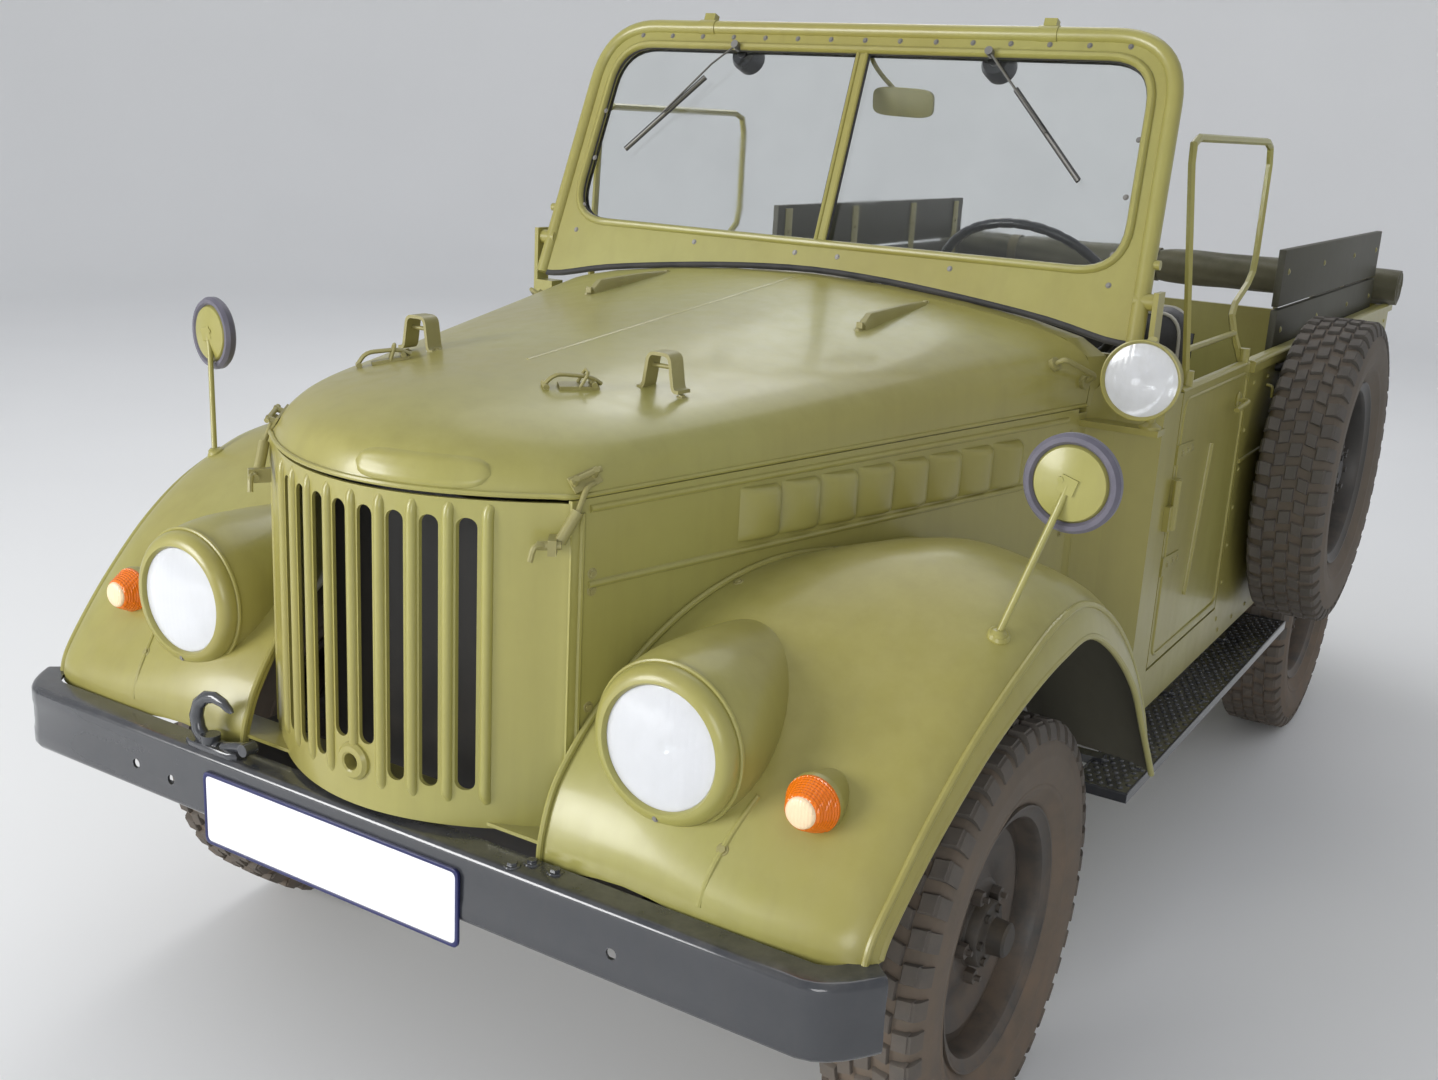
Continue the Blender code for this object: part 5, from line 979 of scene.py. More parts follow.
class Workshop:
    """Makes pieces, finishes and repeats, and keeps count of them."""

    def __init__(self) -> None:
        """Makers of finishes and repeats, and the counts so far."""
        self.groups = Groups()
        self.repeats = Repeats()
        self.materials: dict[str, bpy.types.Material] = {}
        self.counts: dict[str, int] = {}

    def finish(self, name: str) -> bpy.types.Material:
        """A finish's material, made once.

        Args:
            name: the finish's name.

        Returns:
            The material.
        """
        if name not in self.materials:
            self.materials[name] = FINISHES[name].material(self.groups)
        return self.materials[name]

    def dress(self, node: str, finish: str, sharp: float = 38.0) -> None:
        """Gives a carried-over solid its finish and smooth shading.

        Args:
            node: the solid's node.
            finish: the finish's name.
            sharp: angle of sharp edges in degrees.
        """
        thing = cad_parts[node]
        thing.data.materials.clear()
        thing.data.materials.append(self.finish(finish))
        shaded(thing.data, sharp)

    def piece(self, name: str, body: str, finishes: list[str], form: Form | None = None,
              meshes: list[bpy.types.Mesh] | None = None, bevel: float = 0.0,
              sharp: float = 38.0, stands_for: tuple[str, ...] = ()) -> bpy.types.Object:
        """A finished piece of the object.

        Args:
            name: the piece's name.
            body: the body that it moves with.
            finishes: names of its finishes, in the order of the form's slots.
            form: its written mesh.
            meshes: meshes that repeats made, which keep their own material.
            bevel: width of the bevel on its sharp edges.
            sharp: angle in degrees above which an edge stays sharp.
            stands_for: solids that it replaces.

        Returns:
            The piece.
        """
        mesh = form.mesh(name) if form else bpy.data.meshes.new(name)
        for finish in finishes:
            mesh.materials.append(self.finish(finish))
        thing = placed(name, mesh)
        if bevel:
            modifier = thing.modifiers.new("Bevel", "BEVEL")
            modifier.width, modifier.segments = bevel, 2
            modifier.limit_method, modifier.angle_limit = "ANGLE", math.radians(sharp)
            self.settle(thing)
        if meshes:
            self._join(thing, meshes)
        shaded(thing.data, sharp)
        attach(thing, body)
        if stands_for:
            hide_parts(*stands_for)
        self.counts[name] = sum(len(p.vertices) - 2 for p in thing.data.polygons)
        return thing

    def settle(self, thing: bpy.types.Object) -> None:
        """Turns an object's modifiers into plain mesh.

        Args:
            thing: the object, changed in place.
        """
        graph = bpy.context.evaluated_depsgraph_get()
        graph.update()
        thing.data = bpy.data.meshes.new_from_object(thing.evaluated_get(graph), depsgraph=graph)
        thing.modifiers.clear()

    def _join(self, thing: bpy.types.Object, meshes: list[bpy.types.Mesh]) -> None:
        """Adds ready meshes to an object's mesh, with their materials.

        Args:
            thing: the object, changed in place.
            meshes: the meshes to add.
        """
        bm = bmesh.new()
        bm.from_mesh(thing.data)
        for mesh in meshes:
            slots, own = [], [m for m in mesh.materials if m]
            for material in mesh.materials:
                material = material or own[-1]
                if material.name not in [m.name for m in thing.data.materials]:
                    thing.data.materials.append(material)
                slots.append([m.name for m in thing.data.materials].index(material.name))
            start = len(bm.faces)
            bm.from_mesh(mesh)
            bm.faces.ensure_lookup_table()
            for face in bm.faces[start:]:
                face.material_index = slots[face.material_index] if slots else 0
        bm.to_mesh(thing.data)
        bm.free()

    def copies(self, tree: bpy.types.NodeTree, form: Form, finish: str,
               **values: object) -> bpy.types.Mesh:
        """A form repeated by a tree.

        Args:
            tree: the tree that repeats it.
            form: the form to repeat, made about the origin.
            finish: the copies' finish.
            values: the tree's other inputs.

        Returns:
            The mesh of all copies.
        """
        source = placed("source", form.mesh("source"))
        return run_tree(source, tree, Finish=self.finish(finish), **values)

    def bolts(self, places: list[tuple[Point, Vector]], radius: float, height: float,
              finish: str, sides: int = 6) -> bpy.types.Mesh:
        """Bolt or rivet heads at places.

        Args:
            places: points and directions that the heads face.
            radius: a head's radius.
            height: a head's height.
            finish: the heads' finish.
            sides: corners of a head.

        Returns:
            The mesh of all heads.
        """
        mesh = bpy.data.meshes.new("places")
        mesh.from_pydata([p[:] for p, _ in places], [], [])
        facing = mesh.attributes.new("facing", "FLOAT_VECTOR", "POINT")
        for item, (_, direction) in zip(facing.data, places):
            item.vector = direction
        source = placed("places", mesh)
        return run_tree(source, self.repeats.bolts, Finish=self.finish(finish), Radius=radius,
                        Height=height, Sides=sides)

    def carved(self, form: Form, cutters: list[Form]) -> bpy.types.Mesh:
        """A form with others cut out of it, one after another.

        Args:
            form: what is cut.
            cutters: closed forms to take away.

        Returns:
            The cut mesh.
        """
        thing = placed("carved", form.mesh("carved"))
        tools = []
        for cutter in cutters:
            tool = placed("cutter", cutter.mesh("cutter"))
            modifier = thing.modifiers.new("Cut", "BOOLEAN")
            modifier.operation, modifier.solver, modifier.object = "DIFFERENCE", "EXACT", tool
            tools.append(tool)
        self.settle(thing)
        mesh = thing.data
        for item in [thing] + tools:
            bpy.data.objects.remove(item)
        return mesh

    def moved(self, mesh: bpy.types.Mesh, place: Point,
              turn: Matrix | None = None) -> bpy.types.Mesh:
        """A mesh turned about the origin and taken to a place.

        Args:
            mesh: the mesh, changed in place.
            place: where its origin goes.
            turn: turn before the move.

        Returns:
            The same mesh.
        """
        matrix = turn.to_4x4() if turn else Matrix.Identity(4)
        mesh.transform(Matrix.Translation(place) @ matrix)
        if matrix.determinant() < 0:
            mesh.flip_normals()
        return mesh


@dataclass(frozen=True)
class Studio:
    """Camera at the photograph's angle, soft lamps, and a pale dish for floor and backdrop."""

    place: tuple[float, float, float] = (1.50947, -3.38751, 1.62505)
    azimuth: float = math.radians(31.487)
    elevation: float = math.radians(15.693)
    roll: float = math.radians(3.094)
    focus: float = 1512.14  # pixels of the photograph
    photo_width: float = 1438  # pixels
    sensor: float = 36.0
    dish_radius: float = 13.0
    dish_bend: float = 3.0
    dish_height: float = 7.0
    dish_sides: int = 96
    world_strength: float = 0.55
    # Columns: name, place, size, power, turned towards
    LAMPS = (("key", (-3.6, -6.8, 2.4), 3.0, 320.0, (0, -0.9, 0.8)),
             ("front", (3.0, -7.0, 2.0), 2.6, 85.0, (0.3, -0.9, 0.8)),
             ("top", (-1.2, 2.2, 6.0), 5.0, 75.0, (0, 0, 0.6)),
             ("rear", (-3.2, 5.5, 5.6), 3.0, 60.0, (0, 0.8, 0.8)))

    def make(self) -> None:
        """Builds camera, lamps, world, floor and backdrop."""
        self._camera()
        self._lamps()
        self._dish()
        bpy.context.scene.view_settings.view_transform = "Standard"

    def _camera(self) -> None:
        """Camera fitted to the photograph."""
        data = bpy.data.cameras.new("camera")
        data.sensor_width, data.clip_end = self.sensor, 200.0
        data.lens = self.focus * self.sensor / self.photo_width
        camera = placed("camera", data)
        a, e = self.azimuth, self.elevation
        back = Vector((math.sin(a) * math.cos(e), -math.cos(a) * math.cos(e), math.sin(e)))
        right = Axis.UP.value.cross(back).normalized()
        up = back.cross(right)
        c, s = math.cos(self.roll), math.sin(self.roll)
        turn = Matrix((right * c + up * s, up * c - right * s, back)).transposed()
        camera.matrix_world = Matrix.Translation(self.place) @ turn.to_4x4()
        bpy.context.scene.camera = camera

    def _lamps(self) -> None:
        """Area lamps and a pale world."""
        for name, place, size, power, aim in self.LAMPS:
            data = bpy.data.lights.new(name, "AREA")
            data.shape, data.size, data.energy = "DISK", size, power
            lamp = placed(name, data)
            lamp.location = place
            lamp.rotation_euler = (Vector(aim) - Vector(place)).to_track_quat("-Z", "Y").to_euler()
        world = bpy.data.worlds.new("studio")
        world.use_nodes = True
        sky = world.node_tree.nodes["Background"].inputs
        sky["Color"].default_value = (0.9, 0.93, 1, 1)
        sky["Strength"].default_value = self.world_strength
        bpy.context.scene.world = world

    def _dish(self) -> None:
        """Floor that curves up into a backdrop all round."""
        bend, flat = self.dish_bend, self.dish_radius - self.dish_bend
        profile = [(0.0, flat)] + [(bend - bend * math.cos(t), flat + bend * math.sin(t))
                                   for t in [math.radians(10 * k) for k in range(1, 10)]]
        profile.append((self.dish_height, self.dish_radius))
        mesh = bpy.data.meshes.new("dish")
        bm = bmesh.new()
        rings = [[bm.verts.new((r * math.cos(a), r * math.sin(a), z))
                  for a in circle(self.dish_sides)] for z, r in profile]
        bm.faces.new(rings[0])
        for low, high in zip(rings, rings[1:]):
            for k in range(self.dish_sides):
                bm.faces.new((low[k], low[k - 1], high[k - 1], high[k]))
        bm.normal_update()
        bm.to_mesh(mesh)
        bm.free()
        mesh.polygons.foreach_set("use_smooth", [True] * len(mesh.polygons))
        material = bpy.data.materials.new("studio_floor")
        material.use_nodes = True
        g = Graph(material.node_tree)
        shader = material.node_tree.nodes["Principled BSDF"]
        where = g.add("ShaderNodeTexCoord").outputs["Object"]
        tone = g.blend(g.noise(where, 0.8, 2.0), (0.86, 0.86, 0.85, 1), (0.9, 0.9, 0.89, 1))
        g.tree.links.new(tone, shader.inputs["Base Color"])
        shader.inputs["Roughness"].default_value = 0.75
        mesh.materials.append(material)
        placed("studio_dish", mesh)


@dataclass(frozen=True)
class WheelSizes:
    """Sizes of a wheel in metres, about its own middle, along the axle and from it."""

    radius: float = 0.3664
    half: float = 0.0875
    tread_half: float = 0.066
    tread_depth: float = 0.0085
    rim: float = 0.2025
    rim_half: float = 0.052
    pitches: int = 44


class Wheels:
    """Four road wheels and the spare, with block tread, ribbed walls and dished rims."""

    # Columns: name, body, centre, side that the disc faces
    PLACES = (("front_left", "wheel_front_left", (0.72, 0.0, AXLE_Z), 1),
              ("front_right", "wheel_front_right", (-0.72, 0.0, AXLE_Z), -1),
              ("rear_left", "wheel_rear_left", (0.72, WHEELBASE, AXLE_Z), 1),
              ("rear_right", "wheel_rear_right", (-0.72, WHEELBASE, AXLE_Z), -1),
              ("spare", "body", (0.86, 1.725, 0.87), 1))
    # Columns: middle along the axle, width, share of a pitch long, phase, tilt in degrees
    BLOCKS = ((0.0, 0.026, 0.62, 0.0, 8), (0.029, 0.024, 0.58, 0.5, -14),
              (-0.029, 0.024, 0.58, 0.5, 14), (0.057, 0.026, 0.60, 0.0, 6),
              (-0.057, 0.026, 0.60, 0.0, -6))

    def __init__(self, sizes: WheelSizes = WheelSizes()) -> None:
        """Wheels of the given sizes."""
        self.sizes = sizes

    def make(self, shop: Workshop) -> None:
        """Builds a tyre and a rim at each place.

        Args:
            shop: makes and counts the pieces.
        """
        for name, body, centre, side in self.PLACES:
            turn = Matrix.Diagonal((side, 1, 1))
            place = at(*centre)
            blocks = [shop.moved(m, place, turn) for m in self._tread(shop)]
            tyre = self._tyre(place, side)
            shop.piece(f"tyre_{name}_dressed", body, ["tyre_side"], tyre, meshes=blocks,
                       sharp=42, stands_for=(f"tyre_{name}",))
            metal = [shop.moved(m, place, turn) for m in self._fasteners(shop)]
            shop.piece(f"rim_{name}_dressed", body, ["rim_grey", "chassis_black"],
                       self._rim(place, side, name == "spare"), meshes=metal, sharp=34,
                       stands_for=(f"rim_{name}",))

    def _tyre(self, centre: Point, side: int) -> Form:
        """Casing with ribbed side walls.

        Args:
            centre: the wheel's middle.
            side: 1 for left, -1 for right.

        Returns:
            The casing.
        """
        s = self.sizes
        crown = s.radius - s.tread_depth
        outer = [(s.rim_half - 0.001, s.rim + 0.0008), (s.rim_half + 0.009, s.rim + 0.023),
                 (0.067, s.rim + 0.033), (0.0755, s.rim + 0.047), (0.0775, s.rim + 0.049),
                 (0.0795, s.rim + 0.055), (0.0782, s.rim + 0.058), (0.0825, s.rim + 0.07),
                 (0.0855, s.rim + 0.086), (0.0845, s.rim + 0.100), (0.0850, s.rim + 0.104),
                 (0.0838, s.rim + 0.108), (0.0815, s.rim + 0.122), (0.077, s.rim + 0.136),
                 (0.071, crown - 0.010), (s.tread_half - 0.004, crown - 0.003), (0.03, crown),
                 (0.0, crown + 0.0006)]
        profile = outer + [(-a, r) for a, r in reversed(outer[:-1])]
        return Form().lathe(profile, centre, Axis.LEFT.value * side, 120)

    def _tread(self, shop: Workshop) -> list[bpy.types.Mesh]:
        """Blocks of the tread and the lugs of its shoulders.

        Args:
            shop: makes and counts the pieces.

        Returns:
            Meshes about the wheel's own axle.
        """
        s, out = self.sizes, []
        pitch = math.tau * s.radius / s.pitches
        for middle, width, share, phase, tilt in self.BLOCKS:
            form = Form()
            a, b, slant = width / 2, pitch * share / 2, math.tan(math.radians(tilt)) * width / 2
            top, low = s.radius - 0.0003 - 0.0016 * (middle / 0.057) ** 2, s.radius - 0.014
            rings = []
            for z, shrink in ((low, 1.0), (top - 0.002, 0.95), (top, 0.86)):
                rings.append([Vector((x * shrink, y * shrink + x / a * slant, z - s.radius))
                              for x, y in ((-a, -b), (a, -b), (a, b), (-a, b))])
            form.loft(rings)
            out.append(shop.copies(shop.repeats.ring, form, "tyre_tread", Count=s.pitches,
                                   Radius=s.radius, Offset=middle, Phase=phase))
        for side in (1, -1):
            form = Form()
            b = pitch * 0.28
            rings = []
            for x, z in ((0.064, -0.003), (0.0735, -0.0065), (0.0785, -0.016), (0.0825, -0.032)):
                rings.append([Vector((side * x, y, z)) for y in (-b, b)]
                             + [Vector((side * (x - 0.010), y, z - 0.008)) for y in (b, -b)])
            form.loft(rings)
            out.append(shop.copies(shop.repeats.ring, form, "tyre_tread", Count=s.pitches,
                                   Radius=s.radius, Offset=0.0, Phase=0.0))
        return out

    def _rim(self, centre: Point, side: int, spare: bool) -> Form:
        """Rim barrel with its rolled edges, dished disc and hub.

        Args:
            centre: the wheel's middle.
            side: 1 for left, -1 for right.
            spare: whether it is the spare, held by its carrier's boss.

        Returns:
            The rim.
        """
        s, axis = self.sizes, Axis.LEFT.value * side
        inside, top, h = s.rim - 0.0065, s.rim + 0.0195, s.rim_half
        form = Form()
        profile = [(0.016, 0.052), (0.020, 0.058), (0.021, 0.088), (0.013, 0.098),
                   (0.005, 0.122), (0.008, 0.142), (0.0165, 0.160), (0.019, 0.172),
                   (0.014, inside - 0.012), (0.013, inside), (h - 0.004, inside),
                   (h + 0.004, inside + 0.004), (h + 0.009, top - 0.008), (h + 0.0135, top - 0.004),
                   (h + 0.0135, top - 0.001), (h + 0.008, top), (h + 0.003, top - 0.006),
                   (h, s.rim + 0.001), (h - 0.004, s.rim), (-h + 0.004, s.rim), (-h, s.rim + 0.001),
                   (-h - 0.003, top - 0.006), (-h - 0.008, top), (-h - 0.0135, top - 0.001),
                   (-h - 0.0135, top - 0.004), (-h - 0.009, top - 0.008),
                   (-h - 0.004, inside + 0.004), (-h + 0.004, inside), (0.003, inside),
                   (0.001, inside - 0.014), (0.006, 0.160), (-0.002, 0.142), (-0.005, 0.122),
                   (0.003, 0.098), (0.010, 0.088), (0.010, 0.052)]
        form.lathe(profile, centre, axis, 96)
        form.slot = 1
        if not spare:
            form.lathe([(0.079, 0.0), (0.079, 0.024), (0.075, 0.029), (0.050, 0.031),
                        (0.046, 0.036), (0.044, 0.053), (0.040, 0.056), (0.024, 0.057),
                        (0.016, 0.064), (-0.02, 0.066), (-0.02, 0.0)], centre, axis, 64)
            form.lathe([(-0.028, 0.05), (-0.020, 0.142), (-0.026, 0.148), (-0.0745, 0.149),
                        (-0.0745, 0.05)], centre, axis, 64)
        else:
            form.lathe([(0.045, 0.0), (0.045, 0.030), (0.022, 0.034), (0.018, 0.060),
                        (-0.112, 0.060), (-0.112, 0.0)], centre, axis, 48)
        return form

    def _fasteners(self, shop: Workshop) -> list[bpy.types.Mesh]:
        """Wheel nuts on their studs and the hub's flange bolts.

        Args:
            shop: makes and counts the pieces.

        Returns:
            Meshes about the wheel's own axle.
        """
        nut = Form().lathe([(0, 0.0), (0, 0.0135), (0.004, 0.0138), (0.016, 0.0128),
                            (0.017, 0.008), (0.017, 0.0055), (0.026, 0.005), (0.027, 0.0)],
                           Vector((0, 0, 0)), Axis.LEFT.value, 6)
        bolt = Form().lathe([(0, 0.0), (0, 0.0075), (0.006, 0.0072), (0.007, 0.0)],
                            Vector((0, 0, 0)), Axis.LEFT.value, 6)
        nuts = shop.copies(shop.repeats.ring, nut, "rim_grey", Count=5, Radius=0.074,
                           Offset=0.020, Phase=0.25)
        bolts = shop.copies(shop.repeats.ring, bolt, "chassis_black", Count=6, Radius=0.0445,
                            Offset=0.0445, Phase=0.5)
        return [nuts, bolts]


class Surface:
    """Rays against a made mesh, by which fittings are seated on it."""

    def __init__(self, mesh: bpy.types.Mesh) -> None:
        """A ray tree of a mesh."""
        self.tree = BVHTree.FromPolygons([v.co.copy() for v in mesh.vertices],
                                         [tuple(p.vertices) for p in mesh.polygons])

    def hit(self, start: Point, direction: Vector) -> tuple[Point, Vector]:
        """Place and outward normal of the first face that a ray meets."""
        place, normal, _, _ = self.tree.ray_cast(start, direction.normalized())
        return place, normal if normal.dot(direction) < 0 else -normal

    def below(self, x: float, y: float) -> tuple[Point, Vector]:
        """Place and normal of the top face, x and y given from the front axle."""
        return self.hit(at(x, y, 3), -Axis.UP.value)

    def seat(self, normal: Vector, along: Vector) -> Matrix:
        """Frame on a face: Z along its normal, Y near a wanted direction."""
        side = along.cross(normal).normalized()
        return Matrix((side, normal.cross(side), normal)).transposed()


def refined(rows: list[Ring], along: int, across: int) -> list[Ring]:
    """Grid of points with smooth curves through its rows and columns."""
    rows = [spline(row, across) for row in rows]
    return [list(row) for row in zip(*[spline(list(column), along) for column in zip(*rows)])]


@dataclass(frozen=True)
class NoseSizes:
    """Sizes of hood and grille in metres, from the front axle."""

    rear_y: float = 0.597
    nose_y: float = -0.65
    front_y: float = -0.52
    rear_z: float = 1.320
    seam_z: float = 1.112
    seam_rise: float = 0.028
    rear_half: float = 0.625
    front_half: float = 0.30
    wall: float = 0.006
    grille_low: float = 0.618
    grille_top: float = 1.104
    grille_rear: float = -0.53
    bow: float = 0.07
    corner_x: float = 0.22
    slot_pitch: float = 0.05
    slot_width: float = 0.027
    slot_low: float = 0.672
    slot_top: float = 1.078


class Nose:
    """Hood, hood sides, grille and their fittings."""

    # Columns: share of the half width, share of the crown, share of the half width at the nose
    CROWN = ((1.0, 0.0, 1.0), (1.005, 0.28, 0.97), (0.985, 0.5, 0.91), (0.91, 0.66, 0.81),
             (0.76, 0.78, 0.67), (0.54, 0.885, 0.46), (0.28, 0.965, 0.24), (0.0, 1.0, 0.0))
    # Columns: shares of the length at the middle line and the edge, share of the crown's fall
    ROWS = ((0.0, 0.0, 0.0), (0.24, 0.22, 0.14), (0.48, 0.45, 0.275), (0.68, 0.64, 0.39),
            (0.835, 0.78, 0.475), (0.92, 0.84, 0.59), (0.975, 0.87, 0.76), (1.0, 0.89, 1.0))
    # Lower edge of a hood side, columns: share of its length, share of its height
    FOOT = ((0.0, 0.97), (0.05, 0.72), (0.16, 0.44), (0.27, 0.33), (0.66, 0.335), (0.78, 0.46),
            (0.9, 0.74), (1.0, 1.0))

    def __init__(self, sizes: NoseSizes = NoseSizes()) -> None:
        """A nose of the given sizes."""
        self.s = sizes

    def share(self, y: float) -> float:
        """How far back a place is, from the hood's front to its rear."""
        return (y - self.s.front_y) / (self.s.rear_y - self.s.front_y)

    def seam_x(self, y: float) -> float:
        """Half width of the nose at the hood's lower edge."""
        return mix(self.s.front_half, self.s.rear_half, self.share(y))

    def seam_z(self, y: float) -> float:
        """Height of the hood's lower edge."""
        return self.s.seam_z + self.s.seam_rise * max(self.share(y), 0)

    def wall_x(self, y: float) -> float:
        """Half width of the nose beside a fender, never less than the grille's."""
        return max(self.seam_x(y), self.s.front_half)

    def grille_y(self, x: float) -> float:
        """Place along of the bowed grille at a distance from its middle."""
        return self.s.nose_y + self.s.bow * (x / self.s.corner_x) ** 2

    def corner_y(self, x: float) -> float:
        """Place along of the hood's front edge, just ahead of the grille's face."""
        return self.grille_y(min(x, 0.29)) - 0.002

    def section(self, centre: float, edge: float, fall: float) -> Ring:
        """One cross-section of the hood from its right edge to its left one.

        Args:
            centre: share of the length at the middle line.
            edge: share of the length at the edge.
            fall: share of the crown's fall.

        Returns:
            The points, from right to left.
        """
        length = self.s.rear_y - self.s.nose_y
        centre_y, edge_y = self.s.rear_y - length * centre, self.s.rear_y - length * edge
        top, low = mix(self.s.rear_z, self.s.seam_z, fall), self.seam_z(edge_y)
        half = []
        for wide, up, nose in self.CROWN:
            wide = mix(wide, nose, fall ** 2)
            x, y = self.seam_x(edge_y) * wide, mix(centre_y, edge_y, min(wide, 1) ** 2)
            if wide < 0.995:
                y = mix(y, self.corner_y(x), fall ** 5)
            half.append((x, y, mix(low, top, up)))
        return [at(-x, y, z) for x, y, z in half] + [at(*p) for p in reversed(half[:-1])]

    def make(self, shop: Workshop) -> None:
        """Builds hood, sides, grille and what sits on them.

        Args:
            shop: makes and counts the pieces.
        """
        self._hood(shop)
        for name, side in SIDES.items():
            self._side(shop, name, side)
        self._grille(shop)
        self._catches(shop)
        self._radiator(shop)

    def _hood(self, shop: Workshop) -> None:
        """Smooth hood with rolled edge, crease, hoops, rests, clamps and a blank nose pad.

        Args:
            shop: makes and counts the pieces.
        """
        rows = refined([self.section(*row) for row in self.ROWS], 5, 4)
        form = Form().sheet(rows, -self.s.wall)
        ground = Surface(form.mesh("ground"))
        edge = [row[0] for row in rows] + rows[-1][1:-1] + [row[-1] for row in reversed(rows)]
        form.tube([p + Vector((0, 0, 0.002)) for p in edge], 0.0042, 8)
        crease = [ground.below(0, y)[0] for y in [0.575 - 0.024 * k for k in range(36)]]
        form.tube([p - Vector((0, 0, 0.0024)) for p in crease], 0.0042, 8, flat=0.9)
        pad = []
        for u in range(25):
            x, row = 0.004 + 0.194 * u / 24, []
            for v in range(7):
                rise = math.sqrt(max(1 - ((u - 12) / 12) ** 6, 0)) * 0.021 * (v - 3) / 3
                place, normal = ground.hit(at(x, -0.9, 1.138 + rise), Axis.REAR.value)
                row.append(place + normal * (0.0034 if 0 < v < 6 and 0 < u < 24 else 0.0004))
            pad.append(row)
        form.sheet(refined(pad, 1, 2), -0.002)
        form.slot = 1
        for side in (1, -1):
            self._hoop(form, ground, side)
            self._rest(form, ground, side)
            self._clamp(form, ground, side)
            self._corner(form, ground, side)
        places = [ground.below(side * 0.245 + x, -0.243) for side in (1, -1)
                  for x in (-0.034, 0.034)]
        places += [ground.below(side * 0.3, y) for side in (1, -1) for y in (0.285, 0.562)]
        shop.piece("hood_dressed", "hood", ["olive_paint", "olive_edge"], form,
                   [shop.bolts(places, 0.0055, 0.004, "olive_edge")], sharp=40,
                   stands_for=("hood",))

    def _hoop(self, form: Form, ground: Surface, side: int) -> None:
        """Strap hoop that holds the folded windscreen.

        Args:
            form: takes the new faces.
            ground: the made skin that fittings are seated on.
            side: 1 for left, -1 for right.
        """
        x, y = side * 0.245, -0.243
        base = ground.below(x, y)[0].z - 0.003
        path = rounded([at(x - 0.038, y, base + 0.006), at(x - 0.027, y, base + 0.006),
                        at(x - 0.019, y, base + 0.06), at(x + 0.019, y, base + 0.06),
                        at(x + 0.027, y, base + 0.006), at(x + 0.038, y, base + 0.006)], 0.011, 4)
        rings = []
        for i, p in enumerate(path):
            along = (path[min(i + 1, len(path) - 1)] - path[max(i - 1, 0)]).normalized()
            out, wide = Vector((0, 1, 0)).cross(along) * -0.0027, Vector((0, 0.0165, 0))
            rings.append([p + out + wide, p - out + wide, p - out - wide, p + out - wide])
        form.loft(rings)
        form.tube([at(x - 0.021, y, base + 0.04), at(x + 0.021, y, base + 0.04)], 0.0035, 10)

    def _rest(self, form: Form, ground: Surface, side: int) -> None:
        """Pressed wedge on which the folded windscreen rests.

        Args:
            form: takes the new faces.
            ground: the made skin that fittings are seated on.
            side: 1 for left, -1 for right.
        """
        x, rings = side * 0.3, []
        for k in range(11):
            y, t = 0.297 + 0.025 * k, k / 10
            place, normal = ground.below(x, y)
            high = 0.021 * (1 - t) ** 0.8 * min(1, t * 9 + 0.25) + 0.004
            rings.append([place - normal * 0.003 + Vector((w, 0, h * (high + 0.003)))
                          for w, h in ((-0.011, 0), (-0.0085, 0.75), (-0.005, 1), (0.005, 1),
                                       (0.0085, 0.75), (0.011, 0))])
        form.loft(rings)
        form.block(at(x - 0.006, 0.288, rings[0][2].z - 0.016), at(x + 0.006, 0.294,
                                                                  rings[0][2].z + 0.004))

    def _clamp(self, form: Form, ground: Surface, side: int) -> None:
        """Spring clamp near the front of the hood: a plate, a loop and a tongue.

        Args:
            form: takes the new faces.
            ground: the made skin that fittings are seated on.
            side: 1 for left, -1 for right.
        """
        place, normal = ground.below(-0.037 + side * 0.191, -0.335)
        turn = ground.seat(normal, Vector((0.66, 0.75, 0)))

        def put(*points: tuple[float, float, float]) -> Ring:
            """Points given in the plate's own frame."""
            return [place + turn @ Vector(p) for p in points]
        ring = put((-0.013, -0.03, 0.0), (0.013, -0.03, 0.0), (0.013, 0.03, 0.0),
                   (-0.013, 0.03, 0.0))
        form.prism(ring, normal * 0.005)
        form.tube(rounded(put((0, -0.052, 0.004), (0, -0.036, 0.021), (0, 0.018, 0.017),
                              (0, 0.034, 0.006)), 0.014, 4), 0.0062, 10, flat=0.55)
        form.tube(rounded(put((-0.011, 0.0, 0.002), (-0.012, 0.012, 0.026), (0.012, 0.012, 0.026),
                              (0.011, 0.0, 0.002)), 0.008, 4), 0.0026, 8)
        form.tube(put((-0.015, 0.022, 0.008), (0.015, 0.022, 0.008)), 0.0045, 10)
        form.tube(put((-0.012, -0.05, 0.003), (0.012, -0.05, 0.003)), 0.005, 10)

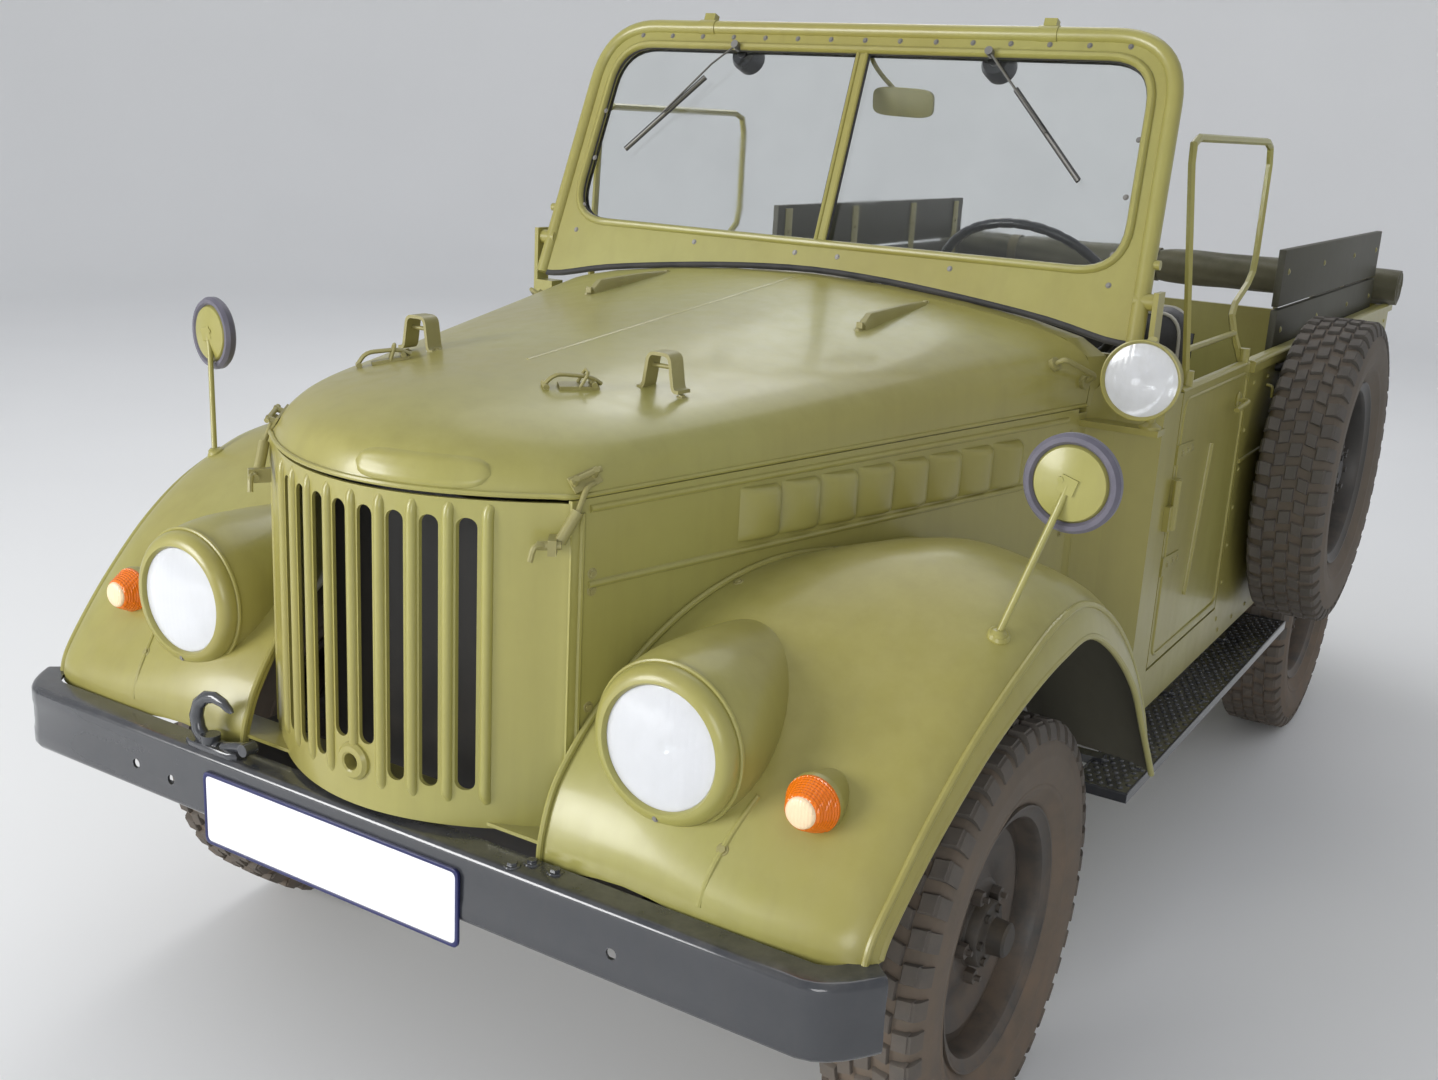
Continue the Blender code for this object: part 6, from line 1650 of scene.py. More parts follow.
    def _corner(self, form: Form, ground: Surface, side: int) -> None:
        """Bracket for a front catch, and the hold-down at the rear corner.

        Args:
            form: takes the new faces.
            ground: the made skin that fittings are seated on.
            side: 1 for left, -1 for right.
        """
        place, normal = ground.hit(at(side * 0.9, -0.655, 1.134), Vector((-side, 0.25, 0)))
        turn = ground.seat(normal, Vector((0, 1, 0)))
        form.prism([place + turn @ Vector(p) for p in ((-0.012, -0.022, -0.001), (0.012, -0.022,
                    -0.001), (0.012, 0.022, -0.001), (-0.012, 0.022, -0.001))], normal * 0.004)
        for end in (-0.016, 0.016):
            form.tube([place + turn @ Vector((0.0, end, 0)), place + turn @ Vector(
                (-0.004, end, 0.017))], 0.0048, 10)
        form.tube([place + turn @ Vector((-0.003, -0.024, 0.013)),
                   place + turn @ Vector((-0.003, 0.024, 0.013))], 0.0042, 10)
        spots = [ground.hit(at(side * 0.9, y, z), Vector((-side, 0, 0)))
                 for y, z in ((0.50, 1.222), (0.575, 1.187))]
        a, b = [p + n * 0.004 for p, n in spots]
        for p, n in spots:
            form.tube([p - n * 0.002, p + n * 0.009], 0.0125, 12)
        lift = spots[0][1] * 0.024
        form.tube(rounded([a, a + lift, b + lift * 1.2, b + lift * 0.2], 0.012, 4), 0.0048, 10)

    def _side(self, shop: Workshop, name: str, side: int) -> None:
        """Side panel with pressed louvres between two beads and a bolted front flange.

        Args:
            shop: makes and counts the pieces.
            name: left or right.
            side: 1 for left, -1 for right.
        """
        front, rear = self.s.grille_rear + 0.0003, 0.58 - 0.0003
        length, height = rear - front, self.s.grille_top - self.s.grille_low

        def put(y: float, z: float, out: float = 0.0) -> Point:
            """A point on the panel, or proud of it."""
            return at(side * (self.seam_x(y) + out), y, z)
        lower = spline([Vector((front + length * a, self.s.grille_top - height * b, 0))
                        for a, b in self.FOOT], 4)
        lower = [(p.x, p.y) for p in lower]
        outline = lower + [(mix(rear, front, k / 6), self.seam_z(mix(rear, front, k / 6)) - 0.0034)
                           for k in range(7)]
        form = Form().loft([[put(y, z, -self.s.wall) for y, z in outline],
                            [put(y, z) for y, z in outline]])
        for z in (0.984, 1.094):
            form.tube([put(y, z + (self.seam_z(y) - self.s.seam_z) * 0.9, -0.001)
                       for y in [mix(front + 0.03, rear - 0.03, k / 12) for k in range(13)]],
                      0.0058, 10)
        form.tube([put(front + 0.017, z) for z in (0.70, 0.8, 0.95, 1.09)], 0.0045, 8)
        # Columns: share of the pitch, share of how far it stands proud
        bulge = ((0.03, 0.0), (0.07, 0.22), (0.14, 0.48), (0.24, 0.75), (0.36, 0.93), (0.5, 1.0),
                 (0.63, 0.99), (0.75, 0.9), (0.84, 0.7), (0.87, 0.5), (0.875, 0.0))
        for k in range(8):
            y0, rings = -0.233 + 0.082 * k, []
            for up, grow in ((0.0, 0.05), (0.02, 0.45), (0.05, 0.72), (0.1, 0.92), (0.17, 1.0),
                             (0.5, 1.0), (0.83, 1.0), (0.9, 0.92), (0.95, 0.72), (0.98, 0.45),
                             (1.0, 0.05)):
                y_mid = y0 + 0.041
                z = 1.0 + 0.085 * up + (self.seam_z(y_mid) - self.s.seam_z) * 0.5
                rings.append([put(y0 + 0.082 * a, z, 0.0195 * b * grow) for a, b in bulge]
                             + [put(y0 + 0.082 * a, z, -0.003) for a in (0.875, 0.03)])
            form.loft(rings)
        out = Vector((side * 0.96, -0.28, 0))
        rows = [(put(front + 0.036, z), out) for z in (0.72, 0.80, 0.975, 1.0)]
        rows += [(put(rear - 0.016, z), out) for z in (0.9, 1.02, 1.09)]
        shop.piece(f"hood_side_{name}_dressed", "body", ["olive_paint"], form,
                   [shop.bolts(rows, 0.0055, 0.0035, "olive_edge")], sharp=32,
                   stands_for=(f"hood_side_{name}",))

    def _grille(self, shop: Workshop) -> None:
        """Bowed shell with round-ended slots between pressed ribs, over a flat apron.

        Args:
            shop: makes and counts the pieces.
        """
        s = self.s
        corner = self.grille_y(s.corner_x)
        flat, steps = 0.28, 14  # width and count of the face's even steps
        half = [Vector((flat * k / steps, self.grille_y(flat * k / steps), 0))
                for k in range(steps + 1)]
        half += [Vector((x, y, 0)) for x, y in ((0.288, -0.5325), (0.2945, -0.5295),
                                                (0.2985, -0.5255), (s.front_half, -0.520))]
        plan = [Vector((-p.x, p.y, 0)) for p in reversed(half[1:])] + half
        heights = (s.grille_low - 0.003, 0.66, s.slot_low, 0.87, s.slot_top, s.grille_top)
        form = Form().sheet([[at(p.x, p.y, z) for p in plan] for z in heights], s.wall)
        cutters = []
        for k in range(8):
            x = (k - 3.5) * s.slot_pitch
            low, r = s.slot_low + (0.045 if abs(x) < s.slot_pitch else 0), s.slot_width / 2
            ring = [at(x + r * math.cos(a), self.grille_y(x) - 0.03, z + r * math.sin(a))
                    for z, start in ((low + r, 180), (s.slot_top - r, 0))
                    for a in [math.radians(start + 18 * i) for i in range(11)]]
            cutters.append(Form().prism(ring, Vector((0, 0.06, 0))))
        hole = Form().tube([at(0, corner - 0.1, 0.685), at(0, corner, 0.685)], 0.013, 24)
        ribs = Form()
        for k in range(9):
            x = (k - 4) * s.slot_pitch
            low, high = s.slot_low - 0.012 + (0.045 if k == 4 else 0), s.slot_top + 0.012
            y = self.grille_y(x) + 0.002
            path = [at(x, y + 0.006, low - 0.004), at(x, y + 0.001, low + 0.004),
                    at(x, y, low + 0.014), at(x, y, high - 0.014), at(x, y + 0.001, high - 0.004),
                    at(x, y + 0.006, high + 0.004)]
            ribs.tube(path, 0.0088, 14)
        boss = self.grille_y(0)
        ribs.lathe([(0.012, 0.013), (-0.007, 0.013), (-0.009, 0.016), (-0.008, 0.024),
                    (-0.003, 0.029), (0.004, 0.030), (0.012, 0.03)], at(0, boss, 0.685),
                   Axis.REAR.value, 32)
        ribs.sheet([[at(x, y, s.grille_low - 0.003 + 0.004 * (y < -0.57)) for x in
                     [-0.60 + 0.06 * k for k in range(21)]] for y in (-0.59, -0.586, -0.56, -0.52)],
                   -s.wall * 0.9)
        shell = shop.carved(form, cutters + [hole])
        spots = [(at(x, -0.568, s.grille_low + 0.001), Axis.UP.value)
                 for x in (-0.36, -0.42, -0.54, 0.36, 0.42, 0.54)]
        shop.piece("grille_dressed", "body", ["olive_paint"], ribs,
                   [shell, shop.bolts(spots, 0.006, 0.004, "olive_edge")], sharp=36,
                   stands_for=("grille_shell",))

    def _catches(self, shop: Workshop) -> None:
        """Rods and levers that hold the hood's front corners down.

        Args:
            shop: makes and counts the pieces.
        """
        form = Form()
        for side in (1, -1):
            top, foot = at(side * 0.308, -0.512, 1.128), at(side * 0.288, -0.556, 1.052)
            form.tube(rounded([top + Vector((side * 0.004, 0.012, 0.004)), top,
                               mix(top, foot, 0.5) + Vector((side * 0.010, 0, 0)), foot], 0.012, 4),
                      0.0042, 10)
            form.tube([mix(top, foot, 0.42) + Vector((side * 0.008, 0, 0)),
                       mix(top, foot, 0.95) + Vector((side * 0.007, 0, 0))], 0.0085, 12)
            form.block(foot + Vector((-0.006, -0.020, -0.012)), foot + Vector((0.006, 0.014, 0.01)),
                       Matrix.Rotation(side * 0.6, 3, "Z"))
            form.tube([foot + Vector((-0.012 * side, -0.022, 0.0)),
                       foot + Vector((0.016 * side, -0.004, 0.002))], 0.0062, 10)
            form.tube(rounded([foot + Vector((0, -0.014, 0)), foot + Vector((-0.01 * side, -0.03,
                               0.004)), foot + Vector((-0.014 * side, -0.034, -0.02))], 0.01, 3),
                      0.0045, 8)
        shop.piece("hood_catches", "body", ["olive_edge"], form, sharp=40)

    def _radiator(self, shop: Workshop) -> None:
        """Radiator core with fins and tubes behind the grille, fan blades and hoses.

        Args:
            shop: makes and counts the pieces.
        """
        fin = Form().block((-0.21, -0.0015, -0.0006), (0.21, 0.0015, 0.0006))
        fins = shop.copies(shop.repeats.grid, fin, "dull_steel", Columns=52, Rows=1, **{
            "Column Step": (0, 0, 0.0082)})
        tube = Form().block((-0.0016, -0.002, 0), (0.0016, 0.002, 0.43))
        tubes = shop.copies(shop.repeats.grid, tube, "dull_steel", Columns=28, Rows=1, **{
            "Column Step": (0.0148, 0, 0)})
        form = Form()
        for low, high in (((-0.232, -0.447, 1.035), (0.232, -0.382, 1.062)),
                          ((-0.232, -0.447, 0.58), (0.232, -0.382, 0.60))):
            form.block(at(*low), at(*high))
        form.tube([at(0.1, -0.41, 1.055), at(0.1, -0.41, 1.085)], 0.03, 24)
        form.slot = 1
        form.tube(rounded([at(-0.12, -0.375, 1.03), at(-0.12, -0.33, 1.04), at(-0.1, -0.27, 0.99)],
                          0.03, 5), 0.02, 16)
        for k in range(4):
            turn = Matrix.Rotation(math.pi / 2 * k + 0.4, 3, "Y")
            blade = [turn @ Vector(p) for p in ((0.0, -0.008, 0.03), (0.045, 0.008, 0.03),
                                                (0.06, 0.012, 0.185), (-0.015, -0.012, 0.185))]
            form.prism([at(0, -0.32, 0.86) + p for p in blade], Vector((0, 0.003, 0)))
        form.tube([at(0, -0.345, 0.86), at(0, -0.285, 0.86)], 0.045, 24)
        shop.piece("radiator_details", "body", ["chassis_black", "grey_casting"], form,
                   [shop.moved(fins, at(0, -0.4435, 0.612)), shop.moved(tubes, at(-0.2, -0.4435,
                                                                                 0.604))],
                   sharp=35)


class Fenders:
    """Front fenders with their pods, lamps and mirrors."""

    # Columns: place along and height of inner edge, of crest, and of lip, then the lip's x
    ROWS = ((-0.594, 0.586, -0.599, 0.588, -0.550, 0.606, 0.822),
            (-0.588, 0.634, -0.592, 0.634, -0.534, 0.634, 0.824),
            (-0.558, 0.704, -0.558, 0.682, -0.490, 0.686, 0.831),
            (-0.480, 0.793, -0.486, 0.768, -0.425, 0.748, 0.840),
            (-0.380, 0.882, -0.384, 0.865, -0.330, 0.822, 0.853),
            (-0.270, 0.939, -0.270, 0.945, -0.225, 0.874, 0.864),
            (-0.138, 0.965, -0.126, 1.010, -0.105, 0.900, 0.868),
            (0.036, 0.953, 0.018, 1.008, 0.012, 0.900, 0.868),
            (0.180, 0.940, 0.171, 0.949, 0.150, 0.836, 0.868),
            (0.312, 0.852, 0.309, 0.843, 0.288, 0.736, 0.868),
            (0.444, 0.704, 0.426, 0.714, 0.390, 0.622, 0.868),
            (0.549, 0.520, 0.516, 0.520, 0.492, 0.502, 0.868))
    LAMP = Vector((0.48, -0.575, 0.807))
    TURN = Vector((0.685, -0.545, 0.766))
    POD_Y = -0.5447  # front end of the pods

    def __init__(self, nose: Nose) -> None:
        """Fenders that meet a nose."""
        self.nose = nose

    def _row(self, row: tuple) -> Ring:
        """One section of a left fender from the hood side to its lip.

        Args:
            row: seven places of a section.

        Returns:
            Six points.
        """
        iy, iz, cy, cz, ly, lz, lx = row
        inner = Vector((self.nose.wall_x(iy) + 0.0006, iy, iz))
        crest, lip = Vector((lx * 0.77, cy, cz)), Vector((lx, ly, lz))
        shoulder = Vector((lx * 0.925, mix(cy, ly, 0.2), mix(cz, lz, 0.25)))
        crease = Vector((lx * 0.982, mix(cy, ly, 0.6), mix(cz, lz, 0.56)))
        swell = mix(inner, crest, 0.45) + Vector((0, 0, abs(crest.x - inner.x) * 0.06))
        return [inner, swell, crest, shoulder, crease, lip]

    def make(self, shop: Workshop) -> None:
        """Builds both fenders with everything on them.

        Args:
            shop: makes and counts the pieces.
        """
        for name, side in SIDES.items():
            self._fender(shop, name, side)
            self._headlamp(shop, name, side)
            self._turn_lamp(shop, name, side)
            self._mirror(shop, name, side)

    def _fender(self, shop: Workshop, name: str, side: int) -> None:
        """Smooth fender with rolled lip, crease, seam piping and teardrop pod.

        Args:
            shop: makes and counts the pieces.
            name: left or right.
            side: 1 for left, -1 for right.
        """
        rows = refined([self._row(r) for r in self.ROWS], 6, 4)
        for row in rows:
            for p in row:
                p.x = max(p.x, self.nose.wall_x(p.y) + 0.0003)
        flip = Matrix.Diagonal((side, 1, 1))
        rows = [[at(*(flip @ p)) for p in row] for row in rows]
        # The sheet's back faces, under the arch, take the darker underside finish.
        form = Form().sheet(rows, 0.006 * side, 1)
        ground = Surface(form.mesh("ground"))
        form.tube([row[-1] + Vector((-0.004 * side, 0, 0.001)) for row in rows], 0.0058, 10)
        form.tube([row[16] + Vector((-0.0008 * side, 0, 0.0004)) for row in rows], 0.0058, 10)
        form.tube([row[0] + Vector((0.0046 * side, -0.002, 0.004)) for row in rows], 0.005, 8)
        edge = [ground.hit(at(side * x, -0.9, z), Axis.REAR.value)[0]
                for x, z in ((0.602, 0.752), (0.588, 0.71), (0.578, 0.66), (0.574, 0.618))]
        form.tube([p + Vector((0, 0.0028, 0)) for p in spline(edge, 4)], 0.0052, 10)
        lamp = flip @ self.LAMP
        span, r = 0.37, 0.115
        shares = ((0.0, 1.0), (0.02, 1.01), (0.08, 1.05), (0.18, 1.055), (0.32, 0.99), (0.46, 0.89),
                  (0.6, 0.76), (0.74, 0.60), (0.87, 0.41), (0.96, 0.22), (1.0, 0.02))
        curve = spline([Vector((a * span, b * r, 0)) for a, b in shares], 3)
        rings = []
        for p in curve:
            centre = at(lamp.x, self.POD_Y + p.x, lamp.z + 0.07 * max(p.x / span, 0) ** 1.5)
            rings.append([centre + Vector((math.cos(t), 0, math.sin(t))) * p.y
                          for t in circle(56)])
        form.loft(rings)
        mouth = at(lamp.x, self.POD_Y, lamp.z)
        form.tube([p + (p - mouth).normalized() * 0.0015 for p in rings[1]], 0.0035, 8,
                  closed=True)
        turn = flip @ self.TURN
        form.lathe([(0.0403, 0.0), (0.0403, 0.0395), (0.046, 0.0415), (0.052, 0.040),
                    (0.1, 0.03), (0.1, 0.0)], at(*turn), Axis.REAR.value, 36)
        place, normal = ground.below(side * 0.805, -0.215)
        form.lathe([(-0.012, 0.0), (-0.012, 0.017), (0.002, 0.0165), (0.006, 0.013),
                    (0.006, 0.0)], place, normal, 28)
        bolts = [ground.hit(at(side * 0.9, y, z), Vector((-side, 0, 0)))
                 for y, z in ((-0.56, 0.69), (0.38, 0.72), (0.48, 0.6))]
        seam = [ground.below(side * (self.nose.wall_x(y) + 0.022), y)
                for y in (-0.40, -0.25, -0.05, 0.15, 0.30, 0.42)]
        shop.piece(f"front_fender_{name}_dressed", "body", ["olive_paint", "dark_underside"], form,
                   [shop.bolts(bolts + seam, 0.006, 0.0035, "olive_edge")], sharp=34,
                   stands_for=(f"front_fender_{name}",))

    def _headlamp(self, shop: Workshop, name: str, side: int) -> None:
        """Headlamp: stepped bezel, domed fluted lens, bright reflector and bulb.

        Args:
            shop: makes and counts the pieces.
            name: left or right.
            side: 1 for left, -1 for right.
        """
        c, axis = at(side * self.LAMP.x, self.LAMP.y, self.LAMP.z), Axis.REAR.value
        form = Form()
        form.lathe([(0.0298, 0.03), (0.0298, 0.1145), (0.024, 0.1147), (0.016, 0.112),
                    (0.0085, 0.1055), (0.005, 0.098), (0.0045, 0.0925), (0.008, 0.0895),
                    (0.0125, 0.0885), (0.018, 0.0885), (0.022, 0.092), (0.022, 0.1),
                    (0.027, 0.1), (0.027, 0.03)], c, axis, 72)
        form.slot = 1
        form.lathe([(0.0265, 0.0), (0.026, 0.012), (0.0235, 0.045), (0.019, 0.075),
                    (0.0162, 0.0868), (0.0148, 0.0868), (0.0165, 0.075), (0.0215, 0.045),
                    (0.0245, 0.012), (0.025, 0.0)], c, axis, 64)
        form.slot = 2
        dome = [(0.0008 + 0.0110 * (r / 0.0885) ** 2, r) for r in (0.0, 0.014, 0.03, 0.045, 0.06,
                                                                 0.074, 0.084, 0.0885)]
        form.lathe(dome + [(x + 0.003, r) for x, r in reversed(dome)], c, axis, 64)
        form.slot = 3
        form.lathe([(0.014, 0.0), (0.0143, 0.006), (0.019, 0.0115), (0.024, 0.0115),
                    (0.0245, 0.0)], c, axis, 24)
        screws = [(c + Vector((0, 0.0075, -0.1)), Axis.FRONT.value)]
        shop.piece(f"headlamp_{name}_dressed", "body",
                   ["olive_paint", "mirror_silver", "lamp_lens", "clear_glass"], form,
                   [shop.bolts(screws, 0.004, 0.003, "dull_steel", 12)], sharp=36,
                   stands_for=(f"headlamp_{name}",))

    def _turn_lamp(self, shop: Workshop, name: str, side: int) -> None:
        """Amber lamp: ribbed lens round a pale pressed face.

        Args:
            shop: makes and counts the pieces.
            name: left or right.
            side: 1 for left, -1 for right.
        """
        c, axis = at(side * self.TURN.x, self.TURN.y, self.TURN.z), Axis.REAR.value
        form = Form()
        form.slot = 1
        ridges = [(0.0355 - 0.002 * k, 0.0385 - 0.0010 * k + (0.0009 if k % 2 else 0))
                  for k in range(15)]
        form.lathe([(0.0402, 0.0), (0.0402, 0.0400), (0.0362, 0.0400)] + ridges
                   + [(0.006, 0.0225), (0.006, 0.0)], c, axis, 48)
        form.slot = 2
        form.lathe([(0.0061, 0.0), (0.0061, 0.0223), (0.0035, 0.0215), (0.0012, 0.0185),
                    (0.0006, 0.009), (0.0, 0.0)], c, axis, 48)
        shop.piece(f"turn_lamp_{name}_dressed", "body", ["olive_paint", "amber_lens", "amber_face"],
                   form, sharp=40, stands_for=(f"turn_lamp_{name}",))

    def _mirror(self, shop: Workshop, name: str, side: int) -> None:
        """Round mirror on its rod: painted back, soft rim, glass and a square clamp.

        Args:
            shop: makes and counts the pieces.
            name: left or right.
            side: 1 for left, -1 for right.
        """
        foot, disc = at(side * 0.805, -0.217, 0.947), at(side * 0.865, -0.156, 1.167)
        form = Form()
        form.lathe([(0, 0.0), (0, 0.0118), (0.006, 0.0118), (0.0105, 0.008), (0.012, 0.0)], foot,
                   Axis.UP.value, 28)
        form.tube(rounded([foot + Vector((0, 0, 0.004)), mix(foot, disc, 0.9) + Vector(
            (0, -0.012, 0)), disc + Vector((0, -0.0175, 0))], 0.03, 4), 0.0052, 12)
        axis = Vector((0.2 if side < 0 else 0.02, 1, 0)).normalized()
        form.lathe([(-0.0205, 0.0), (-0.0195, 0.014), (-0.0165, 0.034), (-0.0125, 0.051),
                    (-0.007, 0.0545), (0.004, 0.0545), (0.004, 0.0)], disc, axis, 56)
        form.block(disc + Vector((-0.012, -0.0225, -0.012)), disc + Vector((0.012, -0.0145, 0.012)),
                   Matrix.Rotation(0.3 * side, 3, "Y"))
        form.tube([disc + Vector((-0.01 * side, -0.0235, 0.007)),
                   disc + Vector((-0.01 * side, -0.012, 0.007))], 0.0045, 6)
        form.slot = 1
        form.lathe([(-0.008, 0.0545), (-0.0128, 0.0585), (-0.0125, 0.065), (-0.0055, 0.0698),
                    (0.004, 0.0695), (0.0082, 0.066), (0.0080, 0.060), (0.0055, 0.0575),
                    (0.003, 0.0545)], disc, axis, 64)
        form.slot = 2
        form.lathe([(0.0055, 0.0), (0.0055, 0.0588), (0.0038, 0.0588), (0.0038, 0.0)], disc, axis,
                   56)
        shop.piece(f"mirror_{name}_dressed", "body",
                   ["olive_paint", "mirror_rim", "mirror_silver"], form, sharp=36,
                   stands_for=(f"mirror_{name}",))


class Screen:
    """Folding windscreen: tubular frame, panel, glass, wipers, mirror and small fittings."""

    AXIS = Vector((0, 0.661, 1.335))
    LEAN = math.radians(19.3)
    HEIGHT, DROP, FOOT, HEAD, TUBE = 0.5, 0.082, 0.69, 0.655, 0.016

    def point(self, x: float, up: float, back: float = 0.0) -> Point:
        """A place in the leaning plane, up from the hinge and back from the plane."""
        return at(x, self.AXIS.y + math.sin(self.LEAN) * up + math.cos(self.LEAN) * back,
                  self.AXIS.z + math.cos(self.LEAN) * up - math.sin(self.LEAN) * back)

    def backward(self, share: float = 1.0) -> Vector:
        """Step square to the leaning plane."""
        return self.point(0, 0, share) - self.point(0, 0, 0)

    def foot(self) -> Ring:
        """Curved lower edge of the panel, in the plane's own places.

        Returns:
            The points, from left to right.
        """
        shares = ((-1.0, 1.0), (-0.92, 0.95), (-0.75, 0.62), (-0.5, 0.32), (-0.25, 0.1), (0, 0.0),
                  (0.25, 0.1), (0.5, 0.32), (0.75, 0.62), (0.92, 0.95), (1.0, 1.0))
        return spline([Vector((self.FOOT * a, -0.008 - (self.DROP - 0.008) * b, 0))
                       for a, b in shares], 3)

    def outline(self, margin: float, foot: float, corner: float, steps: int = 8) -> Ring:
        """Rounded outline inside a margin, in the plane's own places.

        Args:
            margin: distance inside the tube.
            foot: height of the lower edge.
            corner: radius of the corners.
            steps: points of each corner.

        Returns:
            The points, in order.
        """
        def half(up: float) -> float:
            """Half width at a height."""
            return mix(self.FOOT, self.HEAD, (up + self.DROP) / (self.HEIGHT + self.DROP)) - margin
        head = self.HEIGHT - margin
        corners = [Vector((-half(foot), foot, 0)), Vector((half(foot), foot, 0)),
                   Vector((half(head), head, 0)), Vector((-half(head), head, 0))]
        return rounded(corners, corner, steps, closed=True)

    def lifted(self, ring: Ring, back: float) -> Ring:
        """Flat outline taken into the leaning plane."""
        return [self.point(p.x, p.y, back) for p in ring]

    def make(self, shop: Workshop) -> None:
        """Builds frame, glass and fittings.

        Args:
            shop: makes and counts the pieces.
        """
        self._frame(shop)
        self._glass(shop)
        self._fittings(shop)

    def _frame(self, shop: Workshop) -> None:
        """Main tube, inner frame, lower panel, hinge bosses and top brackets.

        Args:
            shop: makes and counts the pieces.
        """
        f, h, d = self.FOOT, self.HEIGHT, self.DROP
        corners = [Vector(p) for p in ((-f, -d, 0), (-self.HEAD, h, 0), (self.HEAD, h, 0),
                                       (f, -d, 0))]
        form = Form().tube(self.lifted(rounded(corners, 0.13, 12), 0), self.TUBE, 20)
        head = rounded([Vector(p) for p in ((f, 0, 0), (self.HEAD, h, 0), (-self.HEAD, h, 0),
                                            (-f, 0, 0))], 0.13, 12)[1:-1]
        plate = Form().loft([self.lifted(self.foot() + head, b) for b in (-0.006, 0.006)])
        opening = Form().loft([self.lifted(self.outline(0.040, 0.045, 0.095), b)
                               for b in (-0.03, 0.03)])
        panel = shop.carved(plate, [opening])
        for back, radius in ((-0.005, 0.0088), (0.006, 0.0075)):
            form.tube(self.lifted(self.outline(0.041, 0.046, 0.094), back), radius, 10,
                      closed=True)
        for x in (-0.0095, 0.0095):
            form.tube([self.point(x, 0.046, -0.004), self.point(x, h - 0.04, -0.004)], 0.0046, 8)
        form.loft([[self.point(x, u, b) for x, u in ((-0.011, 0.042), (0.011, 0.042), (0.011, h - 0.03),
                                                     (-0.011, h - 0.03))] for b in (-0.0045, 0.0065)])
        for side in (1, -1):
            form.tube([at(side * 0.674, self.AXIS.y, self.AXIS.z),
                       at(side * 0.712, self.AXIS.y, self.AXIS.z)], 0.0158, 24)
            x = side * 0.392
            path = [self.point(x - 0.013, h + 0.030, 0), self.point(x + 0.013, h + 0.030, 0),
                    self.point(x + 0.013, h, -0.0005), self.point(x - 0.013, h, -0.0005)]
            form.loft([[p + self.backward(b) for p in path] for b in (-0.009, 0.009)])
            form.tube([self.point(x - 0.02, h, 0), self.point(x + 0.02, h, 0)], 0.0178, 20)
            form.tube([self.point(side * (f + 0.002), 0.07, 0), self.point(side * (f + 0.0155),
                                                                          0.07, 0)], 0.009, 12)
        front = self.backward(-1)
        spots = [(self.point(x, h - 0.022, -0.0062), front) for x in
                 [-0.56 + 0.08 * k for k in range(15)]]
        spots += [(self.point(side * 0.615, u, -0.0062), front) for side in (1, -1)
                  for u in (0.08, 0.19, 0.30)]
        spots += [(self.point(side * x, 0.022, -0.0062), front) for side in (1, -1)
                  for x in (0.62, 0.30, 0.05)]
        shop.piece("windscreen_frame_dressed", "windscreen", ["olive_paint"], form,
                   [panel, shop.bolts(spots, 0.0038, 0.0022, "dull_steel", 12)], sharp=36,
                   stands_for=("windscreen_frame",))

    def _glass(self, shop: Workshop) -> None:
        """Two panes in black rubber behind the frame.

        Args:
            shop: makes and counts the pieces.
        """
        pane = Form()
        pane.loft([self.lifted(self.outline(0.041, 0.046, 0.088), b) for b in (0.0085, 0.0120)])
        shop.piece("windscreen_glass_dressed", "windscreen", ["window_glass"], pane, sharp=30,
                   stands_for=("windscreen_glass",))
        rubber = Form().tube(self.lifted(self.outline(0.047, 0.052, 0.090), -0.001), 0.0042, 8,
                             closed=True)
        rubber.tube(self.lifted(self.outline(0.047, 0.052, 0.090), 0.0155), 0.0035, 8, closed=True)
        rubber.tube(self.lifted([p + Vector((0, 0.001, 0)) for p in self.foot()[1:-1]], 0.0),
                    0.0075, 8)
        for x in (-0.0145, 0.0145):
            rubber.tube([self.point(x, 0.054, 0.0), self.point(x, self.HEIGHT - 0.05, 0.0)], 0.003, 8)
        shop.piece("windscreen_rubber", "windscreen", ["black_rubber"], rubber, sharp=60)

    def _fittings(self, shop: Workshop) -> None:
        """Wipers with their motors, the inside mirror and the fold's knobs.

        Args:
            shop: makes and counts the pieces.
        """
        form, dark = Form(), Form()
        for x, reach, angle in ((-0.302, 0.30, 226), (0.285, 0.30, -46)):
            up = self.HEIGHT - 0.044
            hub = self.point(x, up, -0.018)
            turn = math.radians(angle)
            tip = self.point(x + math.cos(turn) * reach * 0.72, up + math.sin(turn) * reach * 0.72,
                             -0.016)
            form.tube([self.point(x, up, -0.004), self.point(x, up, -0.026)], 0.0085, 16)
            form.tube([hub, mix(hub, tip, 0.3) + (hub - self.point(x, up, 0)) * 0.5, tip], 0.0034, 8,
                      flat=0.6)
            a = self.point(x + math.cos(turn) * reach * 0.32, up + math.sin(turn) * reach * 0.32,
                           -0.0075)
            b = self.point(x + math.cos(turn) * reach * 1.12, up + math.sin(turn) * reach * 1.12,
                           -0.0075)
            form.tube([a, b], 0.0038, 8)
            dark.slot = 0
            dark.tube([a + (hub - self.point(x, up, 0)) * -0.05, b], 0.003, 6, flat=2.2)
            dark.slot = 1
            dark.lathe([(0.018, 0.0), (0.018, 0.026), (0.03, 0.033), (0.058, 0.033), (0.066, 0.026),
                        (0.066, 0.0)], self.point(x, up - 0.004, 0.0), self.backward(), 36)
            dark.lathe([(0.010, 0.0), (0.010, 0.012), (0.02, 0.012), (0.02, 0.0)],
                       self.point(x, up - 0.004, 0.0), self.backward(), 24)
        shop.piece("wiper_arms", "windscreen", ["dull_steel"], form, sharp=40)
        shop.piece("wiper_motors", "windscreen", ["black_rubber", "black_plastic"], dark, sharp=40)
        mirror = Form()
        centre = self.point(0.085, self.HEIGHT - 0.125, 0.06)
        side, up = Vector((0.985, 0.0, -0.03)), Vector((0.02, -0.12, 0.99))
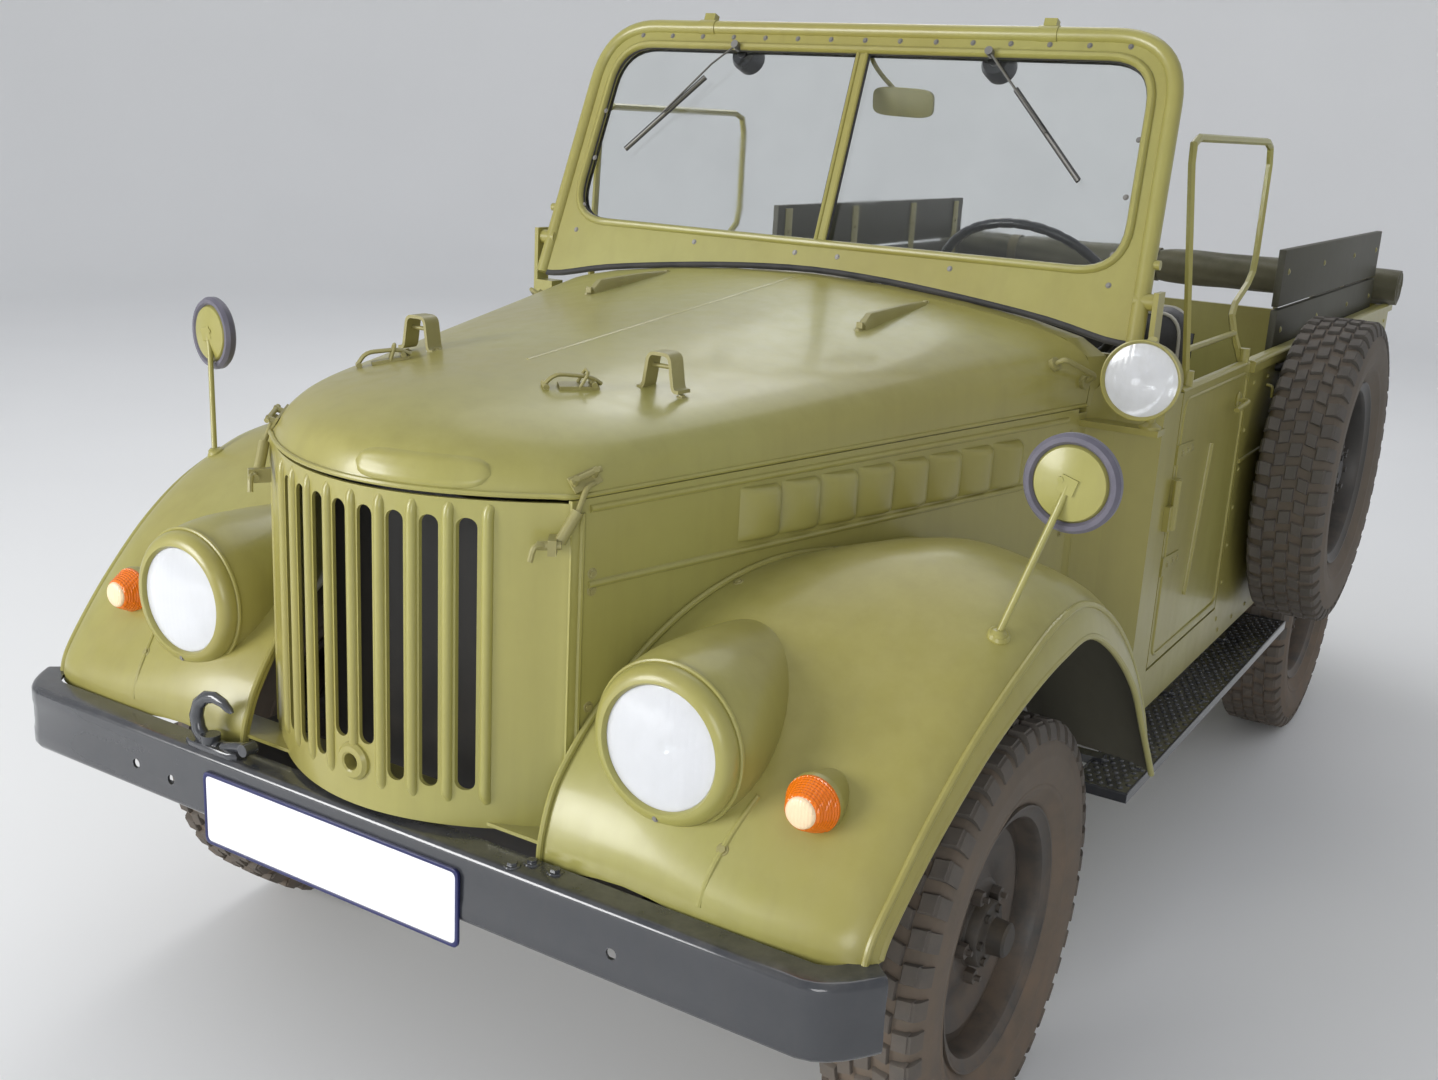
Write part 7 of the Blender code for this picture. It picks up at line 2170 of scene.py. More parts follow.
        ring = [side * (0.070 * math.copysign(abs(math.cos(t)) ** 0.45, math.cos(t)))
                + up * (0.029 * math.copysign(abs(math.sin(t)) ** 0.45, math.sin(t)))
                for t in circle(40)]
        back = side.cross(up).normalized()
        mirror.loft([[centre + p * g - back * b for p in ring]
                     for g, b in ((0.7, 0.016), (0.94, 0.012), (1.0, 0.004), (1.0, -0.004),
                                  (0.95, -0.005))])
        mirror.tube(rounded([self.point(0.0, self.HEIGHT - 0.03, 0.012),
                             self.point(0.01, self.HEIGHT - 0.06, 0.05), centre - back * 0.01],
                            0.03, 5), 0.005, 10)
        shop.piece("inside_mirror", "windscreen", ["olive_edge"], mirror, sharp=50)
        knobs = Form()
        for side in (1, -1):
            for up_at in (0.07, 0.34):
                x = side * (mix(self.FOOT, self.HEAD, up_at / self.HEIGHT) - 0.024)
                knobs.tube([self.point(x, up_at, 0.004), self.point(x, up_at, 0.026)], 0.004, 8)
                knobs.lathe([(0.0, 0.0), (0.0, 0.008), (0.004, 0.010), (0.012, 0.010),
                             (0.015, 0.006), (0.015, 0.0)], self.point(x, up_at, 0.02),
                            self.backward(), 16)
        shop.piece("windscreen_knobs", "windscreen", ["dull_steel"], knobs, sharp=40)


class Front:
    """Bumper with its hook and bolts, and the blank number plate in its carrier."""

    FACE, TOP, LOW, WALL, DEPTH = -0.6547, 0.605, 0.493, 0.006, 0.05
    # Columns: half width, place along, turn of the section in degrees
    END = ((0.76, -0.6547, 6), (0.7815, -0.6487, 18), (0.7987, -0.6382, 25), (0.815, -0.6232, 34),
           (0.8271, -0.6082, 42), (0.8371, -0.5942, 46), (0.846, -0.5797, 50))

    def make(self, shop: Workshop) -> None:
        """Builds bumper, hook and plate."""
        self._bumper(shop)
        self._plate(shop)

    def _ring(self, x: float, y: float, turn: float) -> Ring:
        """Rounded channel section at a place of the bumper's path.

        Args:
            x: place across, left positive.
            y: place along, from the front axle.
            turn: turn of the section in radians.

        Returns:
            The points, in order.
        """
        w, r, d = self.WALL, 0.011, self.DEPTH
        out = [(d, self.LOW), (d * 0.5, self.LOW)]
        out += [(r - r * math.sin(a), self.LOW + r - r * math.cos(a))
                for a in [math.radians(15 * k) for k in range(7)]]
        out += [(0.0, 0.52), (0.0016, 0.53), (0.0016, 0.568), (0.0, 0.578)]
        out += [(r - r * math.cos(a), self.TOP - r + r * math.sin(a))
                for a in [math.radians(15 * k) for k in range(7)]]
        out += [(d * 0.5, self.TOP), (d, self.TOP), (d, self.TOP - w), (w + 0.003, self.TOP - w),
                (w, self.TOP - w - 0.004), (w, self.LOW + w + 0.004), (w + 0.003, self.LOW + w),
                (d, self.LOW + w)]
        return [at(x - math.sin(turn) * a, y + math.cos(turn) * a, z) for a, z in out]

    def _bumper(self, shop: Workshop) -> None:
        """Channel with swept ends, square holes, bolts and the tow hook.

        Args:
            shop: makes and counts the pieces.
        """
        left = [(x, y, math.radians(t)) for x, y, t in self.END]
        straight = [(0.76 * k / 6, self.FACE, 0.0) for k in range(-5, 6)]
        path = [(-x, y, -t) for x, y, t in reversed(left)] + straight + left
        form = Form().loft([self._ring(*p) for p in path])
        cutters = [Form().tube([at(x, -0.70, z), at(x, -0.62, z)], 0.0085, 16)
                   for x, z in ((0.475, 0.539), (-0.413, 0.535), (-0.50, 0.539))]
        channel = shop.carved(form, cutters)
        hook, x, y = Form(), -0.328, -0.6297
        hook.loft([[at(x + sx * 0.060 * g, y + sy * 0.017 * g, z) for sx, sy in
                    ((-1, -0.6), (-0.75, -1), (0.75, -1), (1, -0.6), (1, 0.6), (0.75, 1),
                     (-0.75, 1), (-1, 0.6))] for g, z in ((1.0, 0.603), (1.0, 0.611), (0.94, 0.614))])
        shares = ((286, 1.0, 0.0115), (262, 0.98, 0.0115), (235, 0.98, 0.0112), (205, 1.0, 0.0108),
                  (175, 1.0, 0.0104), (145, 1.0, 0.0098), (115, 1.0, 0.009), (88, 1.0, 0.0082),
                  (62, 1.02, 0.0072), (42, 1.06, 0.0058), (34, 1.12, 0.003))
        rings = []
        for degrees, far, thick in shares:
            t = math.radians(degrees)
            out = Vector((math.cos(t), 0, math.sin(t)))
            centre = at(x, y, 0.605 + 0.044) + out * (0.0445 * far)
            rings.append([centre + (out * math.cos(u) + Vector((0, 1, 0)) * math.sin(u) * 0.85)
                          * thick * 1.2 for u in circle(14)])
        hook.loft(rings)
        hook.tube([at(x - 0.012, y, 0.606), at(x - 0.012, y, 0.628)], 0.016, 16)
        hook.tube([at(x + 0.018, y, 0.613), at(x + 0.05, y, 0.622), at(x + 0.075, y, 0.626)], 0.0085,
                  12)
        hook.tube([at(x + 0.075, y - 0.012, 0.626), at(x + 0.075, y + 0.012, 0.626)], 0.0105, 12)
        spots = [(at(px, py, 0.6052), Axis.UP.value) for px, py in
                 ((0.293, -0.640), (0.352, -0.618), (0.31, -0.617), (-0.302, -0.618),
                  (-0.386, -0.618))]
        shop.piece("front_bumper_dressed", "body", ["black_enamel"], hook,
                   [channel, shop.bolts(spots, 0.0085, 0.006, "black_enamel")], sharp=32,
                   stands_for=("front_bumper",))

    def _plate(self, shop: Workshop) -> None:
        """Blank white plate in a dark blue carrier.

        Args:
            shop: makes and counts the pieces.
        """
        lo, hi = (-0.326, 0.453), (0.211, 0.578)

        def ring(inset: float, y: float, corner: float) -> Ring:
            """Rounded outline of the plate.

            Args:
                inset: distance inside the carrier's edge.
                y: place along, from the front axle.
                corner: radius of the corners.

            Returns:
                The points, in order.
            """
            flat = rounded([Vector((x, z, 0)) for x, z in
                            ((lo[0] + inset, lo[1] + inset), (hi[0] - inset, lo[1] + inset),
                             (hi[0] - inset, hi[1] - inset), (lo[0] + inset, hi[1] - inset))],
                           corner, 5, closed=True)
            return [at(p.x, y, p.y) for p in flat]
        form = Form()
        form.loft([ring(0.0064, -0.6563, 0.009), ring(0.0058, -0.6585, 0.009),
                   ring(0.0066, -0.6591, 0.009), ring(0.009, -0.6591, 0.008),
                   ring(0.0096, -0.6586, 0.008)])
        form.slot = 1
        form.loft([ring(0.0, -0.6552, 0.012), ring(0.0, -0.6592, 0.012), ring(0.001, -0.66, 0.012),
                   ring(0.0046, -0.66, 0.010), ring(0.0058, -0.6593, 0.010),
                   ring(0.0058, -0.6560, 0.010)])
        shop.piece("number_plate_dressed", "body", ["plate_white", "plate_blue"], form, sharp=34,
                   stands_for=("number_plate",))


class Outside:
    """Running boards, search lamp, door fittings, tail fittings, rivets and underside nuts."""

    def make(self, shop: Workshop) -> None:
        """Builds all that sits outside on the tub.

        Args:
            shop: makes and counts the pieces.
        """
        for name, side in SIDES.items():
            self._step(shop, name, side)
            self._door(shop, name, side)
            self._tail_lamp(shop, name, side)
        self._search_lamp(shop)
        self._tail(shop)
        self._body(shop)
        self._underside(shop)

    def _step(self, shop: Workshop, name: str, side: int) -> None:
        """Tread plate with raised studs, a folded edge and bolts.

        Args:
            shop: makes and counts the pieces.
            name: left or right.
            side: 1 for left, -1 for right.
        """
        form = Form()
        x0, x1, y0, y1, z = 0.701, 0.8085, 0.5515, 1.8785, 0.4252
        stud = Form().lathe([(0.0, 0.0), (0.0, 0.0058), (0.0016, 0.0050), (0.0024, 0.0035),
                             (0.0024, 0.0)], Vector((0, 0, 0)), Axis.UP.value, 8)
        studs = shop.copies(shop.repeats.grid, stud, "black_enamel", Columns=5, Rows=61, **{
            "Column Step": (0.0195, 0, 0), "Row Step": (0, 0.0215, 0),
            "Row Shift": (0.0097, 0, 0)})
        shop.moved(studs, at(side * 0.755 - 0.0438, 0.571, z - 0.0002))
        for a, b in (((x0, y0), (x0, y1)), ((x1, y0), (x1, y1)), ((x0, y0), (x1, y0)),
                     ((x0, y1), (x1, y1))):
            form.tube([at(side * a[0], a[1], z - 0.001), at(side * b[0], b[1], z - 0.001)], 0.0026, 8)
        spots = [(at(side * x, 0.55 + 1.33 * share, z), Axis.UP.value)
                 for share in (0.1, 0.45, 0.8) for x in (0.72, 0.79)]
        under = [(at(side * x, 0.55 + 1.33 * share, 0.4048), -Axis.UP.value)
                 for share in (0.1, 0.45, 0.8) for x in (0.735, 0.78)]
        shop.piece(f"step_tread_{name}", "body", ["black_enamel"], form,
                   [studs, shop.bolts(spots + under, 0.007, 0.0035, "black_enamel")], sharp=40)

    def _door(self, shop: Workshop, name: str, side: int) -> None:
        """Door pressing, handle, latch, sockets of the curtain frame and hinge straps.

        Args:
            shop: makes and counts the pieces.
            name: left or right.
            side: 1 for left, -1 for right.
        """
        form, body = Form(), f"door_{name}"
        x = side * SKIN_X

        def ring(inset: float, out: float) -> Ring:
            """Rounded outline of the door, inset and moved outward.

            Args:
                inset: distance inside the door's edge.
                out: distance outward.

            Returns:
                The points, in order.
            """
            flat = rounded([Vector((y, z, 0)) for y, z in
                            ((0.836 + inset, 0.606 + inset), (1.320 - inset, 0.606 + inset),
                             (1.320 - inset, 1.137 - inset), (0.836 + inset, 1.137 - inset))],
                           0.03, 6, closed=True)
            return [at(x + side * out, p.x, p.y) for p in flat]
        form.tube(ring(0.0, -0.0014), 0.0044, 8, closed=True)
        form.tube([at(x - side * 0.001, 1.082, 1.015), at(x - side * 0.001, 1.028, 0.70)], 0.0075, 12)
        form.tube([at(side * 0.733, 0.818, 1.156), at(side * 0.733, 1.338, 1.156)], 0.0125, 12,
                  flat=0.5)
        handle = [at(x, 1.262, 1.085), at(x + side * 0.024, 1.262, 1.085),
                  at(x + side * 0.026, 1.245, 1.083), at(x + side * 0.024, 1.165, 1.077)]
        form.lathe([(0.0, 0.0), (0.0, 0.017), (0.003, 0.018), (0.006, 0.014), (0.006, 0.0)],
                   at(x, 1.262, 1.085), Axis.LEFT.value * side, 24)
        form.tube(rounded(handle, 0.01, 5), 0.0062, 12, flat=0.8)
        for y in (0.872, 1.318):
            form.tube([at(side * 0.733, y, 1.146), at(side * 0.733, y, 1.19)], 0.0118, 16)
        for z in (0.80, 1.03):
            form.loft([[at(side * xx, yy, zz) for yy, zz in ((0.819, z - 0.02), (0.93, z - 0.014),
                                                             (0.938, z), (0.93, z + 0.014),
                                                             (0.819, z + 0.02))]
                       for xx in (0.7445, 0.7482)])
        spots = [(at(side * 0.7482, y, z), Axis.LEFT.value * side) for z in (0.80, 1.03)
                 for y in (0.85, 0.885, 0.918)]
        shop.piece(f"door_fittings_{name}", body, ["olive_paint"], form,
                   [shop.bolts(spots, 0.0055, 0.0032, "olive_edge")], sharp=38)
        pull = Form()
        inner = side * 0.7205
        pull.tube(rounded([at(inner, 1.15, 1.05), at(inner - side * 0.03, 1.15, 1.05),
                           at(inner - side * 0.03, 1.27, 1.05), at(inner, 1.27, 1.05)], 0.015, 4),
                  0.006, 10)
        pull.block(at(min(inner, inner - side * 0.012), 1.285, 1.02),
                   at(max(inner, inner - side * 0.012), 1.325, 1.08))
        pull.tube([at(inner, 1.30, 1.05), at(inner - side * 0.02, 1.30, 1.05),
                   at(inner - side * 0.022, 1.25, 1.035)], 0.0048, 10)
        shop.piece(f"door_latch_{name}", body, ["dull_steel"], pull, sharp=40)

    def _tail_lamp(self, shop: Workshop, name: str, side: int) -> None:
        """Round red tail lamp on the body's rear corner.

        Args:
            shop: makes and counts the pieces.
            name: left or right.
            side: 1 for left, -1 for right.
        """
        c, axis = at(side * 0.675, 3.1502, 0.86), Axis.REAR.value
        form = Form().lathe([(0.0, 0.0), (0.0, 0.038), (0.010, 0.038), (0.013, 0.034),
                             (0.013, 0.0)], c, axis, 40)
        form.slot = 1
        form.lathe([(0.012, 0.0), (0.012, 0.0325), (0.020, 0.031), (0.026, 0.022), (0.0285, 0.010),
                    (0.029, 0.0)], c, axis, 40)
        shop.piece(f"tail_lamp_{name}", "body", ["black_enamel", "red_lens"], form, sharp=40)

    def _search_lamp(self, shop: Workshop) -> None:
        """Search lamp on its swivel: shell, rim, fluted lens, reflector and fork.

        Args:
            shop: makes and counts the pieces.
        """
        x = 0.748
        c, axis = at(x, 0.50, 1.215), Axis.REAR.value
        form = Form()
        form.lathe([(0.0085, 0.064), (0.004, 0.066), (0.0005, 0.0695), (0.001, 0.0712),
                    (0.006, 0.0718), (0.012, 0.0712), (0.016, 0.0695), (0.024, 0.0685),
                    (0.045, 0.064), (0.066, 0.053), (0.084, 0.036), (0.095, 0.018), (0.099, 0.006),
                    (0.0995, 0.0), (0.09, 0.0), (0.08, 0.03), (0.06, 0.05), (0.03, 0.064)], c,
                   axis, 64)
        foot = at(x, 0.600, 1.1155)
        form.tube(rounded([foot, at(x, 0.600, 1.16), at(x, 0.575, 1.19), at(x, 0.565, 1.205)],
                          0.02, 5), 0.0085, 14)
        form.lathe([(0.0, 0.0), (0.0, 0.02), (0.005, 0.02), (0.009, 0.013), (0.012, 0.0095),
                    (0.012, 0.0)], foot, Axis.UP.value, 24)
        form.tube([at(x, 0.545, 1.283), at(x, 0.560, 1.262)], 0.009, 14)
        form.slot = 1
        form.lathe([(0.052, 0.0), (0.050, 0.018), (0.04, 0.042), (0.02, 0.060), (0.010, 0.0655),
                    (0.0085, 0.0645), (0.018, 0.059), (0.038, 0.041), (0.048, 0.018),
                    (0.050, 0.0)], c, axis, 56)
        form.slot = 2
        dome = [(0.0012 + 0.0060 * (r / 0.066) ** 2, r) for r in (0, 0.012, 0.026, 0.04, 0.052,
                                                                0.061, 0.066)]
        form.lathe(dome + [(x + 0.003, r) for x, r in reversed(dome)], c, axis, 56)
        form.slot = 3
        form.lathe([(0.024, 0.0), (0.0245, 0.006), (0.03, 0.010), (0.05, 0.010), (0.05, 0.0)], c,
                   axis, 20)
        shop.piece("search_lamp_dressed", "body",
                   ["olive_paint", "mirror_silver", "lamp_lens", "clear_glass"], form, sharp=36,
                   stands_for=("search_lamp",))

    def _tail(self, shop: Workshop) -> None:
        """Tailgate latches, handles and rear hooks.

        Args:
            shop: makes and counts the pieces.
        """
        form = Form()
        for side in (1, -1):
            for z in (0.72, 1.0):
                form.loft([[at(side * x, yy, z + dz) for x, dz in
                            ((0.50, -0.013), (0.588, -0.018), (0.588, 0.018), (0.50, 0.013))]
                           for yy in (3.1503, 3.1545)])
            form.tube(rounded([at(side * 0.46, 3.151, 1.04), at(side * 0.46, 3.172, 1.04),
                               at(side * 0.38, 3.172, 1.04), at(side * 0.38, 3.151, 1.04)], 0.01, 4),
                      0.0055, 10)
            form.tube([at(side * 0.592, 3.153, 1.072), at(side * 0.56, 3.153, 1.072)], 0.009, 12)
        spots = [(at(side * x, 3.1545, z), Axis.REAR.value) for side in (1, -1)
                 for x in (0.515, 0.55) for z in (0.72, 1.0)]
        shop.piece("tailgate_fittings", "tailgate", ["olive_paint"], form,
                   [shop.bolts(spots, 0.0055, 0.0035, "olive_edge")], sharp=38)

    def _body(self, shop: Workshop) -> None:
        """Rivets and beads of the tub, tilt hooks and the spare's carrier.

        Args:
            shop: makes and counts the pieces.
        """
        form = Form()
        for side in (1, -1):
            x = side * 0.7446
            form.tube([at(x, 1.36, 0.93), at(x, 3.12, 0.93)], 0.0052, 8)
            arch = [at(side * 0.757, WHEELBASE + 0.431 * math.cos(a), 0.3668 + 0.431 * math.sin(a))
                    for a in [math.radians(17 + 4.87 * k) for k in range(31)]]
            form.tube(arch, 0.0062, 10)
            form.tube([at(side * 0.7435, 1.348, 1.1545), at(side * 0.7435, 3.148, 1.1545)], 0.0125, 12,
                      flat=0.55)
            for y in (1.50, 1.78, 2.06, 2.34, 2.62, 2.9):
                form.tube(rounded([at(side * 0.752, y, 1.09), at(side * 0.766, y, 1.088),
                                   at(side * 0.767, y, 1.062)], 0.006, 3), 0.0036, 8)
        rivets = [(at(side * SKIN_X, y, z), Axis.LEFT.value * side) for side in (1, -1)
                  for z, ys in ((1.105, range(14)), (0.515, range(3))) for y in
                  [1.40 + 0.13 * k for k in ys]]
        rivets += [(at(side * SKIN_X, 1.37, 0.55 + 0.09 * k), Axis.LEFT.value * side)
                   for side in (1, -1) for k in range(6)]
        rivets += [(at(side * 0.64, 3.1502, 0.62 + 0.07 * k), Axis.REAR.value)
                   for side in (1, -1) for k in range(8) if abs(0.62 + 0.07 * k - 0.86) > 0.05]
        shop.piece("body_trim", "body", ["olive_paint"], form,
                   [shop.bolts(rivets, 0.0048, 0.0026, "olive_paint", 12)], sharp=40)
        carrier = Form()
        carrier.tube([at(SKIN_X, 1.725, 0.87), at(0.84, 1.725, 0.87)], 0.028, 24)
        carrier.lathe([(0.0, 0.0), (0.0, 0.085), (0.005, 0.085), (0.02, 0.05), (0.02, 0.0)],
                      at(SKIN_X, 1.725, 0.87), Axis.LEFT.value, 32)
        carrier.tube(rounded([at(0.7455, 1.60, 1.12), at(0.757, 1.60, 1.12), at(0.757, 1.85, 1.12),
                              at(0.7455, 1.85, 1.12)], 0.01, 4), 0.009, 10)
        shop.piece("spare_carrier", "body", ["chassis_black"], carrier, sharp=38)

    def _underside(self, shop: Workshop) -> None:
        """Spring clips and nuts under the car.

        Args:
            shop: makes and counts the pieces.
        """
        form, spots = Form(), []
        for y in (0.0, WHEELBASE):
            for side in (1, -1):
                for dy in (-0.04, 0.04):
                    form.tube(rounded([at(side * 0.36 + dx, y + dy, z) for dx, z in (
                        (-0.031, 0.33), (-0.031, 0.452), (0.031, 0.452), (0.031, 0.33))],
                        0.012, 4), 0.005, 8)
                    spots += [(at(side * 0.36 + dx, y + dy, 0.335), -Axis.UP.value)
                              for dx in (-0.031, 0.031)]
        for y in (0.9, 1.5, 2.1, 2.7):
            spots += [(at(side * 0.3851, y, 0.548), Axis.LEFT.value * side) for side in (1, -1)]
        shop.piece("underside_nuts", "body", ["chassis_black"], form,
                   [shop.bolts(spots, 0.008, 0.007, "chassis_black")], sharp=40)


class Cushions:
    """Padded seats of leathercloth with light piping, blown up as cloth and stitched."""

    VOXEL, PRESSURE, FRAMES, CAP = 0.012, 3.5, 16, 0.014
    # Half width, half depth and half thickness, then place along, height and tilt in degrees
    PADS = {"base": (0.236, 0.205, 0.062, 1.197, 0.806, 3.5),
            "back": (0.232, 0.192, 0.043, 1.402, 1.078, 96.5)}

    def __init__(self) -> None:
        """No cushion made yet."""
        self.made: dict[str, bpy.types.Mesh] = {}

    def make(self, shop: Workshop) -> None:
        """Builds both seats: cushions, piping and the steel frames that carry them.

        Args:
            shop: makes and counts the pieces.
        """
        for name, side in SIDES.items():
            x = side * 0.37
            pads = [self._pad(shop, pad, *sizes[:3]) for pad, sizes in self.PADS.items()]
            seats = [shop.moved(mesh.copy(), at(x, y, z), self._tilt(degrees))
                     for mesh, (*_, y, z, degrees) in zip(pads, self.PADS.values())]
            shop.piece(f"seat_{name}_cushions", "body", ["leathercloth"], None, seats, sharp=60,
                       stands_for=(f"seat_{name}",))
            self._piping(shop, name, x)
            self._frame(shop, name, x)

    def _tilt(self, degrees: float) -> Matrix:
        """Turn of a cushion about the car's width."""
        return Matrix.Rotation(math.radians(degrees), 3, "X")

    def _plan(self, half: float, deep: float, inset: float = 0.0, pull: float = 0.0) -> Ring:
        """Rounded plan of a cushion whose sides pull in between its corners.

        Args:
            half: half width.
            deep: half depth.
            inset: distance inside the outline.
            pull: how far the sides pull in.

        Returns:
            The points, in order.
        """
        ring = rounded([Vector((sx * (half - inset), sy * (deep - inset), 0)) for sx, sy in
                        ((-1, -1), (1, -1), (1, 1), (-1, 1))], 0.06, 6, closed=True)
        return [Vector((p.x * (1 - pull * max(1 - (p.y / deep) ** 2, 0)),
                        p.y * (1 - pull * max(1 - (p.x / half) ** 2, 0)), 0)) for p in ring]

    def _pad(self, shop: Workshop, name: str, half: float, deep: float,
             thick: float) -> bpy.types.Mesh:
        """A cushion about its own middle, blown up by a cloth simulation.

        Args:
            shop: makes and counts the pieces.
            name: the pad's name.
            half: half width.
            deep: half depth.
            thick: half thickness.

        Returns:
            The pad's mesh.
        """
        if name in self.made:
            return self.made[name]
        rings = []
        for inset, z in ((0.05, -1.0), (0.012, -0.96), (0.0, -0.7), (0.0, 0.7), (0.012, 0.96),
                         (0.05, 1.0)):
            rings.append([p + Vector((0, 0, z * thick)) for p in
                          self._plan(half - 0.008, deep - 0.008, inset, 0.015)])
        mesh = Form().loft(rings).mesh(name)
        thing = placed(name, mesh)
        remesh = thing.modifiers.new("Remesh", "REMESH")
        remesh.mode, remesh.voxel_size = "VOXEL", self.VOXEL
        shop.settle(thing)
        start = [v.co.copy() for v in thing.data.vertices]
        cloth = thing.modifiers.new("Cloth", "CLOTH")
        cloth.settings.effector_weights.gravity = 0.0
        cloth.settings.use_pressure = True
        cloth.settings.uniform_pressure_force = self.PRESSURE
        cloth.point_cache.frame_end = self.FRAMES + 4
        for frame_number in range(1, self.FRAMES + 1):
            bpy.context.scene.frame_set(frame_number)
        shop.settle(thing)
        bpy.context.scene.frame_set(1)
        for vertex, old in zip(thing.data.vertices, start):
            move = vertex.co - old
            if move.length > self.CAP:
                vertex.co = old + move.normalized() * self.CAP
        for vertex in thing.data.vertices:
            self._sew(vertex.co, half, deep, thick)
        smooth = thing.modifiers.new("Subdivision", "SUBSURF")
        smooth.levels = smooth.render_levels = 1
        shop.settle(thing)
        mesh = thing.data
        bpy.data.objects.remove(thing)
        mesh.materials.clear()
        mesh.materials.append(shop.finish("leathercloth"))
        self.made[name] = mesh
        return mesh

    def _sew(self, p: Point, half: float, deep: float, thick: float) -> None:
        """Crowns a cushion's face and sinks its sewn channels and its edge seam.

        Args:
            p: a point of the pad, moved in place.
            half: half width.
            deep: half depth.
            thick: half thickness.
        """
        u, v = min(abs(p.x) / half, 1), min(abs(p.y) / deep, 1)
        if p.z > 0:
            p.z += 0.012 * (1 - u ** 2.5) * (1 - v ** 2.5)
            channel = min(abs(p.x - c) for c in (-0.118, -0.039, 0.039, 0.118))
            p.z -= 0.009 * math.exp(-(channel / 0.009) ** 2) * (1 - v ** 6)
        seam = math.exp(-((p.z - thick * 0.62) / 0.006) ** 2)
        p.x *= 1 - 0.012 * seam
        p.y *= 1 - 0.012 * seam

    def _piping(self, shop: Workshop, name: str, x: float) -> None:
        """Light piping round the faces of both cushions.

        Args:
            shop: makes and counts the pieces.
            name: left or right.
            x: place across of the seat.
        """
        form = Form()
        for pad, (half, deep, thick, y, z, degrees) in self.PADS.items():
            place, turn = at(x, y, z), self._tilt(degrees)
            tree = BVHTree.FromPolygons([v.co for v in self.made[pad].vertices],
                                        [f.vertices for f in self.made[pad].polygons])
            for level in (0.80, -0.75):
                ring = []
                for p in self._plan(half, deep):
                    out = p.normalized()
                    far = p * 1.3 + Vector((0, 0, thick * level))
                    hit = tree.ray_cast(far, -out)[0]
                    ring.append(place + turn @ ((hit or far) + out * 0.0025))
                form.tube(ring, 0.0042, 8, closed=True)
        shop.piece(f"seat_{name}_piping", "body", ["pale_piping"], form, sharp=60)

    def _frame(self, shop: Workshop, name: str, x: float) -> None:
        """Tube legs, back frame and base plate of a seat.

        Args:
            shop: makes and counts the pieces.
            name: left or right.
            x: place across of the seat.
        """
        form = Form()
        for dx in (-0.2, 0.2):
            form.tube(rounded([at(x + dx, 1.04, 0.6128), at(x + dx, 1.02, 0.735),
                               at(x + dx, 1.37, 0.715), at(x + dx, 1.39, 0.6128)], 0.04, 5),
                      0.0105, 12)
            form.tube(rounded([at(x + dx, 1.36, 0.72), at(x + dx, 1.425, 0.75),
                               at(x + dx, 1.462, 1.10), at(x + dx, 1.473, 1.19)], 0.05, 5),
                      0.0095, 12)
            for y in (1.04, 1.39):
                form.lathe([(0.0, 0.0), (0.0, 0.022), (0.004, 0.022), (0.006, 0.013),
                            (0.006, 0.0)], at(x + dx, y, 0.6124), Axis.UP.value, 20)
        form.tube([at(x - 0.2, 1.462, 1.10), at(x + 0.2, 1.462, 1.10)], 0.0085, 12)
        form.block(at(x - 0.215, 1.005, 0.729), at(x + 0.215, 1.385, 0.739))
        shop.piece(f"seat_{name}_frame", "body", ["black_enamel"], form, sharp=40)


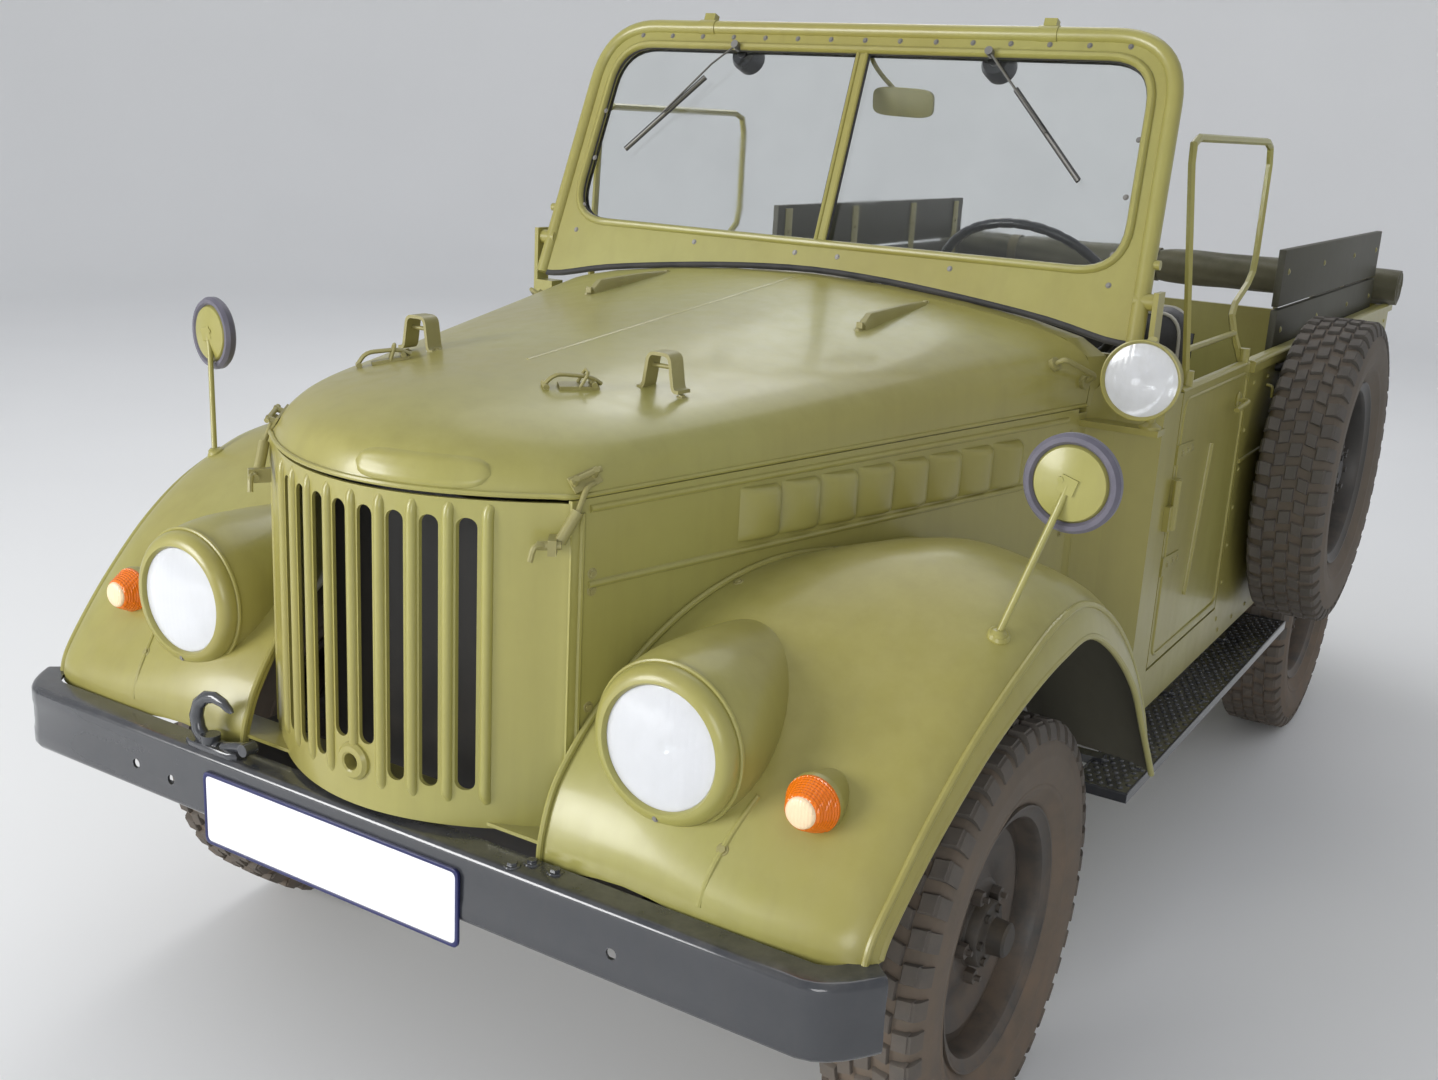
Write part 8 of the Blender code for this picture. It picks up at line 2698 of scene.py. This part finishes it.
class Inside:
    """Dashboard, steering wheel, levers and pedals, benches and the stowed canvas."""

    def make(self, shop: Workshop) -> None:
        """Builds all that sits inside the tub.

        Args:
            shop: makes and counts the pieces.
        """
        self._steering(shop)
        self._dash(shop)
        self._controls(shop)
        for name, side in SIDES.items():
            self._bench(shop, name, side)
        self._roll(shop)

    def _steering(self, shop: Workshop) -> None:
        """Thin-rimmed steering wheel with finger grips, three spokes and a domed boss.

        Args:
            shop: makes and counts the pieces.
        """
        hub, slope = at(0.345, 0.99, 1.285), math.radians(38)
        axis = Vector((0, math.cos(slope), math.sin(slope)))
        up = Vector((0, -math.sin(slope), math.cos(slope)))
        form, rings, n = Form(), [], 144
        for k in range(n):
            t = math.tau * k / n
            out = Vector((math.cos(t), 0, 0)) + up * math.sin(t)
            grip = 0.0105 - 0.0011 * max(math.cos(t * 36), 0)
            rings.append([hub + out * 0.2 + (out * math.cos(a) + axis * math.sin(a)) * grip
                          for a in [math.tau * j / 12 for j in range(12)]])
        form.loft(rings, loop=True)
        form.lathe([(-0.034, 0.0), (-0.034, 0.022), (-0.02, 0.030), (0.0, 0.032), (0.006, 0.030),
                    (0.010, 0.02), (0.0105, 0.0)], hub, axis, 40)
        for degrees in (18, 162, 270):
            t = math.radians(degrees)
            out = Vector((math.cos(t), 0, 0)) + up * math.sin(t)
            form.tube([hub + out * 0.02 - axis * 0.004, hub + out * 0.11 - axis * 0.012,
                       hub + out * 0.194], 0.0068, 10, flat=0.6)
        form.slot = 1
        form.lathe([(0.0105, 0.0), (0.0105, 0.017), (0.0125, 0.0165), (0.0145, 0.011),
                    (0.0152, 0.0)], hub, axis, 32)
        shop.piece("steering_wheel_dressed", "steering_wheel", ["black_plastic", "bright_metal"],
                   form, sharp=40, stands_for=("steering_wheel",))

    def _dash(self, shop: Workshop) -> None:
        """Dials with bezels, switches, grab rail and a rolled lower edge.

        Args:
            shop: makes and counts the pieces.
        """
        form, y = Form(), 0.7253
        rear = Axis.REAR.value
        dials = ((0.345, 1.155, 0.052), (0.235, 1.16, 0.031), (0.235, 1.085, 0.026),
                 (0.455, 1.16, 0.031), (0.455, 1.085, 0.026))
        form.tube([at(-0.70, y - 0.004, 1.042), at(0.70, y - 0.004, 1.042)], 0.0075, 10)
        form.tube(rounded([at(-0.60, y - 0.003, 1.175), at(-0.60, y + 0.045, 1.175),
                           at(-0.24, y + 0.045, 1.175), at(-0.24, y - 0.003, 1.175)], 0.025, 5),
                  0.009, 14)
        form.loft([[at(x, yy, z) for x, z in ((-0.58, 1.055), (-0.16, 1.055), (-0.16, 1.145),
                                              (-0.58, 1.145))] for yy in (y, y + 0.005)])
        for x, z, r in dials:
            form.slot = 1
            form.lathe([(0.0, 0.0), (0.0, r), (0.008, r), (0.011, r * 0.94), (0.010, r * 0.88),
                        (0.004, r * 0.87), (0.004, 0.0)], at(x, y, z), rear, 40)
            form.slot = 2
            form.lathe([(0.0045, 0.0), (0.0045, r * 0.86), (0.0052, r * 0.86), (0.0052, 0.0)],
                       at(x, y, z), rear, 32)
            form.slot = 3
            angle = 2.3 + x * 7
            for k in range(9):
                t = math.radians(-40 + 32.5 * k)
                tick = Vector((math.cos(t), 0, math.sin(t)))
                form.tube([at(x, y + 0.0056, z) + tick * r * 0.68,
                           at(x, y + 0.0056, z) + tick * r * 0.82], 0.0009, 4)
            hand = Vector((math.cos(angle), 0, math.sin(angle)))
            form.tube([at(x, y + 0.0066, z) - hand * r * 0.15, at(x, y + 0.0066, z) + hand * r * 0.7],
                      0.0012, 4)
        form.slot = 1
        for x in (0.14, 0.10, 0.06, -0.02, -0.08):
            form.lathe([(0.0, 0.0), (0.0, 0.0085), (0.004, 0.0085), (0.005, 0.0045), (0.016, 0.004),
                        (0.019, 0.0075), (0.026, 0.0065), (0.026, 0.0)], at(x, y, 1.10), rear, 20)
        spots = [(at(x, y, z), rear) for x in (-0.68, -0.12, 0.17, 0.53, 0.68) for z in
                 (1.075, 1.205)]
        shop.piece("dashboard_fittings", "body",
                   ["olive_paint", "black_plastic", "dial_face", "plate_white"], form,
                   [shop.bolts(spots, 0.0048, 0.003, "dull_steel", 12)], sharp=40)

    def _controls(self, shop: Workshop) -> None:
        """Gear, transfer and brake levers with knobs and boots, and three pedals.

        Args:
            shop: makes and counts the pieces.
        """
        form = Form()
        levers = (((0.02, 0.86, 0.6128), (0.02, 0.90, 0.80), (0.045, 1.02, 1.02), 0.0075, 0.020),
                  ((-0.06, 0.90, 0.6128), (-0.062, 0.93, 0.74), (-0.075, 0.985, 0.86), 0.0065, 0.015),
                  ((-0.09, 0.90, 0.6128), (-0.094, 0.92, 0.74), (-0.115, 0.955, 0.85), 0.0065, 0.015),
                  ((0.09, 0.99, 0.6128), (0.09, 1.03, 0.70), (0.09, 1.15, 0.80), 0.0085, 0.012))
        for a, b, c, radius, knob in levers:
            form.slot = 0
            path = spline([at(*a), at(*b), at(*c)], 6)
            form.tube(path, radius, 10)
            form.slot = 1
            way = (path[-1] - path[-2]).normalized()
            form.lathe([(knob * (0.6 - math.cos(t)), knob * math.sin(t)) for t in
                        [math.pi * k / 10 for k in range(11)]], path[-1], way, 20)
            form.lathe([(0.0, 0.0), (0.0, 0.042), (0.006, 0.042), (0.012, 0.034), (0.02, 0.036),
                        (0.026, 0.026), (0.034, 0.027), (0.044, 0.015), (0.05, 0.0)],
                       at(*a), Axis.UP.value, 28)
        for x, half in ((0.24, 0.03), (0.34, 0.03), (0.44, 0.024)):
            form.slot = 0
            form.tube(rounded([at(x, 0.645, 0.80), at(x, 0.70, 0.74), at(x, 0.755, 0.735)], 0.02, 4),
                      0.0075, 10)
            form.slot = 1
            turn = Matrix.Rotation(math.radians(52), 3, "X")
            form.block(at(x - half, 0.722, 0.736), at(x + half, 0.79, 0.75), turn)
        shop.piece("driving_controls", "body", ["dull_steel", "black_plastic"], form, sharp=40)

    def _bench(self, shop: Workshop, name: str, side: int) -> None:
        """Slatted bench over a wheel box, and the tall weathered side board with its irons.

        Args:
            shop: makes and counts the pieces.
            name: left or right.
            side: 1 for left, -1 for right.
        """
        form = Form()
        z = 0.8003
        for k in range(5):
            x0 = 0.402 + 0.0605 * k
            form.block(at(side * x0, 1.602, z + 0.032), at(side * (x0 + 0.054), 3.013, z + 0.0695))
        for y in (1.66, 2.0, 2.34, 2.68, 2.95):
            form.block(at(side * 0.405, y - 0.025, z), at(side * 0.70, y + 0.025, z + 0.0318))
        # Columns: low, high
        for low, high in ((0.82, 0.955), (0.963, 1.095), (1.103, 1.24), (1.248, 1.3845)):
            form.block(at(side * 0.6925, 1.702, low), at(side * 0.7095, 3.013, high))
        spots = []
        form.slot = 1
        for y in (1.76, 2.18, 2.60, 2.95):
            form.block(at(side * 0.6885, y - 0.02, 0.83), at(side * 0.6922, y + 0.02, 1.375))
            spots += [(at(side * 0.6885, y, zz), Axis.LEFT.value * -side)
                      for zz in (0.89, 1.03, 1.17, 1.31)]
            spots += [(at(side * 0.7098, y, zz), Axis.LEFT.value * side) for zz in (1.19, 1.33)]
        planks = [(at(side * (0.402 + 0.0605 * k + 0.027), y, z + 0.0697), Axis.UP.value)
                  for k in range(5) for y in (1.66, 2.0, 2.34, 2.68, 2.95)]
        shop.piece(f"bench_{name}_dressed", "body", ["board_olive", "olive_edge"], form,
                   [shop.bolts(spots + planks, 0.0055, 0.003, "olive_edge", 12)], bevel=0.002,
                   sharp=35, stands_for=(f"bench_{name}",))

    def _roll(self, shop: Workshop) -> None:
        """Rolled canvas with its folds, end coils and webbing straps.

        Args:
            shop: makes and counts the pieces.
        """
        centre = at(0, 3.083, 1.214)
        sides, rings = 72, []
        for i in range(105):
            t = i / 104
            x = mix(-0.774, 0.774, t)
            strap = min(abs(x - c) for c in (-0.5, 0.0, 0.5))
            pinch = 0.0065 * math.exp(-(strap / 0.032) ** 2)
            ring = []
            for k in range(sides):
                a = math.tau * k / sides
                wave = (0.0016 * math.sin(5 * a + 9 * t) + 0.0011 * math.sin(9 * a - 23 * t + 1.3)
                        + 0.0013 * math.sin(2 * a + 41 * t) * math.sin(math.pi * t))
                lap = 0.0042 * ((a / math.tau + 0.15) % 1.0)
                r = 0.0535 - pinch + wave + lap - 0.004 * (abs(x) / 0.78) ** 14
                low = max(-0.0575, r * math.sin(a)) if math.sin(a) < 0 else r * math.sin(a)
                ring.append(centre + Vector((x - centre.x, r * math.cos(a) * 1.01, low)))
            rings.append(ring)
        form = Form().loft(rings)
        for x in (-0.7745, 0.7745):
            coil = []
            for k in range(150):
                a = k * 0.22
                r = 0.049 * (1 - k / 158)
                coil.append(Vector((x, centre.y + r * math.cos(a), centre.z - 0.001
                                    + r * math.sin(a))))
            form.tube(coil, 0.0021, 6)
        shop.piece("canvas_roll_dressed", "body", ["roll_canvas"], form, sharp=50,
                   stands_for=("canvas_roll",))
        straps = Form()
        for x in (-0.5, 0.0, 0.5):
            rings = []
            for k in range(48):
                a = math.tau * k / 48
                out = Vector((0, math.cos(a), math.sin(a)))
                rings.append([centre + out * r + Vector((x + dx, 0, 0)) for r, dx in
                              ((0.0525, -0.0155), (0.0555, -0.0155), (0.0555, 0.0155),
                               (0.0525, 0.0155))])
            straps.loft(rings, loop=True)
        shop.piece("canvas_roll_straps", "body", ["strap_web"], straps, sharp=50)
        metal = Form()
        for x in (-0.5, 0.0, 0.5):
            p = centre + Vector((x, 0.046, 0.034))
            out = Vector((0, 0.8, 0.6))
            up = Vector((0, -0.6, 0.8))
            metal.tube([p + Vector((a * 0.020, 0, 0)) + up * b * 0.013 for a, b in
                        ((-1, -1), (1, -1), (1, 1), (-1, 1))], 0.0024, 8, closed=True)
            metal.tube([p + up * -0.013, p + up * 0.010 + out * 0.0012], 0.0016, 6)
        shop.piece("canvas_roll_buckles", "body", ["dull_steel"], metal, sharp=50)


# Finish of each solid that is carried over as it is
CARRIED = {
    "ladder_frame": "chassis_black", "front_axle": "chassis_black", "rear_axle": "chassis_black",
    "knuckle_left": "chassis_black", "knuckle_right": "chassis_black", "tie_rod": "chassis_black",
    "engine_block": "grey_casting", "transmission": "grey_casting", "exhaust": "dull_steel",
    "radiator": "chassis_black", "cowl": "olive_paint", "body_side_left": "olive_paint",
    "body_side_right": "olive_paint", "floor_pan": "olive_paint", "tailgate": "olive_paint",
    "door_left": "olive_paint", "door_right": "olive_paint", "dashboard": "olive_paint",
    "running_board_left": "black_enamel", "running_board_right": "black_enamel",
}


def main() -> None:
    """Builds every sub-assembly, the carried finishes and the studio."""
    logging.basicConfig(level=logging.INFO, format="%(message)s")
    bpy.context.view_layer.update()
    shop = Workshop()
    nose = Nose()
    for part in (Wheels(), nose, Fenders(nose), Screen(), Front(), Outside(), Cushions(),
                 Inside()):
        part.make(shop)
        LOG.info("%s done, %d pieces", type(part).__name__, len(shop.counts))
    for node, finish in CARRIED.items():
        shop.dress(node, finish)
    Studio().make()
    for name, count in shop.counts.items():
        LOG.info("%-32s %7d triangles", name, count)
    LOG.info("pieces %d, triangles %d", len(shop.counts), sum(shop.counts.values()))


if __name__ == "__main__":
    main()
